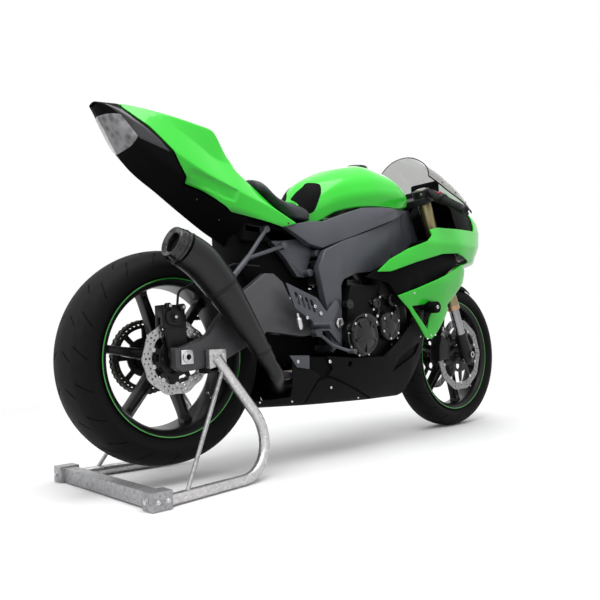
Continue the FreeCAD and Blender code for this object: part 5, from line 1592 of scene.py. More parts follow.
@dataclass
class Wheel:
    """Tyre, cast rim, green line and valve of one wheel."""

    name: str
    body: str
    centre: Pair
    tyre_radius: float
    tyre_width: float
    rim_half: float
    hub_left: float
    hub_right: float
    lean: float
    rubber: Finish
    pitches: int = 20
    groove: float = 3.0
    slant: float = 0.9
    spokes: int = 6
    bead: float = 216.3
    flange: float = 230.0
    line: Pair = (226.4, 229.0)
    line_height: float = 0.5
    steps: int = 144

    def build(self, set_out: SetOut) -> None:
        """Makes the wheel's pieces.

        Args:
            set_out: Tree that sets out the spokes.
        """
        self._tyre()
        self._rim(set_out)
        self._line()
        self._valve()

    def _profile(self) -> tuple[np.ndarray, np.ndarray]:
        """Section rows (radius, y) from one bead to the other, and their distance from the crown."""
        half, width, depth = self.tyre_width / 2, self.tyre_width, self.tyre_radius - self.flange
        side = [
            (self.bead, self.rim_half - 12), (self.flange - 2, self.rim_half - 7.5),
            (self.flange + 6, self.rim_half - 4), (self.flange + 0.2 * depth, half - 0.035 * width),
            (self.flange + 0.38 * depth, half), (self.flange + 0.68 * depth, half - 0.04 * width),
            (self.flange + 0.92 * depth, half - 0.22 * width),
        ]
        rows = np.array(side + [(self.tyre_radius, 0.0)] + [(r, -y) for r, y in reversed(side)])
        keys = np.concatenate([[0.0], np.cumsum(np.linalg.norm(np.diff(rows, axis=0), axis=1))])
        middle = keys[len(side)]
        reach = middle * np.array([0.1, 0.115, 0.3, 0.315, 0.36, 0.375, 0.6, 0.615])
        wanted = np.unique(np.concatenate([np.linspace(0, keys[-1], 49), middle - reach, middle + reach]))
        return between(keys, rows, wanted), (wanted - middle) / middle

    def _tyre(self) -> None:
        """Tyre with slanted grooves on its shoulders."""
        rows, shares = self._profile()
        ways = np.gradient(rows, axis=0)
        normals = np.column_stack([-ways[:, 1], ways[:, 0]])
        normals /= np.linalg.norm(normals, axis=1)[:, None]
        normals *= np.sign((normals * (rows - (self.flange, 0.0))).sum(axis=1))[:, None]
        columns = [0.0, 0.014, 0.05, 0.064, 0.2, 0.35, 0.5, 0.514, 0.55, 0.564, 0.7, 0.85]
        low = {1: (0.375, 0.6), 2: (0.375, 0.6), 7: (0.115, 0.3), 8: (0.115, 0.3)}
        rings = []
        for pitch in range(self.pitches):
            for i, column in enumerate(columns):
                deep = np.zeros(len(rows))
                if i in low:
                    inner, outer = low[i]
                    deep = np.where((abs(shares) > inner - 0.004) & (abs(shares) < outer + 0.004),
                                    self.groove, 0.0)
                place = rows - normals * deep[:, None]
                turn = (2 * math.pi * (pitch + column) / self.pitches
                        + self.slant * np.minimum(abs(shares), 0.62) * 0.5)
                rings.append(np.column_stack([self.centre[0] + place[:, 0] * np.cos(turn), place[:, 1],
                                              self.centre[1] + place[:, 0] * np.sin(turn)]))
        made = lofted(self.name + "_tyre_grooved", np.array(rings), True, sharp=32)
        finish(made, self.body, self.rubber, [self.name + "_tyre"])

    def _rim(self, set_out: SetOut) -> None:
        """Barrel, hub and channelled spokes."""
        x, z = self.centre
        half, lip = self.rim_half, self.flange
        profile = [
            (lip - 6, -half), (lip - 0.8, -half), (lip, -half + 1.2), (lip - 1, -half + 6),
            (217, -half + 11), (216, -half + 14), (214, -half + 28), (214, half - 28), (216, half - 14),
            (217, half - 11), (lip - 1, half - 6), (lip, half - 1.2), (lip - 0.8, half), (lip - 6, half),
            (213, half - 9), (208.5, half - 20), (207, half - 30), (207, -half + 30), (208.5, -half + 20),
            (213, -half + 9),
        ]
        barrel = turned("barrel", (x, 0, z), (0, 1, 0), profile, self.steps, True, 40)
        left, right = self.hub_left, -self.hub_right
        hub = turned("hub", (x, 0, z), (0, 1, 0), [
            (13, right), (38, right), (40, right + 2), (40, right + 9), (35, right + 14), (33, -24),
            (46, -19), (48, -16), (48, 16), (46, 19), (33, 24), (35, left - 14), (40, left - 9),
            (40, left - 2), (38, left), (13, left)], 64, True, 32)
        rings = []
        reach = np.array([38, 46, 54, 60, 66, 100, 140, 174, 186, 192, 198, 203, 207, 209.0])
        wide = between([38, 54, 100, 174, 198, 209], [25, 18, 14.5, 11.5, 13, 20], reach)[:, 0]
        channel = between([38, 58, 70, 182, 192, 209], [0, 0, 7, 7, 0, 0], reach)[:, 0]
        for r, w, d in zip(reach, wide, channel):
            c = w - 4.2
            flat = [(-w, -17), (-c, -17), (-c + 1.6, -17 + d), (c - 1.6, -17 + d), (c, -17), (w, -17),
                    (w, 17), (c, 17), (c - 1.6, 17 - d), (-c + 1.6, 17 - d), (-c, 17), (-w, 17)]
            soft = rounded(flat, [3.0, 1.2, 1.0, 1.0, 1.2, 3.0] * 2, closed=True, steps=3,
                           between_corners=0)
            rings.append(np.column_stack([np.full(len(soft), r + MIDDLE_X), soft[:, 1], soft[:, 0]]))
        sample = lofted("spoke_sample", np.array(rings), sharp=35)
        turns = [(0.0, math.radians(self.lean + 360 * i / self.spokes), 0.0) for i in range(self.spokes)]
        arms = set_out.run("arms", sample, [((x, 0, z), turn, 1.0) for turn in turns], Paint.WHEEL,
                           sharp=35)
        made = joined(self.name + "_rim_cast", [barrel, hub, arms], 36)
        finish(made, self.body, Paint.WHEEL, [self.name + "_rim"])

    def _line(self) -> None:
        """Thin green line on both flanges."""
        x, z = self.centre
        rings = []
        for side in (-1, 1):
            y = side * self.rim_half
            low, high = self.line
            section = [(low, y), (high, y), (high, y + side * self.line_height),
                       (low, y + side * self.line_height)]
            rings.append(turned("line", (x, 0, z), (0, 1, 0), section, self.steps, True))
        finish(joined(self.name + "_rim_line", rings), self.body, Paint.STRIPE)

    def _valve(self) -> None:
        """Silver valve stem between two spokes."""
        x, z = self.centre
        turn = -math.radians(self.lean + 30)
        way = np.array((math.cos(turn), 0.0, math.sin(turn)))
        made = turned(self.name + "_valve", np.array((x, -16.0, z)) + way * 208, -way + (0, -0.35, 0),
                      [(5.5, 0), (5.5, 3), (3.2, 4), (3.2, 20), (4.2, 21), (4.2, 30), (3.4, 31)], 14)
        finish(made, self.body, Paint.BOLT)


@dataclass
class BrakeDisc:
    """Petal disc on its dark carrier with silver bobbins."""

    name: str
    body: str
    centre: Pair
    y: float
    outer: float
    inner: float
    thickness: float = 5.0
    bore: float = 26.0
    carrier_holes: int = 5
    petals: int = 10
    depth: float = 5.0

    def build(self, set_out: SetOut) -> bpy.types.Object:
        """Makes disc, carrier and bobbins.

        Args:
            set_out: Tree that sets out the bobbins.

        Returns:
            The disc, which may be joined with its twin.
        """
        x, z = self.centre
        side = 1 if self.y > 0 else -1
        face = self.y + side * self.thickness / 2
        outline = ring(x, z, lambda t: self.outer - self.depth * (0.5 - 0.5 * math.cos(self.petals * t)),
                       240)
        holes = [ring(x, z, lambda t: self.inner + 1.6 * math.cos(self.petals * t), 160)]
        spread = self.outer - self.inner
        for i in range(self.petals):
            for turn, share, size in ((0.0, 0.24, 3.4), (0.0, 0.62, 3.4), (0.25, 0.4, 2.8),
                                      (-0.25, 0.4, 2.8), (0.5, 0.3, 2.8), (0.22, 0.78, 2.4),
                                      (-0.22, 0.78, 2.4)):
                angle = 2 * math.pi * (i + turn) / self.petals
                r = self.inner + spread * share
                holes.append(ring(*polar(self.centre, r, angle), size, 10))
        disc = sheet_plate(self.name, outline, holes, face, self.thickness, 0.4)
        self._carrier(side, face)
        angles = [2 * math.pi * (i + 0.5) / self.petals for i in range(self.petals)]
        sample = template("bobbin_sample", [(0, 0), (6.4, 0), (6.6, 0.8), (6.2, 1.6), (3.6, 1.8),
                                            (3.4, 1.0)], 18)
        spots = [polar(self.centre, self.inner - 1, a) for a in angles]
        places = [(place, facing(way), size) for place, way, size in pegs(spots, face - side * 0.4, side)]
        finish(set_out.run(self.name + "_bobbins", sample, places, Paint.SILVER), self.body, Paint.SILVER)
        return disc

    def _carrier(self, side: int, face: float) -> None:
        """Star with lightening holes."""
        x, z = self.centre
        reach, root = self.inner + 3.5, max(56.0, self.inner * 0.62)
        outline = ring(x, z, lambda t: root + (reach - root) * max(0.0, -math.cos(self.petals * t)) ** 1.2,
                       240)
        holes = [ring(x, z, self.bore, 40)]
        for i in range(self.carrier_holes):
            angle = 2 * math.pi * (i + 0.5) / self.carrier_holes
            r = (root + self.bore) / 2
            holes.append(ring(*polar(self.centre, r, angle), (root - self.bore) * 0.27, 18))
        made = sheet_plate(self.name + "_carrier", outline, holes, face - side * 0.7, self.thickness * 0.7,
                           0.6)
        finish(made, self.body, Paint.BRAKE)


@dataclass
class ChainDrive:
    """Linked chain round its two sprockets, with the windowed rear sprocket."""

    set_out: SetOut
    pitch: float = 15.875
    teeth: int = 43
    front_teeth: int = 16
    line: float = 106.0
    front: Pair = (690.0, 460.0)
    outer_plate: Pair = (7.4, 9.2)
    inner_plate: Pair = (5.2, 6.9)
    plate_half: Pair = (6.6, 6.9)
    windows: int = 8
    window_radii: Pair = (88.5, 60.0)

    def build(self) -> None:
        """Makes sprocket, chain and front sprocket."""
        self._sprocket()
        self._chain()

    def _radii(self) -> Pair:
        """Pitch radii of both sprockets."""
        return tuple(self.pitch / (2 * math.sin(math.pi / n)) for n in (self.teeth, self.front_teeth))

    def pins(self) -> np.ndarray:
        """Pin centres (x, z) round the loop, top of the rear sprocket first."""
        rear, front = self._radii()
        dx, dz = self.front[0], self.front[1] - REAR_AXLE[1]
        span, tilt = math.hypot(dx, dz), math.atan2(dz, dx)
        lean = math.asin((rear - front) / span)
        run = span * math.cos(lean)
        arcs = (math.pi + 2 * lean) * rear, (math.pi - 2 * lean) * front
        total = 2 * run + arcs[0] + arcs[1]
        count = int(round(total / self.pitch / 2)) * 2
        top, low = tilt + math.pi / 2 - lean, tilt - math.pi / 2 + lean
        line = []
        for i in range(count):
            s = total * i / count
            if s < run:
                spot = (rear * math.cos(top) + s * math.sin(top),
                        REAR_AXLE[1] + rear * math.sin(top) - s * math.cos(top))
            elif s < run + arcs[1]:
                turn = top - (s - run) / front
                spot = polar(self.front, front, turn)
            elif s < 2 * run + arcs[1]:
                t = s - run - arcs[1]
                spot = (self.front[0] + front * math.cos(low) + t * math.sin(low),
                        self.front[1] + front * math.sin(low) - t * math.cos(low))
            else:
                turn = low - (s - 2 * run - arcs[1]) / rear
                spot = polar(REAR_AXLE, rear, turn)
            line.append(spot)
        return np.array(line)

    def _link(self, name: str, across: Pair, tall: float) -> bpy.types.Object:
        """Two waisted plates of a link about the origin.

        Args:
            name: The object's name.
            across: Where the left plate starts and ends across.
            tall: Half height of a plate at its pins.

        Returns:
            The plates as one object.
        """
        outline = []
        for end in (1, -1):
            for turn in np.linspace(-math.pi / 2, math.pi / 2, 7):
                outline.append((end * (self.pitch / 2 + tall * math.cos(turn)),
                                end * tall * math.sin(turn)))
            outline.append((0.0, end * tall * 0.7))
        flat = [(x + MIDDLE_X, z) for x, z in outline]
        low, high = across
        ends = (-high, -low), (low, high)
        return joined(name, [extruded("plate", flat, *ys, 0.35) for ys in ends])

    def _chain(self) -> None:
        """Links and rollers, and the small sprocket."""
        pins = self.pins()
        after = np.roll(pins, -1, axis=0)
        middle, way = (pins + after) / 2, after - pins
        places = [((m[0], self.line, m[1]), (0.0, -math.atan2(w[1], w[0]), 0.0), 1.0)
                  for m, w in zip(middle, way)]
        outer = self._link("outer_sample", self.outer_plate, self.plate_half[0])
        inner = self._link("inner_sample", self.inner_plate, self.plate_half[1])
        parts = [self.set_out.run("outer_links", outer, places[0::2], Paint.CHAIN),
                 self.set_out.run("inner_links", inner, places[1::2], Paint.CHAIN)]
        roller = template("roller_sample", [
            (0, -9.8), (2.4, -9.8), (2.6, -7.2), (4.6, -5.2), (5.0, -5.0), (5.0, 5.0), (4.6, 5.2),
            (2.6, 7.2), (2.4, 9.8), (0, 9.8)], 12)
        spots = [((p[0], self.line, p[1]), facing((0, 1, 0)), 1.0) for p in pins]
        parts.append(self.set_out.run("rollers", roller, spots, Paint.CHAIN))
        front = self._radii()[1]
        outline = self._teeth(self.front, front - 5.4, self.front_teeth)
        parts.append(sheet_plate("front_sprocket", outline, [ring(*self.front, 12, 24)], self.line + 3, 6))
        finish(joined("drive_chain_links", parts), "chassis", Paint.CHAIN, ["drive_chain"])

    def _teeth(self, centre: Pair, tip: float, count: int) -> np.ndarray:
        """Outline of a toothed plate whose tips reach a radius."""
        rows = []
        for i in range(count):
            for share, low in (
                (0.0, 5.0), (0.16, 4.4), (0.34, 1.4), (0.44, 0.2), (0.5, 0.0), (0.56, 0.2), (0.66, 1.4),
                (0.84, 4.4),
            ):
                turn = 2 * math.pi * (i + share) / count
                rows.append(polar(centre, tip - low, turn))
        return np.array(rows)

    def _sprocket(self) -> None:
        """Rear sprocket with eight windows."""
        x, z = REAR_AXLE
        tip = self._radii()[0] - 5.1 - 0.9
        holes = [ring(x, z, 24.6, 40)]
        for i in range(self.windows):
            middle = 2 * math.pi * (i + 0.5) / self.windows
            window = []
            for r, spread in zip(self.window_radii, (0.3, -0.27)):
                window += [polar(REAR_AXLE, r, middle + t) for t in np.linspace(-spread, spread, 7)]
            holes.append(rounded(window, 3.0, closed=True, steps=3, between_corners=0))
        made = sheet_plate("rear_sprocket_plate", self._teeth(REAR_AXLE, tip, self.teeth), holes,
                           self.line + 3, 6, 0.4)
        finish(made, "rear_wheel", Paint.SPROCKET, ["rear_sprocket"])


@dataclass
class PaddockStand:
    """Bent tubes, braces, square bar with end blocks, pads and bolts."""

    fasteners: Fasteners
    tube: float = 16.0
    bend: float = 118.0
    half: float = 268.0
    reach: float = 216.0

    def build(self) -> None:
        """Makes the stand."""
        z = REAR_AXLE[1]
        parts = []
        dull = []
        rubber = []
        bolts = []
        for side, inner in ((-1, 98.0), (1, 118.0)):
            outer = inner + 30
            top = np.array((84, side * (outer + 24), z - 6))
            low = np.array((318, side * 203, 16.0))
            back = np.array((-186, side * self.half, 16.0))
            line = bent([top, low, back], self.bend, 16)
            parts.append(swept("leg", line, self.tube, 24))
            dull.append(swept("brace", straight((-92, side * 256, 26), top + (low - top) * 0.09), 6.0, 12))
            plate = [(58, z - 50.6), (58, z - 37.1), (61, z - 36.6), (125, z - 21.1), (125, z - 36.6)]
            low_y, high_y = sorted((side * (inner + 2), side * (outer + 24)))
            rubber.append(extruded("pad", plate, low_y, high_y, 1.2))
            low_y, high_y = sorted((side * (outer + 3), side * (outer + 24)))
            parts.append(slab("lip", (62, low_y, z - 44.6), (122, high_y, z + 18), 2.0))
            low_y, high_y = sorted((side * (self.half - 24), side * (self.half + 24)))
            dull.append(slab("end", (-self.reach, low_y, 0.0), (-self.reach + 60, high_y, 48), 2.5))
            y = side * (self.half + 24)
            bolts += pegs([(-self.reach + 16, 24), (-self.reach + 44, 24)], y, side)
            bolts += pegs([(78, z + 2), (106, z + 2)], side * (outer + 24), side)
            bolts.append(((-self.reach, side * self.half, 24), (-1, 0, 0), 1.2))
        dull.append(slab("bar", (-206, -self.half + 22, 4), (-166, self.half - 22, 44), 2.5))
        finish(joined("stand_tubes", parts, 40), "chassis", Paint.ZINC, ["paddock_stand"])
        finish(joined("stand_bar_and_braces", dull, 40), "chassis", Paint.OLD_ZINC)
        finish(joined("stand_pads", rubber), "chassis", Paint.RUBBER)
        self.fasteners.row("stand_bolts", "chassis", bolts, steps=6, profile=NUT, hollow=False)


@dataclass
class Tail:
    """Green tail cowl, black tail end with its lens, and what shows under the cowl."""

    fasteners: Fasteners
    top: float = 1096.0
    channel: tuple[Pair, Pair] = ((48.0, 898.0), (212.0, 846.0))
    channel_half: float = 21.0
    channel_depth: float = 4.5
    channel_wall: float = 7.0
    channel_end: float = 9.0

    def skin(self) -> Skin:
        """Skin of the whole tail."""
        rows = [
            (-200, (0, 3), (15, 5), (23, 9), (19, 14), (0, 17)),
            (-172, (0, 2), (24, 5), (42, 18), (38, 44), (0, 66)),
            (-110, (0, 0), (44, 6), (72, 60), (64, 116), (0, 168)),
            (0, (0, 6), (52, 12), (96, 132), (86, 184), (0, 246)),
            (100, (0, 16), (56, 24), (110, 186), (100, 236), (0, 312)),
            (165, (0, 24), (56, 34), (116, 212), (108, 284), (0, 352)),
            (216, (0, 104), (58, 108), (119, 232), (114, 292), (0, 378)),
            (258, (0, 150), (60, 154), (121, 246), (118, 302), (0, 402)),
            (352, (0, 220), (60, 224), (124, 276), (124, 327), (0, 440)),
            (444, (0, 290), (60, 294), (122, 312), (122, 330), (0, 440)),
        ]
        stations = []
        for x, *half in rows:
            line = [(y, self.top - down) for y, down in half]
            y, z = line[1]
            drop = float(np.interp(x, (-180, -110, 0, 100, 165, 216, 258), (2, 12, 30, 66, 92, 30, 6)))
            line.insert(2, (y + float(np.interp(x, (-180, 0), (4, 11))), z - drop))
            stations.append((x, line))
        return Skin(stations, soft=[0, 6, 5, 5, 12, 0], step=8.0, flat_steps=4)

    def hung(self, *spots: Pair) -> list[Pair]:
        """Side-view points from their x and their depth below the tail's top."""
        return [(x, self.top - down) for x, down in spots]

    def recess(self, points: np.ndarray) -> np.ndarray:
        """Sinks the slanted channel in the side of the cowl.

        Args:
            points: Points of the left half.

        Returns:
            The points with the channel.
        """
        rear, front = np.array(self.channel[0]), np.array(self.channel[1])
        length = np.linalg.norm(front - rear)
        way = (front - rear) / length
        flat = points[:, [0, 2]] - rear
        run = flat @ way
        side = flat @ np.array((-way[1], way[0]))
        ends = np.clip(np.minimum(run, length - run) / self.channel_end, 0, 1)
        sunk = ends * np.clip((self.channel_half - abs(side)) / self.channel_wall, 0, 1) * self.channel_depth
        points[:, 1] -= np.where(points[:, 1] > 60, sunk, 0.0)
        return points

    def build(self) -> None:
        """Makes the tail's pieces."""
        skin = self.skin()
        green = self.hung(
            (-140, -34), (-134, 17), (-118, 30), (-101, 43), (-64, 66), (-33, 96),
            (1, 131), (19, 164), (48, 209), (45, 220), (96, 239),
            (174, 283), (191, 295), (387, 331), (446, 315), (446, 303),
            (352, 241), (269, 183), (238, 158), (228, 124), (216, 92),
            (200, -34),
        )
        skin.lined("tail_cowl_skin", "tail_cowl_liner", "tail_cowl", green, -6.0, corner=7.0, sharp=20,
                   bend=self.recess)
        black = self.hung(
            (-206, -34), (-146, -34), (-138, 20), (-122, 33), (-105, 46), (-68, 69), (-37, 99),
            (-3, 134), (15, 167), (44, 212), (41, 223), (92, 242),
            (170, 286), (187, 298), (258, 311), (262, 420), (189, 380),
            (136, 340), (101, 325), (-9, 250), (-83, 203), (-139, 170),
            (-206, 60),
        )
        tray = skin.panel("tail_end_and_tray", black, corner=6.0, wall=3.0, edge=0.0, sharp=24)
        finish(tray, "chassis", Paint.PLASTIC, ["undertray"])
        facet = self.hung((-182, 13), (-139, 24), (-109, 51), (-72, 77), (-40, 105),
                 (-8, 138), (-95, 106), (-145, 42))
        plate = skin.panel("tail_end_facet", facet, corner=4.0, wall=1.4, edge=0.5, out=0.6)
        finish(plate, "chassis", Paint.FACET)
        lens = self.hung((-188, 41), (-146, 41), (-99, 101), (-112, 128), (-132, 146),
                (-134, 160), (-176, 80))
        glass = skin.panel("tail_lens", lens, corner=5.0, wall=2.4, edge=0.8, out=0.8)
        finish(glass, "chassis", Paint.LENS, ["tail_lamp"])
        base = self.hung((206, -40), (330, -40), (330, 216), (268, 176), (236, 140), (214, 60))
        floor = skin.panel("seat_base", base, corner=4.0, wall=3.0, edge=0.0, out=-5.5)
        finish(floor, "chassis", Paint.PLASTIC)
        tray = [(252, 716), (250, 790), (330, 858), (440, 786), (524, 786), (524, 740), (400, 722)]
        finish(extruded("seat_tray", tray, -88.0, 88.0, 2.0, corner=8), "chassis", Paint.PLASTIC)
        box = [(231, 741), (396, 739), (540, 690), (548, 560), (386, 545), (300, 566), (252, 636)]
        finish(extruded("electrics_box", box, -60.0, 60.0, 3.0, corner=10), "chassis", Paint.PLASTIC)
        guard = [(352, 322), (596, 322), (596, 458), (352, 462)]
        finish(extruded("linkage_guard", guard, -50.0, 50.0, 3.0, corner=10), "chassis", Paint.PLASTIC)
        screws = skin.spots([(410, 779), (96, 836), (176, 780)], 0.8)
        self.fasteners.row("tail_screws", "chassis", screws, Paint.GLOSS_BLACK, BUTTON)


@dataclass
class Seat:
    """Foam pad under a grained cover, swollen by a short cloth simulation."""

    swell: float = 4.0
    cap: float = 5.0
    shrink: float = 3.0
    voxel: float = 0.006
    frames: int = 20

    def build(self) -> None:
        """Makes the pad."""
        rows = [
            (308, (0, 938), (60, 934), (88, 912), (89, 892), (0, 888)),
            (345, (0, 926), (66, 922), (98, 898), (99, 880), (0, 872)),
            (400, (0, 884), (74, 880), (110, 864), (111, 842), (0, 838)),
            (470, (0, 862), (80, 858), (116, 838), (115, 800), (0, 796)),
            (530, (0, 852), (80, 850), (106, 832), (104, 798), (0, 796)),
        ]
        cut = self.shrink
        stations = []
        for x, *half in rows:
            middle = (half[0][1] + half[-1][1]) / 2
            stations.append((x, [(max(0.0, y - cut), z - cut if z > middle else z + 1.0) for y, z in half]))
        made = Skin(stations, soft=12.0, step=12.0).closed_body("seat_pad", 60)
        self._swell(made)
        smooth = made.modifiers.new("smooth", "SUBSURF")
        smooth.levels = smooth.render_levels = 1
        settle(made, 70)
        finish(made, "chassis", Paint.SEAT, ["seat"])

    def _swell(self, made: bpy.types.Object) -> None:
        """Inflates the remeshed pad and caps how far each point moves.

        Args:
            made: The pad.
        """
        remesh = made.modifiers.new("even", "REMESH")
        remesh.mode = "VOXEL"
        remesh.voxel_size = self.voxel
        settle(made)
        start = np.array([v.co for v in made.data.vertices])
        cloth = made.modifiers.new("cloth", "CLOTH")
        cloth.settings.use_pressure = True
        cloth.settings.uniform_pressure_force = self.swell
        cloth.settings.effector_weights.gravity = 0.0
        cloth.settings.quality = 5
        cloth.point_cache.frame_start, cloth.point_cache.frame_end = 1, self.frames
        for step in range(1, self.frames + 1):
            bpy.context.scene.frame_set(step)
        settle(made)
        swollen = np.array([v.co for v in made.data.vertices])
        move = swollen - start
        far = np.linalg.norm(move, axis=1)[:, None]
        move *= np.minimum(1.0, self.cap / 1000 / np.maximum(far, 1e-9))
        move[start[:, 2] < start[:, 2].min() + 0.01] *= 0.2
        made.data.vertices.foreach_set("co", (start + move).ravel())
        made.data.update()
        bpy.context.scene.frame_set(1)


@dataclass
class Tank:
    """Painted tank with its filler cap and dark pads."""

    fasteners: Fasteners
    top: float = 1047.0
    half: float = 160.0

    def skin(self) -> Skin:
        """Skin of the tank."""
        top, wide = self.top, self.half
        rows = [
            (515, top - 167, (42, 8), (62, 34), (68, 74), top - 252),
            (560, top - 102, (50, 10), (84, 46), (96, 96), top - 250),
            (640, top - 57, (62, 10), (wide - 48, 50), (wide - 32, 110), top - 209),
            (740, top - 19, (72, 12), (wide - 33, 58), (wide - 10, 122), top - 187),
            (840, top, (76, 13), (wide - 24, 62), (wide, 127), top - 179),
            (930, top - 12, (76, 13), (wide - 24, 56), (wide - 2, 112), top - 177),
            (1010, top - 55, (70, 10), (wide - 40, 40), (wide - 20, 76), top - 162),
            (1034, top - 92, (58, 7), (wide - 56, 22), (wide - 42, 40), top - 152),
            (1036, top - 104, (50, 5), (wide - 66, 16), (wide - 52, 28), top - 150),
        ]
        stations = [(x, [(0, crown), (a[0], crown - a[1]), (b[0], crown - b[1]), (c[0], crown - c[1]),
                         (c[0] - 10, foot), (0, foot)]) for x, crown, a, b, c, foot in rows]
        return Skin(stations, soft=[0, 46, 34, 18, 6, 0], step=11.0, steps=8)

    def build(self) -> None:
        """Makes tank, cap and pads."""
        skin = self.skin()
        finish(skin.closed_body("tank_shell", 28), "chassis", Paint.GREEN, ["fuel_tank"])
        x, z = 879.0, self.top
        cap = turned("cap", (x, 0, z - 12), (0.02, 0, 1), [
            (0, 0), (46, 0), (46, 12), (44, 15.5), (40, 16.5), (38, 15), (30, 15), (29, 17.5), (14, 19.5),
            (0, 20)], 64)
        finish(cap, "chassis", Paint.GLOSS_BLACK)
        screws = [((*polar((x, 0.0), 41, t), z + 2.4), (0, 0, 1), 0.7)
                  for t in np.linspace(0, 2 * math.pi, 8, endpoint=False)]
        self.fasteners.row("cap_screws", "chassis", screws, profile=BUTTON)
        pad = [(517, self.top - 166), (540, self.top - 132), (572, self.top - 100), (600, self.top - 108),
               (590, self.top - 140), (572, self.top - 178), (556, self.top - 214), (520, self.top - 226)]
        pads = skin.panel("tank_pads", pad, corner=10.0, wall=1.2, edge=0.4, out=1.1)
        finish(pads, "chassis", Paint.PLASTIC)


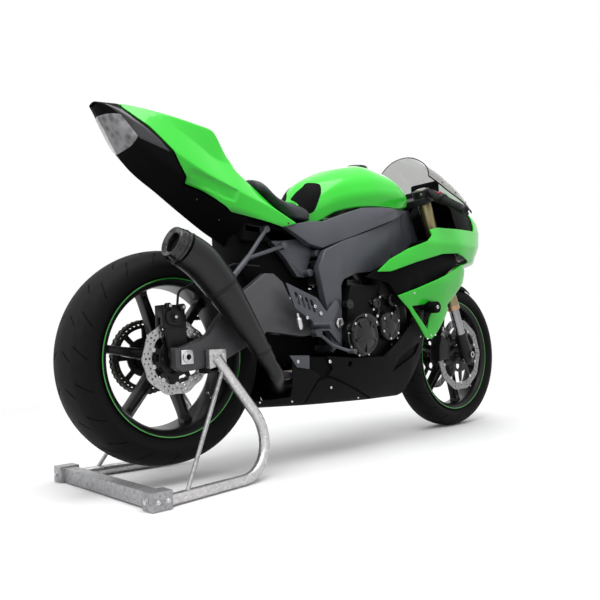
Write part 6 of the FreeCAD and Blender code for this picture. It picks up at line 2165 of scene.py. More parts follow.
@dataclass
class Fairing:
    """Green nose and wings, lower side panels, belly pan, screen, sliders and instrument housing."""

    fasteners: Fasteners
    half: float = 232.0
    pan_half: float = 180.0
    slider: Pair = (1021.0, 495.0)

    def build(self) -> None:
        """Makes the fairing's pieces."""
        self._nose()
        self._sides()
        self._pan()
        self._screen()
        self._sliders()
        self._clocks()

    def nose_skin(self) -> Skin:
        """Skin of the nose, drawn on rearwards over the wings."""
        w = self.half
        stations = [
            (700, [(0, 1010), (96, 1000), (146, 900), (178, 805), (189, 740), (201, 660), (204, 596),
                   (0, 570)]),
            (860, [(0, 1010), (118, 1000), (174, 900), (200, 805), (211, 740), (221, 680), (221, 600),
                   (0, 580)]),
            (1000, [(0, 1010), (130, 1000), (w - 40, 900), (w - 24, 805), (w - 3, 740), (w - 4, 690),
                    (w - 8, 640), (0, 620)]),
            (1200, [(0, 1010), (130, 996), (w - 46, 900), (w - 26, 808), (w - 3, 740), (w - 4, 706),
                    (w - 8, 676), (0, 650)]),
            (1330, [(0, 985), (120, 964), (w - 64, 890), (w - 42, 812), (w - 22, 740), (w - 28, 706),
                    (w - 36, 676), (0, 640)]),
            (1430, [(0, 950), (100, 934), (w - 88, 876), (w - 66, 814), (w - 60, 752), (w - 76, 712),
                    (w - 92, 676), (0, 640)]),
            (1505, [(0, 910), (70, 900), (120, 860), (128, 812), (116, 764), (98, 741), (80, 720),
                    (0, 690)]),
            (1559, [(0, 852), (23, 848), (42, 833), (46, 808), (40, 783), (34, 774), (28, 766), (0, 757)]),
            (1562, [(0, 830), (10, 828), (18, 822), (20, 808), (18, 794), (14, 788), (10, 784), (0, 780)]),
        ]
        return Skin(stations, soft=[0, 26, 16, 10, 10, 12, 12, 0], step=10.0)

    def side_skin(self) -> Skin:
        """Skin of the lower side panels."""
        w = self.half
        stations = [
            (700, [(120, 300), (168, 320), (w - 52, 480), (w - 30, 600), (w - 36, 700), (w - 60, 830)]),
            (860, [(130, 310), (184, 340), (w - 40, 480), (w - 14, 590), (w - 14, 690), (w - 44, 830)]),
            (1080, [(140, 320), (188, 350), (w - 24, 480), (w, 590), (w, 700), (w - 22, 830)]),
            (1200, [(130, 330), (172, 360), (w - 44, 480), (w - 12, 590), (w - 4, 700), (w - 24, 830)]),
            (1330, [(80, 480), (110, 500), (w - 96, 540), (w - 56, 610), (w - 24, 710), (w - 36, 830)]),
        ]
        return Skin([(x, half[::-1]) for x, half in stations], soft=16.0, step=10.0)

    def _nose(self) -> None:
        """Upper fairing with its wings and the dark edge round the screen."""
        skin = self.nose_skin()
        outline = [
            (740, 622), (804, 669), (900, 710), (1010, 744), (1050, 770), (1046, 792), (1100, 803),
            (1392, 812), (1420, 840), (1436, 900), (1410, 922), (1274, 946), (1268, 960), (1296, 968),
            (1300, 1010), (1470, 980), (1600, 900), (1600, 740), (1484, 688), (1486, 697), (1510, 708),
            (1546, 752), (1552, 776), (1470, 745), (1391, 700), (1414, 671), (1404, 668), (1376, 637),
            (1297, 679), (1197, 706), (1099, 699), (944, 663), (801, 624),
        ]
        skin.lined("nose_and_wings", "nose_liner", "upper_fairing", outline, corner=5.0)
        places = skin.spots([(1330, 930), (1400, 905)], 0.85, rise=0.1)
        self.fasteners.row("nose_screws", "chassis", places, Paint.GLOSS_BLACK, BUTTON)

    def _sides(self) -> None:
        """Lower green panels with their triangular opening."""
        skin = self.side_skin()
        outline = [
            (848, 538), (946, 566), (1110, 618), (1236, 664), (1266, 640), (1258, 594), (1181, 534),
            (1138, 504), (1152, 492), (1138, 463), (1083, 401), (1050, 376), (1012, 384), (974, 428),
            (916, 490),
        ]
        notch = [polar(self.slider, 25, t) for t in np.radians([130, 90, 45, 0, -45])]
        hole = [(928, 501), (996, 508), *notch, (1030, 462), (1022, 412)]
        skin.lined("side_panels", "side_panel_liners", "side_fairings", outline, holes=[hole], corner=4.0)
        places = skin.spots([(932, 548), (1046, 390)], 0.85)
        self.fasteners.row("side_screws", "chassis", places, Paint.BOLT, BUTTON)

    def _pan(self) -> None:
        """Black lower cowl: lapped panels with grooves, a slot, a round hole and a small bracket."""
        w = self.pan_half
        rows = [
            (250, (w - 54, 312), (w - 56, 240), (98, 196), (0, 186)),
            (480, (w - 28, 344), (w - 34, 236), (112, 182), (0, 172)),
            (640, (w - 10, 328), (w - 24, 230), (114, 176), (0, 167)),
            (790, (w - 4, 324), (w - 22, 226), (116, 172), (0, 162)),
            (870, (w - 2, 374), (w - 22, 227), (112, 171), (0, 161)),
            (950, (w, 436), (w - 24, 230), (108, 170), (0, 160)),
            (1000, (w - 6, 464), (w - 30, 262), (100, 212), (0, 204)),
            (1050, (w - 14, 470), (w - 40, 300), (90, 262), (0, 256)),
        ]
        stations = []
        for x, upper, lower, floor, keel in rows:
            lean = (upper[0] - lower[0]) / (upper[1] - lower[1])
            stations.append((x, [(upper[0] + 30 * lean, upper[1] + 30), lower, floor, keel]))
        skin = Skin(stations, soft=[0, 30, 22, 0], step=10.0)
        tops = [(x, upper[1]) for x, upper, *_ in rows]

        def rim(x: float) -> float:
            """Height of the upper edge at a place along the bike."""
            return float(np.interp(x, [t[0] for t in tops], [t[1] for t in tops]))

        rear = [(386, rim(386)), (450, rim(450)), (450, 304), (470, 296), (500, 276), (484, 262),
                (463, 226), (443, 150), (276, 150), (272, 192), (250, 200), (250, 214), (386, 214)]
        rear_left = [(250, rim(250)), (480, rim(480)), (556, rim(556)), (556, 284), (540, 274), (500, 276),
                     (484, 262), (463, 226), (443, 150), (276, 150), (272, 192), (250, 200)]
        lower = [(489, 258), (526, 267), (549, 263), (776, 171), (772, 150), (448, 150), (468, 226)]
        upper_edge = [(x, rim(x)) for x in (640, 720, 790, 830, 870, 910, 950, 1000)]
        nose = [(1043, 402), (1050, 334), (1020, 290), (936, 150), (781, 150), (784, 173), (551, 271),
                (530, 275)]
        upper = [(552, 296), (524, rim(524)), (580, rim(580)), *upper_edge, *nose]
        upper_left = [(560, 284), (622, 284), (622, rim(622)), *upper_edge, *nose, (552, 276)]
        slot = [(846, 266), (880, 311), (942, 344), (1020, 366), (991, 326), (880, 279)]
        hole = ring(624, 309, 10.0, 20)
        parts = []
        for line, cuts, sides in ((rear, (), (-1,)), (rear_left, (), (1,)), (lower, (), (-1, 1)),
                                  (upper, (slot, hole), (-1,)), (upper_left, (slot,), (1,))):
            parts.append(skin.panel("pan", line, cuts, corner=3.0, wall=4.0, edge=0.9, sides=sides,
                                    sharp=24))
        finish(joined("belly_pan_panels", parts, 24), "chassis", Paint.PAN, ["belly_pan"])
        liner = [(456, rim(456)), (640, rim(640)), (790, rim(790)), (870, rim(870)), (950, rim(950)),
                 (1000, 450), (1040, 340), (930, 156), (448, 156), (456, 260)]
        behind = skin.panel("belly_pan_liner", liner, corner=3.0, wall=1.5, edge=0.0, out=-7.0)
        finish(behind, "chassis", Paint.PLASTIC)
        bracket = [(374, 350), (452, 346), (452, 302), (402, 311)]
        stay = skin.panel("pan_brackets", bracket, corner=3.0, wall=2.5, edge=0.6, out=3.0, sides=(-1,))
        finish(stay, "chassis", Paint.FRAME)
        places = skin.spots([(408, 329)], 1.5, (-1,)) + skin.spots([(538, 321)], 1.4, (-1,))
        places += skin.spots([(549, 234)], 1.0) + skin.spots([(704, 185), (400, 201), (274, 210)], 0.85)
        places += skin.spots([(994, 442)], 0.9) + skin.spots([(1025, 388)], 0.85)
        self.fasteners.row("pan_screws", "chassis", places, Paint.BOLT, BUTTON)

    def _screen(self) -> None:
        """Smoked bubble with a dark rim and small screws."""
        keys = [(1160, 1027.6, 134, 1129), (1230, 981.6, 158, 1101), (1310, 949.6, 162, 1055),
                (1390, 923.6, 152, 997), (1452, 903.6, 132, 943)]
        xs = np.linspace(1160, 1452, 30)
        rows = between([k[0] for k in keys], [k[1:] for k in keys], xs)
        rings = []
        for x, (base, wide, top) in zip(xs, rows):
            tall = top - base
            half = [(-wide, base + 0.4), (-wide * 0.985, base + tall * 0.28),
                    (-wide * 0.86, base + tall * 0.55), (-wide * 0.45, top - tall * 0.1), (0, top - 0.2)]
            line = rounded(half + [(-y, z) for y, z in half[-2::-1]], 60.0, steps=7, between_corners=1)
            rings.append(np.column_stack([np.full(len(line), x), line]))
        grid = np.array(rings)
        made = grid_skin("screen_bubble", grid, 60)
        outward(made, Vector((0, 0, 1)))
        thicken(made, 3.0, 0.8, 60)
        finish(made, "chassis", Paint.SCREEN, ["windscreen"])
        edge = np.concatenate([grid[:, 0], grid[-1, 1:-1], grid[::-1, -1]])
        trim = swept("trim", edge + (0, 0, -0.2), 2.6, 8)
        rear = swept("rear_trim", grid[0] + (1.4, 0, -1.0), 1.9, 8)
        finish(joined("screen_trim", [trim, rear]), "chassis", Paint.PLASTIC)
        places = []
        for i in (6, 14, 22):
            for j, side in ((2, -1), (-3, 1)):
                places.append((grid[i, j] + (0, side * 0.4, 0), (0, side, 0.5), 0.9))
        self.fasteners.row("screen_screws", "chassis", places, Paint.GLOSS_BLACK, BUTTON)

    def _clocks(self) -> None:
        """Instrument housing above the dash, with its foot and face."""
        parts = [slab("housing", (1294, -66, 984), (1326, 66, 1038), 9.0),
                 slab("foot", (1280, -26, 962), (1304, 26, 992), 3.0),
                 slab("face", (1291, -56, 992), (1296, 56, 1030), 1.5)]
        finish(joined("instrument_housing", parts), "chassis", Paint.PLASTIC)

    def _sliders(self) -> None:
        """Crash bobbins on bolted plates."""
        x, z = self.slider
        rubber, metal = [], []
        for side in (-1, 1):
            face = side * (self.half + 18)
            rubber.append(turned("bobbin", (x, face, z), (0, -side, 0), [
                (11, 5), (13, 0.6), (18, 0), (21.4, 3), (22, 8), (22, 44), (18, 52), (0, 52)], 48))
            metal.append(turned("stem", (x, side * 200, z), (0, -side, 0),
                                [(0, 0), (10, 0), (10, 30), (0, 30)], 24))
            plate = [(x + 16, z + 12), (x - 60, z + 34), (x - 96, z + 34), (x - 96, z + 4), (x, z - 16)]
            low, high = sorted((side * 178.3, side * 168.3))
            metal.append(extruded("plate", plate, low, high, 1.2, corner=6))
        finish(joined("slider_bobbins", rubber), "chassis", Paint.PLASTIC, ["frame_sliders"])
        finish(joined("slider_plates", metal), "chassis", Paint.BRAKE)
        places = [((x, side * (self.half + 12.6), z), (0, side, 0), 1.5) for side in (-1, 1)]
        self.fasteners.row("slider_bolts", "chassis", places, Paint.BOLT, BOLT_HEAD)


@dataclass
class Exhaust:
    """Bent headers, collector, link pipe and the slanted silencer."""

    fasteners: Fasteners
    pivot: Pair = PIVOT
    y: float = -178.0
    header: float = 18.4
    link: float = 23.0

    def build(self) -> None:
        """Makes the exhaust."""
        px, pz = self.pivot
        pipes = []
        for y in (-105, -35, 35, 105):
            route = [(px + 372.3, y, pz + 112), (px + 398, y, pz + 112), (px + 396, y * 0.9, pz - 86),
                     (px + 306, y * 0.7, pz - 196), (px + 20, y * 0.45, pz - 196)]
            pipes.append(swept("header", bent(route, 24, 10), self.header, 20))
            pipes.append(turned("flange", (px + 376, y, pz + 112), (1, 0, 0),
                                [(0, 0), (27, 0), (27, 7), (0, 7)], 32))
        pipes.append(slab("collector", (px - 130, -80, pz - 236), (px + 50, 80, pz - 160), 10.0))
        finish(joined("headers_and_collector", pipes, 40), "chassis", Paint.HEADER, ["exhaust_headers"])
        link = bent([(px - 120, -50, pz - 200), (px - 240, -96, pz - 200), (290, self.y, 293),
                     (256.4, self.y, 339.4)],
                    40, 12)
        finish(swept("link_pipe", link, self.link, 24), "chassis", Paint.SILENCER)
        self._silencer()

    def _ring(self, x: float, z: float, tall: float, wide: float, slope: float,
              count: int = 40) -> np.ndarray:
        """Oval ring of the can."""
        turn = math.radians(slope)
        t = np.linspace(0, 2 * math.pi, count, endpoint=False)
        up = tall * np.cos(t)
        return np.column_stack([x + up * math.sin(turn), self.y + wide * np.sin(t),
                                z + up * math.cos(turn)])

    def _silencer(self) -> None:
        """Oval can with its recessed outlet, bands and rivets."""
        rows = [(-70, 684, 44, 46, 20), (-30, 664, 51, 55, 28), (20, 636, 53, 57, 40),
                (82, 574, 50, 54, 50), (150, 486, 41, 46, 54), (214, 398, 31, 35, 54),
                (256, 340, 26, 27, 54)]
        keys = np.array([0, 1, 2, 3, 4, 5, 6.0])
        smooth = between(keys, rows, np.linspace(0, 6, 40))
        out = np.array((-math.cos(math.radians(20)), 0.0, math.sin(math.radians(20))))
        first = rows[0]
        rings = []
        for shrink, deep in ((22, 46), (18, 44), (17, 10), (15, 6), (9, 3), (4, 0.0), (1.2, 0.4), (0, 2.5)):
            rings.append(self._ring(first[0], first[1], first[2] - shrink, first[3] - shrink,
                                    first[4]) - out * deep)
        cap_ends, groove = 6, 1.2
        rings += [self._ring(*row) for row in smooth[1:cap_ends]]
        finish(lofted("silencer_outlet", np.array(rings), sharp=35), "chassis", Paint.GLOSS_BLACK)
        x, z, tall, wide, slope = smooth[cap_ends]
        rings = [self._ring(x, z, tall - groove, wide - groove, slope)]
        rings += [self._ring(*row) for row in smooth[cap_ends:]]
        can = lofted("silencer_can", np.array(rings), sharp=35)
        finish(can, "chassis", Paint.SILENCER, ["silencer"])
        bands = []
        for low, high in ((3.05, 3.2), (0.55, 0.64), (5.35, 5.5)):
            rows_of = between(keys, rows, [low, low + 0.02, high - 0.02, high])
            grow = (0.2, 1.5, 1.5, 0.2)
            rings = [self._ring(x, z, tall + g, wide + g, slope)
                     for (x, z, tall, wide, slope), g in zip(rows_of, grow)]
            bands.append(lofted("band", np.array(rings), sharp=30))
        finish(joined("silencer_bands", bands), "chassis", Paint.BRAKE)
        places = []
        for key in (0.3, 0.95):
            x, z, tall, wide, slope = between(keys, rows, [key])[0]
            line = self._ring(x, z, tall, wide, slope, 12)
            centre = np.array((x, self.y, z))
            places += [(p, p - centre, 0.55) for p in line]
        self.fasteners.row("silencer_rivets", "chassis", places, Paint.BRAKE, BUTTON, hollow=False)


@dataclass
class Fork:
    """Gold tubes, grey stanchions, feet, axle clamps, mudguard and hoses."""

    fasteners: Fasteners
    half: float = FORK_HALF
    start: float = 205.0
    length: float = 725.0
    stanchion: float = 20.5
    guard_radius: float = 308.0
    guard_half: float = 60.0
    guard_turns: Pair = (62.5, 151.5)
    guard_steps: int = 64

    def build(self) -> None:
        """Makes the fork."""
        self._tubes()
        self._legs()
        self._guard()
        self._hoses()

    def _tubes(self) -> None:
        """Upper tubes with their lower rings and caps."""
        way = on_fork(1, 0) - on_fork(0, 0)
        gold, orange, caps = [], [], []
        for y in (-self.half, self.half):
            gold.append(turned("tube", on_fork(self.start - 24, y), way, [
                (self.stanchion + 0.6, 30), (self.stanchion + 0.6, 24), (26.4, 24), (26.6, 26), (26.2, 60),
                (25.4, 70), (25.4, 236), (26.6, 242), (26.6, 538), (25.4, 540), (0, 540)], 48))
            orange.append(turned("ring", on_fork(self.start, y), way, [
                (self.stanchion + 0.5, 0), (25.6, 0), (26.9, 1.5), (26.9, 20), (25, 22),
                (self.stanchion + 0.5, 22)],
                48, True))
            caps.append(turned("cap", on_fork(self.length - 4, y), way, [
                (0, -10), (23, -10), (23, 2), (20, 3.6), (12, 3.6), (11, 1.4), (0, 1.4)], 6))
        finish(joined("fork_upper_tubes", gold), "steering", Paint.GOLD, ["fork_tubes"])
        finish(joined("fork_lower_rings", orange), "steering", Paint.ORANGE)
        finish(joined("fork_caps", caps), "steering", Paint.SILVER)

    def _legs(self) -> None:
        """Stanchions and dark feet with their lugs, axle nuts and clamp bolts."""
        way = on_fork(1, 0) - on_fork(0, 0)
        bright, dark = [], []
        places = []
        for side in (-1, 1):
            y = side * self.half
            bright.append(turned("leg", on_fork(90, y), way, [(0, 0), (20, 0), (20, 150), (0, 150)], 48))
            dark.append(turned("foot", on_fork(-33, y), way, [
                (0, 0), (19, 0), (24, 6), (27, 18), (27, 62), (26, 84), (24, 104), (25.6, 112), (25.6, 124),
                (22, 128), (0, 128)], 40))
            lug_y = side * 88
            for along_fork, back in ((76, 84), (42, 104)):
                line = straight(on_fork(along_fork, lug_y, -6), on_fork(along_fork, lug_y, -back))
                dark.append(swept("lug", line, 8.9, 20))
            for turn in (0.0, 1.0):
                places.append((on_fork(-24 + 12 * turn, y, -26.0), on_fork(0, 0, -1) - on_fork(0, 0), 0.9))
            dark.append(turned("nut", (FRONT_AXLE[0], side * 126, FRONT_AXLE[1]), (0, side, 0), [
                (13, 0), (17, 0), (17, 9), (15, 11.4), (9, 11.4)], 6))
        finish(joined("fork_stanchions", bright), "steering", Paint.CHROME, ["fork_legs"])
        finish(joined("fork_feet", dark), "steering", Paint.BRAKE)
        self.fasteners.row("axle_clamp_bolts", "steering", places, Paint.BOLT)

    def _guard(self) -> None:
        """Front mudguard with a crowned section and its ears on the fork."""
        inner, half = self.guard_radius, self.guard_half
        section = np.array([(inner - 26, half + 6.5), (inner - 12, half - 1), (inner - 2, half - 14),
                            (inner + 2.4, half - 30), (inner + 3.6, 0.0)])
        full = np.concatenate([section, section[-2::-1] * (1, -1)])
        line = rounded(full, 10.0, steps=4, between_corners=2)
        turns = np.radians(np.linspace(*self.guard_turns, self.guard_steps))
        rows = []
        for i, turn in enumerate(turns):
            ends = min(1.0, math.sin(math.pi * (i + 0.6) / self.guard_steps) * 2.6)
            width = 0.72 + 0.28 * ends
            r = line[:, 0] + (1 - width) * (inner + 3.6 - line[:, 0])
            rows.append(np.column_stack([FRONT_AXLE[0] + r * math.cos(turn), line[:, 1] * width,
                                         FRONT_AXLE[1] + r * math.sin(turn)]))
        guard = grid_skin("guard", np.array(rows), 40)
        centre = metres((FRONT_AXLE[0], 0, FRONT_AXLE[1]))
        total = sum(f.normal.dot(f.center - Vector(centre)) for f in guard.data.polygons)
        if total < 0:
            guard.data.flip_normals()
        thicken(guard, 3.0, 0.8, 40)
        ears = []
        corners = [on_fork(226, 0, -22), on_fork(226, 0, 22), on_fork(298, 0, 36), on_fork(298, 0, -36)]
        for side in (-1, 1):
            low, high = sorted((side * 66, side * 77.5))
            ears.append(extruded("ear", [(c[0], c[2]) for c in corners], low, high, 1.0, corner=10))
        finish(joined("front_mudguard", [guard, *ears], 40), "steering", Paint.PLASTIC, ["front_fender"])

    def _hoses(self) -> None:
        """Brake hoses with crimped ends."""
        hoses, ends = [], []
        for side in (-1, 1):
            route = [on_fork(471, side * 62, -30), on_fork(340, side * 78, -52),
                     on_fork(200, side * 88, -50), (FRONT_AXLE[0] - 126, side * 84, FRONT_AXLE[1] + 104)]
            line = bent(route, 30, 10)
            hoses.append(swept("hose", line, 3.8, 14))
            for here, there in ((line[0], line[1]), (line[-1], line[-2])):
                way = (there - here) / np.linalg.norm(there - here)
                ends.append(swept("crimp", np.array([here, here + way * 16]), 3.99, 14))
        finish(joined("front_brake_hoses", hoses), "steering", Paint.HOSE, ["brake_hoses"])
        finish(joined("hose_crimps", ends), "steering", Paint.SILVER)


@dataclass
class Bars:
    """Clip-on bars, ribbed grips, switches, levers and the reservoir."""

    fasteners: Fasteners
    low: float = 692.0
    half: float = FORK_HALF
    end: Triple = (FRONT_AXLE[0] - 323, 345.0, FRONT_AXLE[1] + 549)

    def build(self) -> None:
        """Makes both sides."""
        black, rubber, metal, red, lever = [], [], [], [], []
        clamp_bolts = []
        for side in (-1, 1):
            start = on_fork(self.low + 14, side * (self.half + 30), 8)
            end = np.array(self.end) * (1, side, 1)
            length = float(np.linalg.norm(end - start))
            way = (end - start) / length
            fork_way = on_fork(1, 0) - on_fork(0, 0)
            black.append(turned("clamp", on_fork(self.low, side * self.half), fork_way, [
                (27.2, 0), (34, 0), (36, 2), (36, 26), (34, 28), (27.2, 28)], 48, True))
            metal.append(turned("bar", start - way * 12, way,
                                [(0, 0), (11, 0), (11, length + 4), (0, length + 4)], 28))
            ribs = [(11, length - 128), (18, length - 128), (18, length - 124), (15.2, length - 122)]
            for i in range(16):
                s = length - 118 + i * 6.4
                ribs += [(15.2, s), (16.0, s + 1), (16.0, s + 3.6), (15.2, s + 4.6)]
            ribs += [(15.2, length - 12), (16, length - 10), (16, length - 8), (11, length - 8)]
            rubber.append(turned("grip", start, way, ribs, 36, True, 30))
            black.append(turned("end", end - way * 6, way, [
                (0, 0), (15, 0), (17, 3), (17, 16), (14, 20), (8, 20), (7, 17), (0, 17)], 32))
            black.append(turned("switch", end - way * 182, way, [
                (11, 0), (18.5, 0), (21, 3), (21, 23), (20, 24), (20, 25), (21, 26), (21, 44), (18.5, 48),
                (11, 48)],
                32, True))
            at = end - way * 204
            ahead = np.array((0.92, 0.0, -0.38))
            back = np.array((0.38, 0.0, 0.92))
            red_at = end - way * 158 - ahead * 16 + back * 12
            red.append(turned("button", red_at, back * 0.7 - ahead,
                              [(0, -4), (6, -4), (6, 4), (5, 5.5), (0, 6)], 20))
            lever.append(turned("perch", at - way * 16, way, [
                (11.2, 0), (14.6, 0), (16, 1.6), (16, 30.4), (14.6, 32), (11.2, 32)], 32, True))
            lever.append(swept("arm", straight(at + ahead * 13, at + ahead * 52), 8.8, 18))
            lever.append(turned("pivot", at + ahead * 50 - back * 9, back, [
                (0, 0), (8.6, 0), (9, 1), (9, 17), (8, 18), (0, 18)], 24))
            first = at + ahead * 50
            bend = first + way * 90 + ahead * 8
            last = first + way * 178
            blade = along([first, first + way * 26 + ahead * 4, bend, (bend + last) / 2 + ahead * 2, last],
                          6.0)
            turn = np.linspace(0, 2 * math.pi, 16, endpoint=False)
            oval = np.column_stack([np.cos(turn) * 5.6, np.sin(turn) * 4.2])
            lever.append(swept("blade", blade, oval, grow=lambda s: 1.05 - 0.3 * s))
            arc = np.linspace(0.3, math.pi - 0.3, 9)
            ball = [(0.0, -7.6), *[(7.6 * math.sin(a), -7.6 * math.cos(a)) for a in arc], (0.0, 7.6)]
            lever.append(turned("ball", last + way, way, ball, 24))
            clamp_bolts.append((on_fork(self.low + 14, side * (self.half + 20), -29), (-0.93, 0, -0.35),
                                0.9))
            if side < 0:
                foot = at + ahead * 39
                cup = foot + (-10, 0, 6)
                lever.append(turned("neck", foot, (0, 0, 1), [(0, 0), (7, 0), (7, 10), (0, 10)], 20))
                lever.append(turned("cup", cup, (0, 0, 1), [
                    (0, 0), (11, 0), (12.4, 1.5), (12.4, 13), (13, 13.6), (13, 17), (11.6, 18.8),
                    (0, 18.8)], 36))
        finish(joined("bar_clamps_and_switches", black), "steering", Paint.BRAKE, ["handlebars"])
        finish(joined("bar_tubes", metal), "steering", Paint.BRAKE)
        finish(joined("bar_grips", rubber, 30), "steering", Paint.RUBBER)
        finish(joined("kill_switches", red), "steering", Paint.RED)
        finish(joined("levers_and_reservoir", lever), "steering", Paint.BRAKE, ["hand_controls"])
        self.fasteners.row("clamp_bolts", "steering", clamp_bolts, Paint.BOLT)


@dataclass
class SideStand:
    """Folded side stand with its foot plate."""

    hinge: Triple = (590.0, 182.0, 318.0)

    def build(self) -> None:
        """Makes the stand."""
        x, y, z = self.hinge
        line = bent([(x - 8, y, z - 1), (x - 120, y + 6, z - 18), (x - 280, y + 20, z - 10)], 60, 10)
        parts = [swept("leg", line, 8.8, 20),
                 slab("foot", (x - 296, y + 2, z - 22), (x - 262, y + 46, z - 14), 1.5)]
        parts.append(turned("knuckle", (x, y - 10, z), (0, 1, 0), [
            (5.4, 0), (13.6, 0), (15, 1.5), (15, 18.5), (13.6, 20), (5.4, 20)], 32, True))
        finish(joined("side_stand_leg", parts), "side_stand", Paint.ARM, ["side_stand"])


@dataclass
class Engine:
    """What is bolted to the engine: domes and ribs of covers, throttle bodies, hoses, fins, bolts."""

    fasteners: Fasteners
    louvres: Louvres
    pivot: Pair = PIVOT
    side: float = 150.0
    reach: float = 190.0
    clutch_radius: float = 66.0
    fins: int = 54
    fin_half: float = 124.0
    fin: Pair = (2.8, 1.1)
    core_lean: Pair = (42.0, 228.0)
    core_length: float = 214.0

    def build(self) -> None:
        """Makes the engine's details."""
        self._clutch()
        self._pick()
        self._left()
        self._intake()
        self._hoses()
        self._fins()
        self._frame_bolts()
        self._rear_caliper()

    def _dome(self, name: str, centre: Pair, y: float, way: int, radius: float,
              rise: float) -> bpy.types.Object:
        """Stepped dome on a round cover."""
        profile = [(radius, -4), (radius, 2), (radius - 3, 4.5), (radius - 7, 5), (radius - 9, 4),
                   (radius - 16, 3.4), (radius - 22, rise * 0.55), (radius * 0.45, rise * 0.9),
                   (radius * 0.2, rise), (0, rise)]
        return turned(name, (centre[0], y, centre[1]), (0, way, 0), profile, 72, sharp=28)

    def _ribs(self, centre: Pair, y: float, way: int, inner: float, outer: float, turns: Sequence[float],
              rise: float) -> list[bpy.types.Object]:
        """Raised radial ribs."""
        made = []
        for degrees in turns:
            turn = math.radians(degrees)
            ray = np.array((math.cos(turn), 0.0, math.sin(turn)))
            side = np.array((-math.sin(turn), 0.0, math.cos(turn)))
            corners = [ray * inner + side * 2.0, ray * outer + side * 4.5, ray * outer - side * 4.5,
                       ray * inner - side * 2.0]
            flat = [(centre[0] + c[0], centre[1] + c[2]) for c in corners]
            low, high = sorted((y, y + way * rise))
            made.append(extruded("rib", flat, low, high, 1.0))
        return made

    def _round_bolts(self, centre: Pair, y: float, way: int, radius: float, count: int,
                     first: float) -> list:
        """Places of bolts on a circle."""
        turns = first + np.linspace(0, 2 * math.pi, count, endpoint=False)
        return pegs([polar(centre, radius, t) for t in turns], y, way, 0.85)

    def _clutch(self) -> None:
        """Clutch cover: dome, star ribs, crescent guard and filler cap."""
        px, pz = self.pivot
        centre = (px + 84, pz - 46)
        y = -self.reach
        parts = [self._dome("clutch_dome", centre, y, -1, self.clutch_radius - 2, 9.0)]
        parts += self._ribs(centre, y - 3.0, -1, 8.0, self.clutch_radius - 12, (54, 126, 198, 270, 342),
                            5.5)
        arc = np.radians(np.linspace(28, 166, 14))
        crescent = [polar(centre, 77, t) for t in arc]
        crescent += [polar(centre, 61 - 12 * math.sin(2 * t), t) for t in arc[::-1]]
        parts.append(extruded("crescent", crescent, y - 6.5, y + 16, 1.2))
        parts.append(turned("filler", (px + 30, -168.0, pz + 62), (0, -1, 0), [
            (0, -20), (15, -20), (15, 2), (17, 2), (17, 9), (14, 11), (5, 11), (4, 13), (0, 13)], 18))
        finish(joined("clutch_cover_dome", parts, 30), "chassis", Paint.COVER)
        bolts = self._round_bolts(centre, y + 13.0, -1, self.clutch_radius + 4, 9, 0.2)
        bolts += pegs([polar(centre, 69, t) for t in (0.7, 1.6, 2.5)], y - 6.5, -1, 0.9)
        self.fasteners.row("clutch_cover_bolts", "chassis", bolts, Paint.BOLT)

    def _pick(self) -> None:
        """Signal cover ahead of the clutch, with the bosses round it."""
        px, pz = self.pivot
        centre = (px + 234, pz - 16)
        y = -self.side - 26
        parts = [self._dome("pick_dome", centre, y, -1, 50.0, 7.0)]
        parts += self._ribs(centre, y - 2.4, -1, 12.0, 40.0, (20, 80, 140, 200, 260, 320), 4.0)
        for x, z, radius, tall in ((px + 262, pz + 76, 22, 34), (px + 216, pz + 104, 17, 26),
                                   (px + 292, pz + 30, 16, 26), (px + 178, pz + 66, 19, 30),
                                   (px + 268, pz - 84, 14, 22)):
            parts.append(turned("boss", (x, -self.side + 10, z), (0, -1, 0), [
                (0, 0), (radius, 0), (radius, tall - 4), (radius - 3, tall), (radius * 0.5, tall),
                (radius * 0.45, tall - 3), (0, tall - 3)], 28))
        finish(joined("signal_cover_and_bosses", parts, 30), "chassis", Paint.COVER)
        bolts = self._round_bolts(centre, y - 4.2, -1, 45.0, 6, 0.4)
        bosses = [(px + 240, pz + 98), (px + 284, pz + 58), (px + 196, pz + 88), (px + 160, pz + 44),
                  (px + 284, pz - 62)]
        bolts += pegs(bosses, -self.side - 14, -1, 0.9)
        self.fasteners.row("signal_cover_bolts", "chassis", bolts, Paint.BOLT)

    def _left(self) -> None:
        """Generator cover with its ribs and bolts."""
        px, pz = self.pivot
        centre = (px + 176, pz + 26)
        y = self.side + 38
        parts = [self._dome("generator_dome", centre, y, 1, self.clutch_radius - 8, 8.0)]
        parts += self._ribs(centre, y + 2.6, 1, 10.0, 44.0, range(0, 360, 45), 4.5)
        finish(joined("generator_cover_dome", parts, 30), "chassis", Paint.COVER)
        bolts = self._round_bolts(centre, y + 4.4, 1, self.clutch_radius - 13, 8, 0.1)
        self.fasteners.row("generator_bolts", "chassis", bolts, Paint.BOLT)

    def _intake(self) -> None:
        """Throttle bodies, their fuel rails and a black box between the spars."""
        px, pz = self.pivot
        parts, bright = [], []
        for y in (-96, -34, 34, 96):
            parts.append(turned("throat", (px + 148, y, pz + 150), (-0.35, 0, 0.94), [
                (0, 0), (24, 0), (24, 30), (27, 32), (27, 52), (24, 56), (0, 56)], 28))
        parts.append(slab("box", (px + 70, -128, pz + 112), (px + 150, -84, pz + 152), 4.0))
        finish(joined("throttle_bodies", parts, 34), "chassis", Paint.COVER)
        for y in (-128, 128):
            line = straight((px + 66, y, pz + 62), (px + 236, y, pz + 118), 6)
            bright.append(swept("rail", line, 5.0, 14))
            for share in (0.2, 0.55, 0.85):
                here = line[0] + (line[-1] - line[0]) * share
                bright.append(swept("collar", np.array([here, here + (8.0, 0, 2.6)]), 8.4, 16))
        finish(joined("fuel_rails", bright, 34), "chassis", Paint.SILVER)

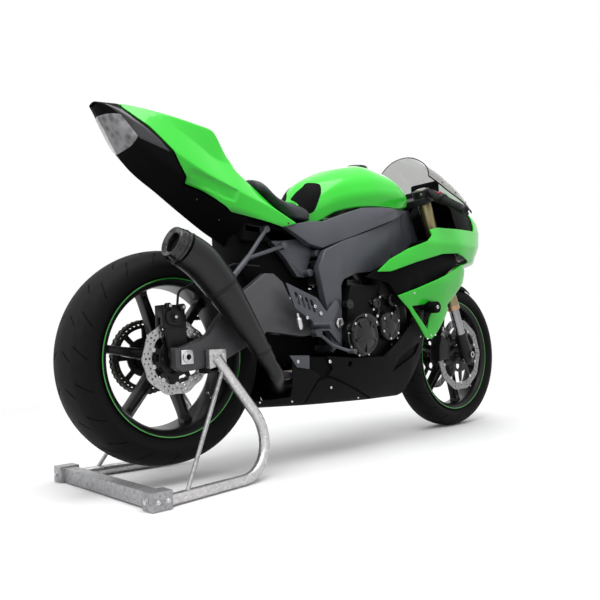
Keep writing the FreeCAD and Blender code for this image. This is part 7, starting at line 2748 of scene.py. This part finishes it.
    def _hoses(self) -> None:
        """Coolant hoses with their clips, and the bright rear brake cylinder on the right."""
        px, pz = self.pivot
        hoses, clips = [], []
        for route, radius in (
            ([(px + 300, -148, pz - 70), (px + 352, -156, pz - 64), (px + 400, -150, pz - 10),
              (px + 426, -138, pz + 6)],
             14.0),
            ([(px + 236, -150, pz + 92), (px + 288, -160, pz + 60), (px + 300, -158, pz + 14),
              (px + 290, -148, pz - 30)],
             8.0),
            ([(px + 150, -150, pz + 78), (px + 190, -162, pz + 40), (px + 176, -160, pz + 4)], 5.0),
            ([(px + 300, 148, pz - 60), (px + 356, 152, pz - 40), (px + 404, 148, pz + 20),
              (px + 430, 136, pz + 40)],
             14.0),
        ):
            line = along(route, 6.0)
            hoses.append(swept("hose", line, radius, 18))
            for at, then in ((2, 3), (-4, -3)):
                way = (line[then] - line[at]) / np.linalg.norm(line[then] - line[at])
                clips.append(swept("clip", np.array([line[at], line[at] + way * 9]), radius + 1.3, 20))
        finish(joined("coolant_hoses", hoses), "chassis", Paint.HOSE)
        cylinder = [(0, 0), (7, 0), (7, 4), (9.5, 5), (9.5, 34), (7, 37), (4.5, 38), (4.5, 52), (0, 52)]
        clips.append(turned("brake_cylinder", (404, -168, 432), (-0.24, 0, 0.97), cylinder, 24))
        finish(joined("clips_and_brake_cylinder", clips), "chassis", Paint.SILVER)

    def _fins(self) -> None:
        """Cooling fins on both faces of the slanted core."""
        px, pz = self.pivot
        lean = np.array((self.core_lean[0], 0.0, self.core_lean[1])) / math.hypot(*self.core_lean)
        parts = []
        for name, foot in (("front_fins", (px + 451.2, 0, pz - 48)),
                           ("rear_fins", (px + 419.0, 0, pz - 48))):
            (wide, tall), low = self.fin, MIDDLE_X - self.fin[0] / 2
            plate = [(low, 0.0), (low + wide, 0.0), (low + wide, tall), (low, tall)]
            sample = extruded("fin", plate, -self.fin_half, self.fin_half, 0.0)
            last = np.asarray(foot, float) + lean * self.core_length
            parts.append(self.louvres.run(name, sample, self.fins, foot, last, Paint.CORE))
        finish(joined("radiator_fins", parts), "chassis", Paint.CORE)

    def _frame_bolts(self) -> None:
        """Bright bolts of the footrest hangers."""
        places = [((x, side * y, z), (0, side, 0), size) for x, y, z, size in (
            (470, 166, 504, 1.2), (495, 166, 481, 1.3), (434, 166, 468, 1.1)) for side in (-1, 1)]
        self.fasteners.row("hanger_bolts", "chassis", places, Paint.BOLT)

    def _rear_caliper(self) -> None:
        """Piston housing, bosses, bridge and bolts on the rear caliper."""
        parts = [turned("piston", (-20, -96.0, 480), (0, -1, 0), [
            (0, -4), (27, -4), (27, 8), (24, 12), (17, 13), (14, 11), (9, 11), (7, 15), (0, 15)], 36)]
        for x, z, radius, tall in ((-38, 512, 9, 14), (6, 508, 10, 16), (-4, 462, 8, 12)):
            parts.append(turned("boss", (x, -96.0, z), (0, -1, 0), [
                (0, -3), (radius, -3), (radius, tall - 3), (radius - 3, tall), (0, tall)], 22))
        parts.append(slab("bridge", (-50, -99, 494), (18, -60, 510), 4.0))
        finish(joined("rear_caliper_housing", parts, 34), "chassis", Paint.BRAKE)
        places = pegs([(-38, 512), (6, 508), (-20, 480)], -112.0, -1, 0.9)
        self.fasteners.row("rear_caliper_bolts", "chassis", places, Paint.BOLT)


def main() -> None:
    """Builds the scene."""
    logging.basicConfig(level=logging.INFO, format="%(message)s")
    set_out = SetOut()
    fasteners = Fasteners(set_out)
    Carried().build()
    Wheel("rear", "rear_wheel", REAR_AXLE, tyre_radius=REAR_TYRE_RADIUS, tyre_width=180.0, rim_half=76.0,
          hub_left=103.0, hub_right=70.5, lean=10.0, rubber=Paint.TYRE_REAR).build(set_out)
    Wheel("front", "front_wheel", FRONT_AXLE, tyre_radius=FRONT_AXLE[1], tyre_width=120.0, rim_half=50.0,
          hub_left=67.5, hub_right=67.5, lean=15.0, rubber=Paint.TYRE_FRONT).build(set_out)
    rear = BrakeDisc("rear_disc_petal", "rear_wheel", REAR_AXLE, y=-73.0, outer=110.0, inner=78.0)
    finish(rear.build(set_out), "rear_wheel", Paint.DISC_REAR, ["rear_disc"])
    pair = [BrakeDisc(f"front_disc_{side}", "front_wheel", FRONT_AXLE, y=y, outer=150.0, inner=118.0)
            for side, y in (("left", 70.0), ("right", -70.0))]
    finish(joined("front_disc_petals", [disc.build(set_out) for disc in pair]), "front_wheel",
           Paint.DISC_FRONT, ["front_discs"])
    ChainDrive(set_out).build()
    Engine(fasteners, Louvres()).build()
    PaddockStand(fasteners).build()
    Tail(fasteners).build()
    Seat().build()
    Tank(fasteners).build()
    Fairing(fasteners).build()
    Exhaust(fasteners).build()
    Fork(fasteners).build()
    Bars(fasteners).build()
    SideStand().build()
    Studio().build()


if __name__ == "__main__":
    main()
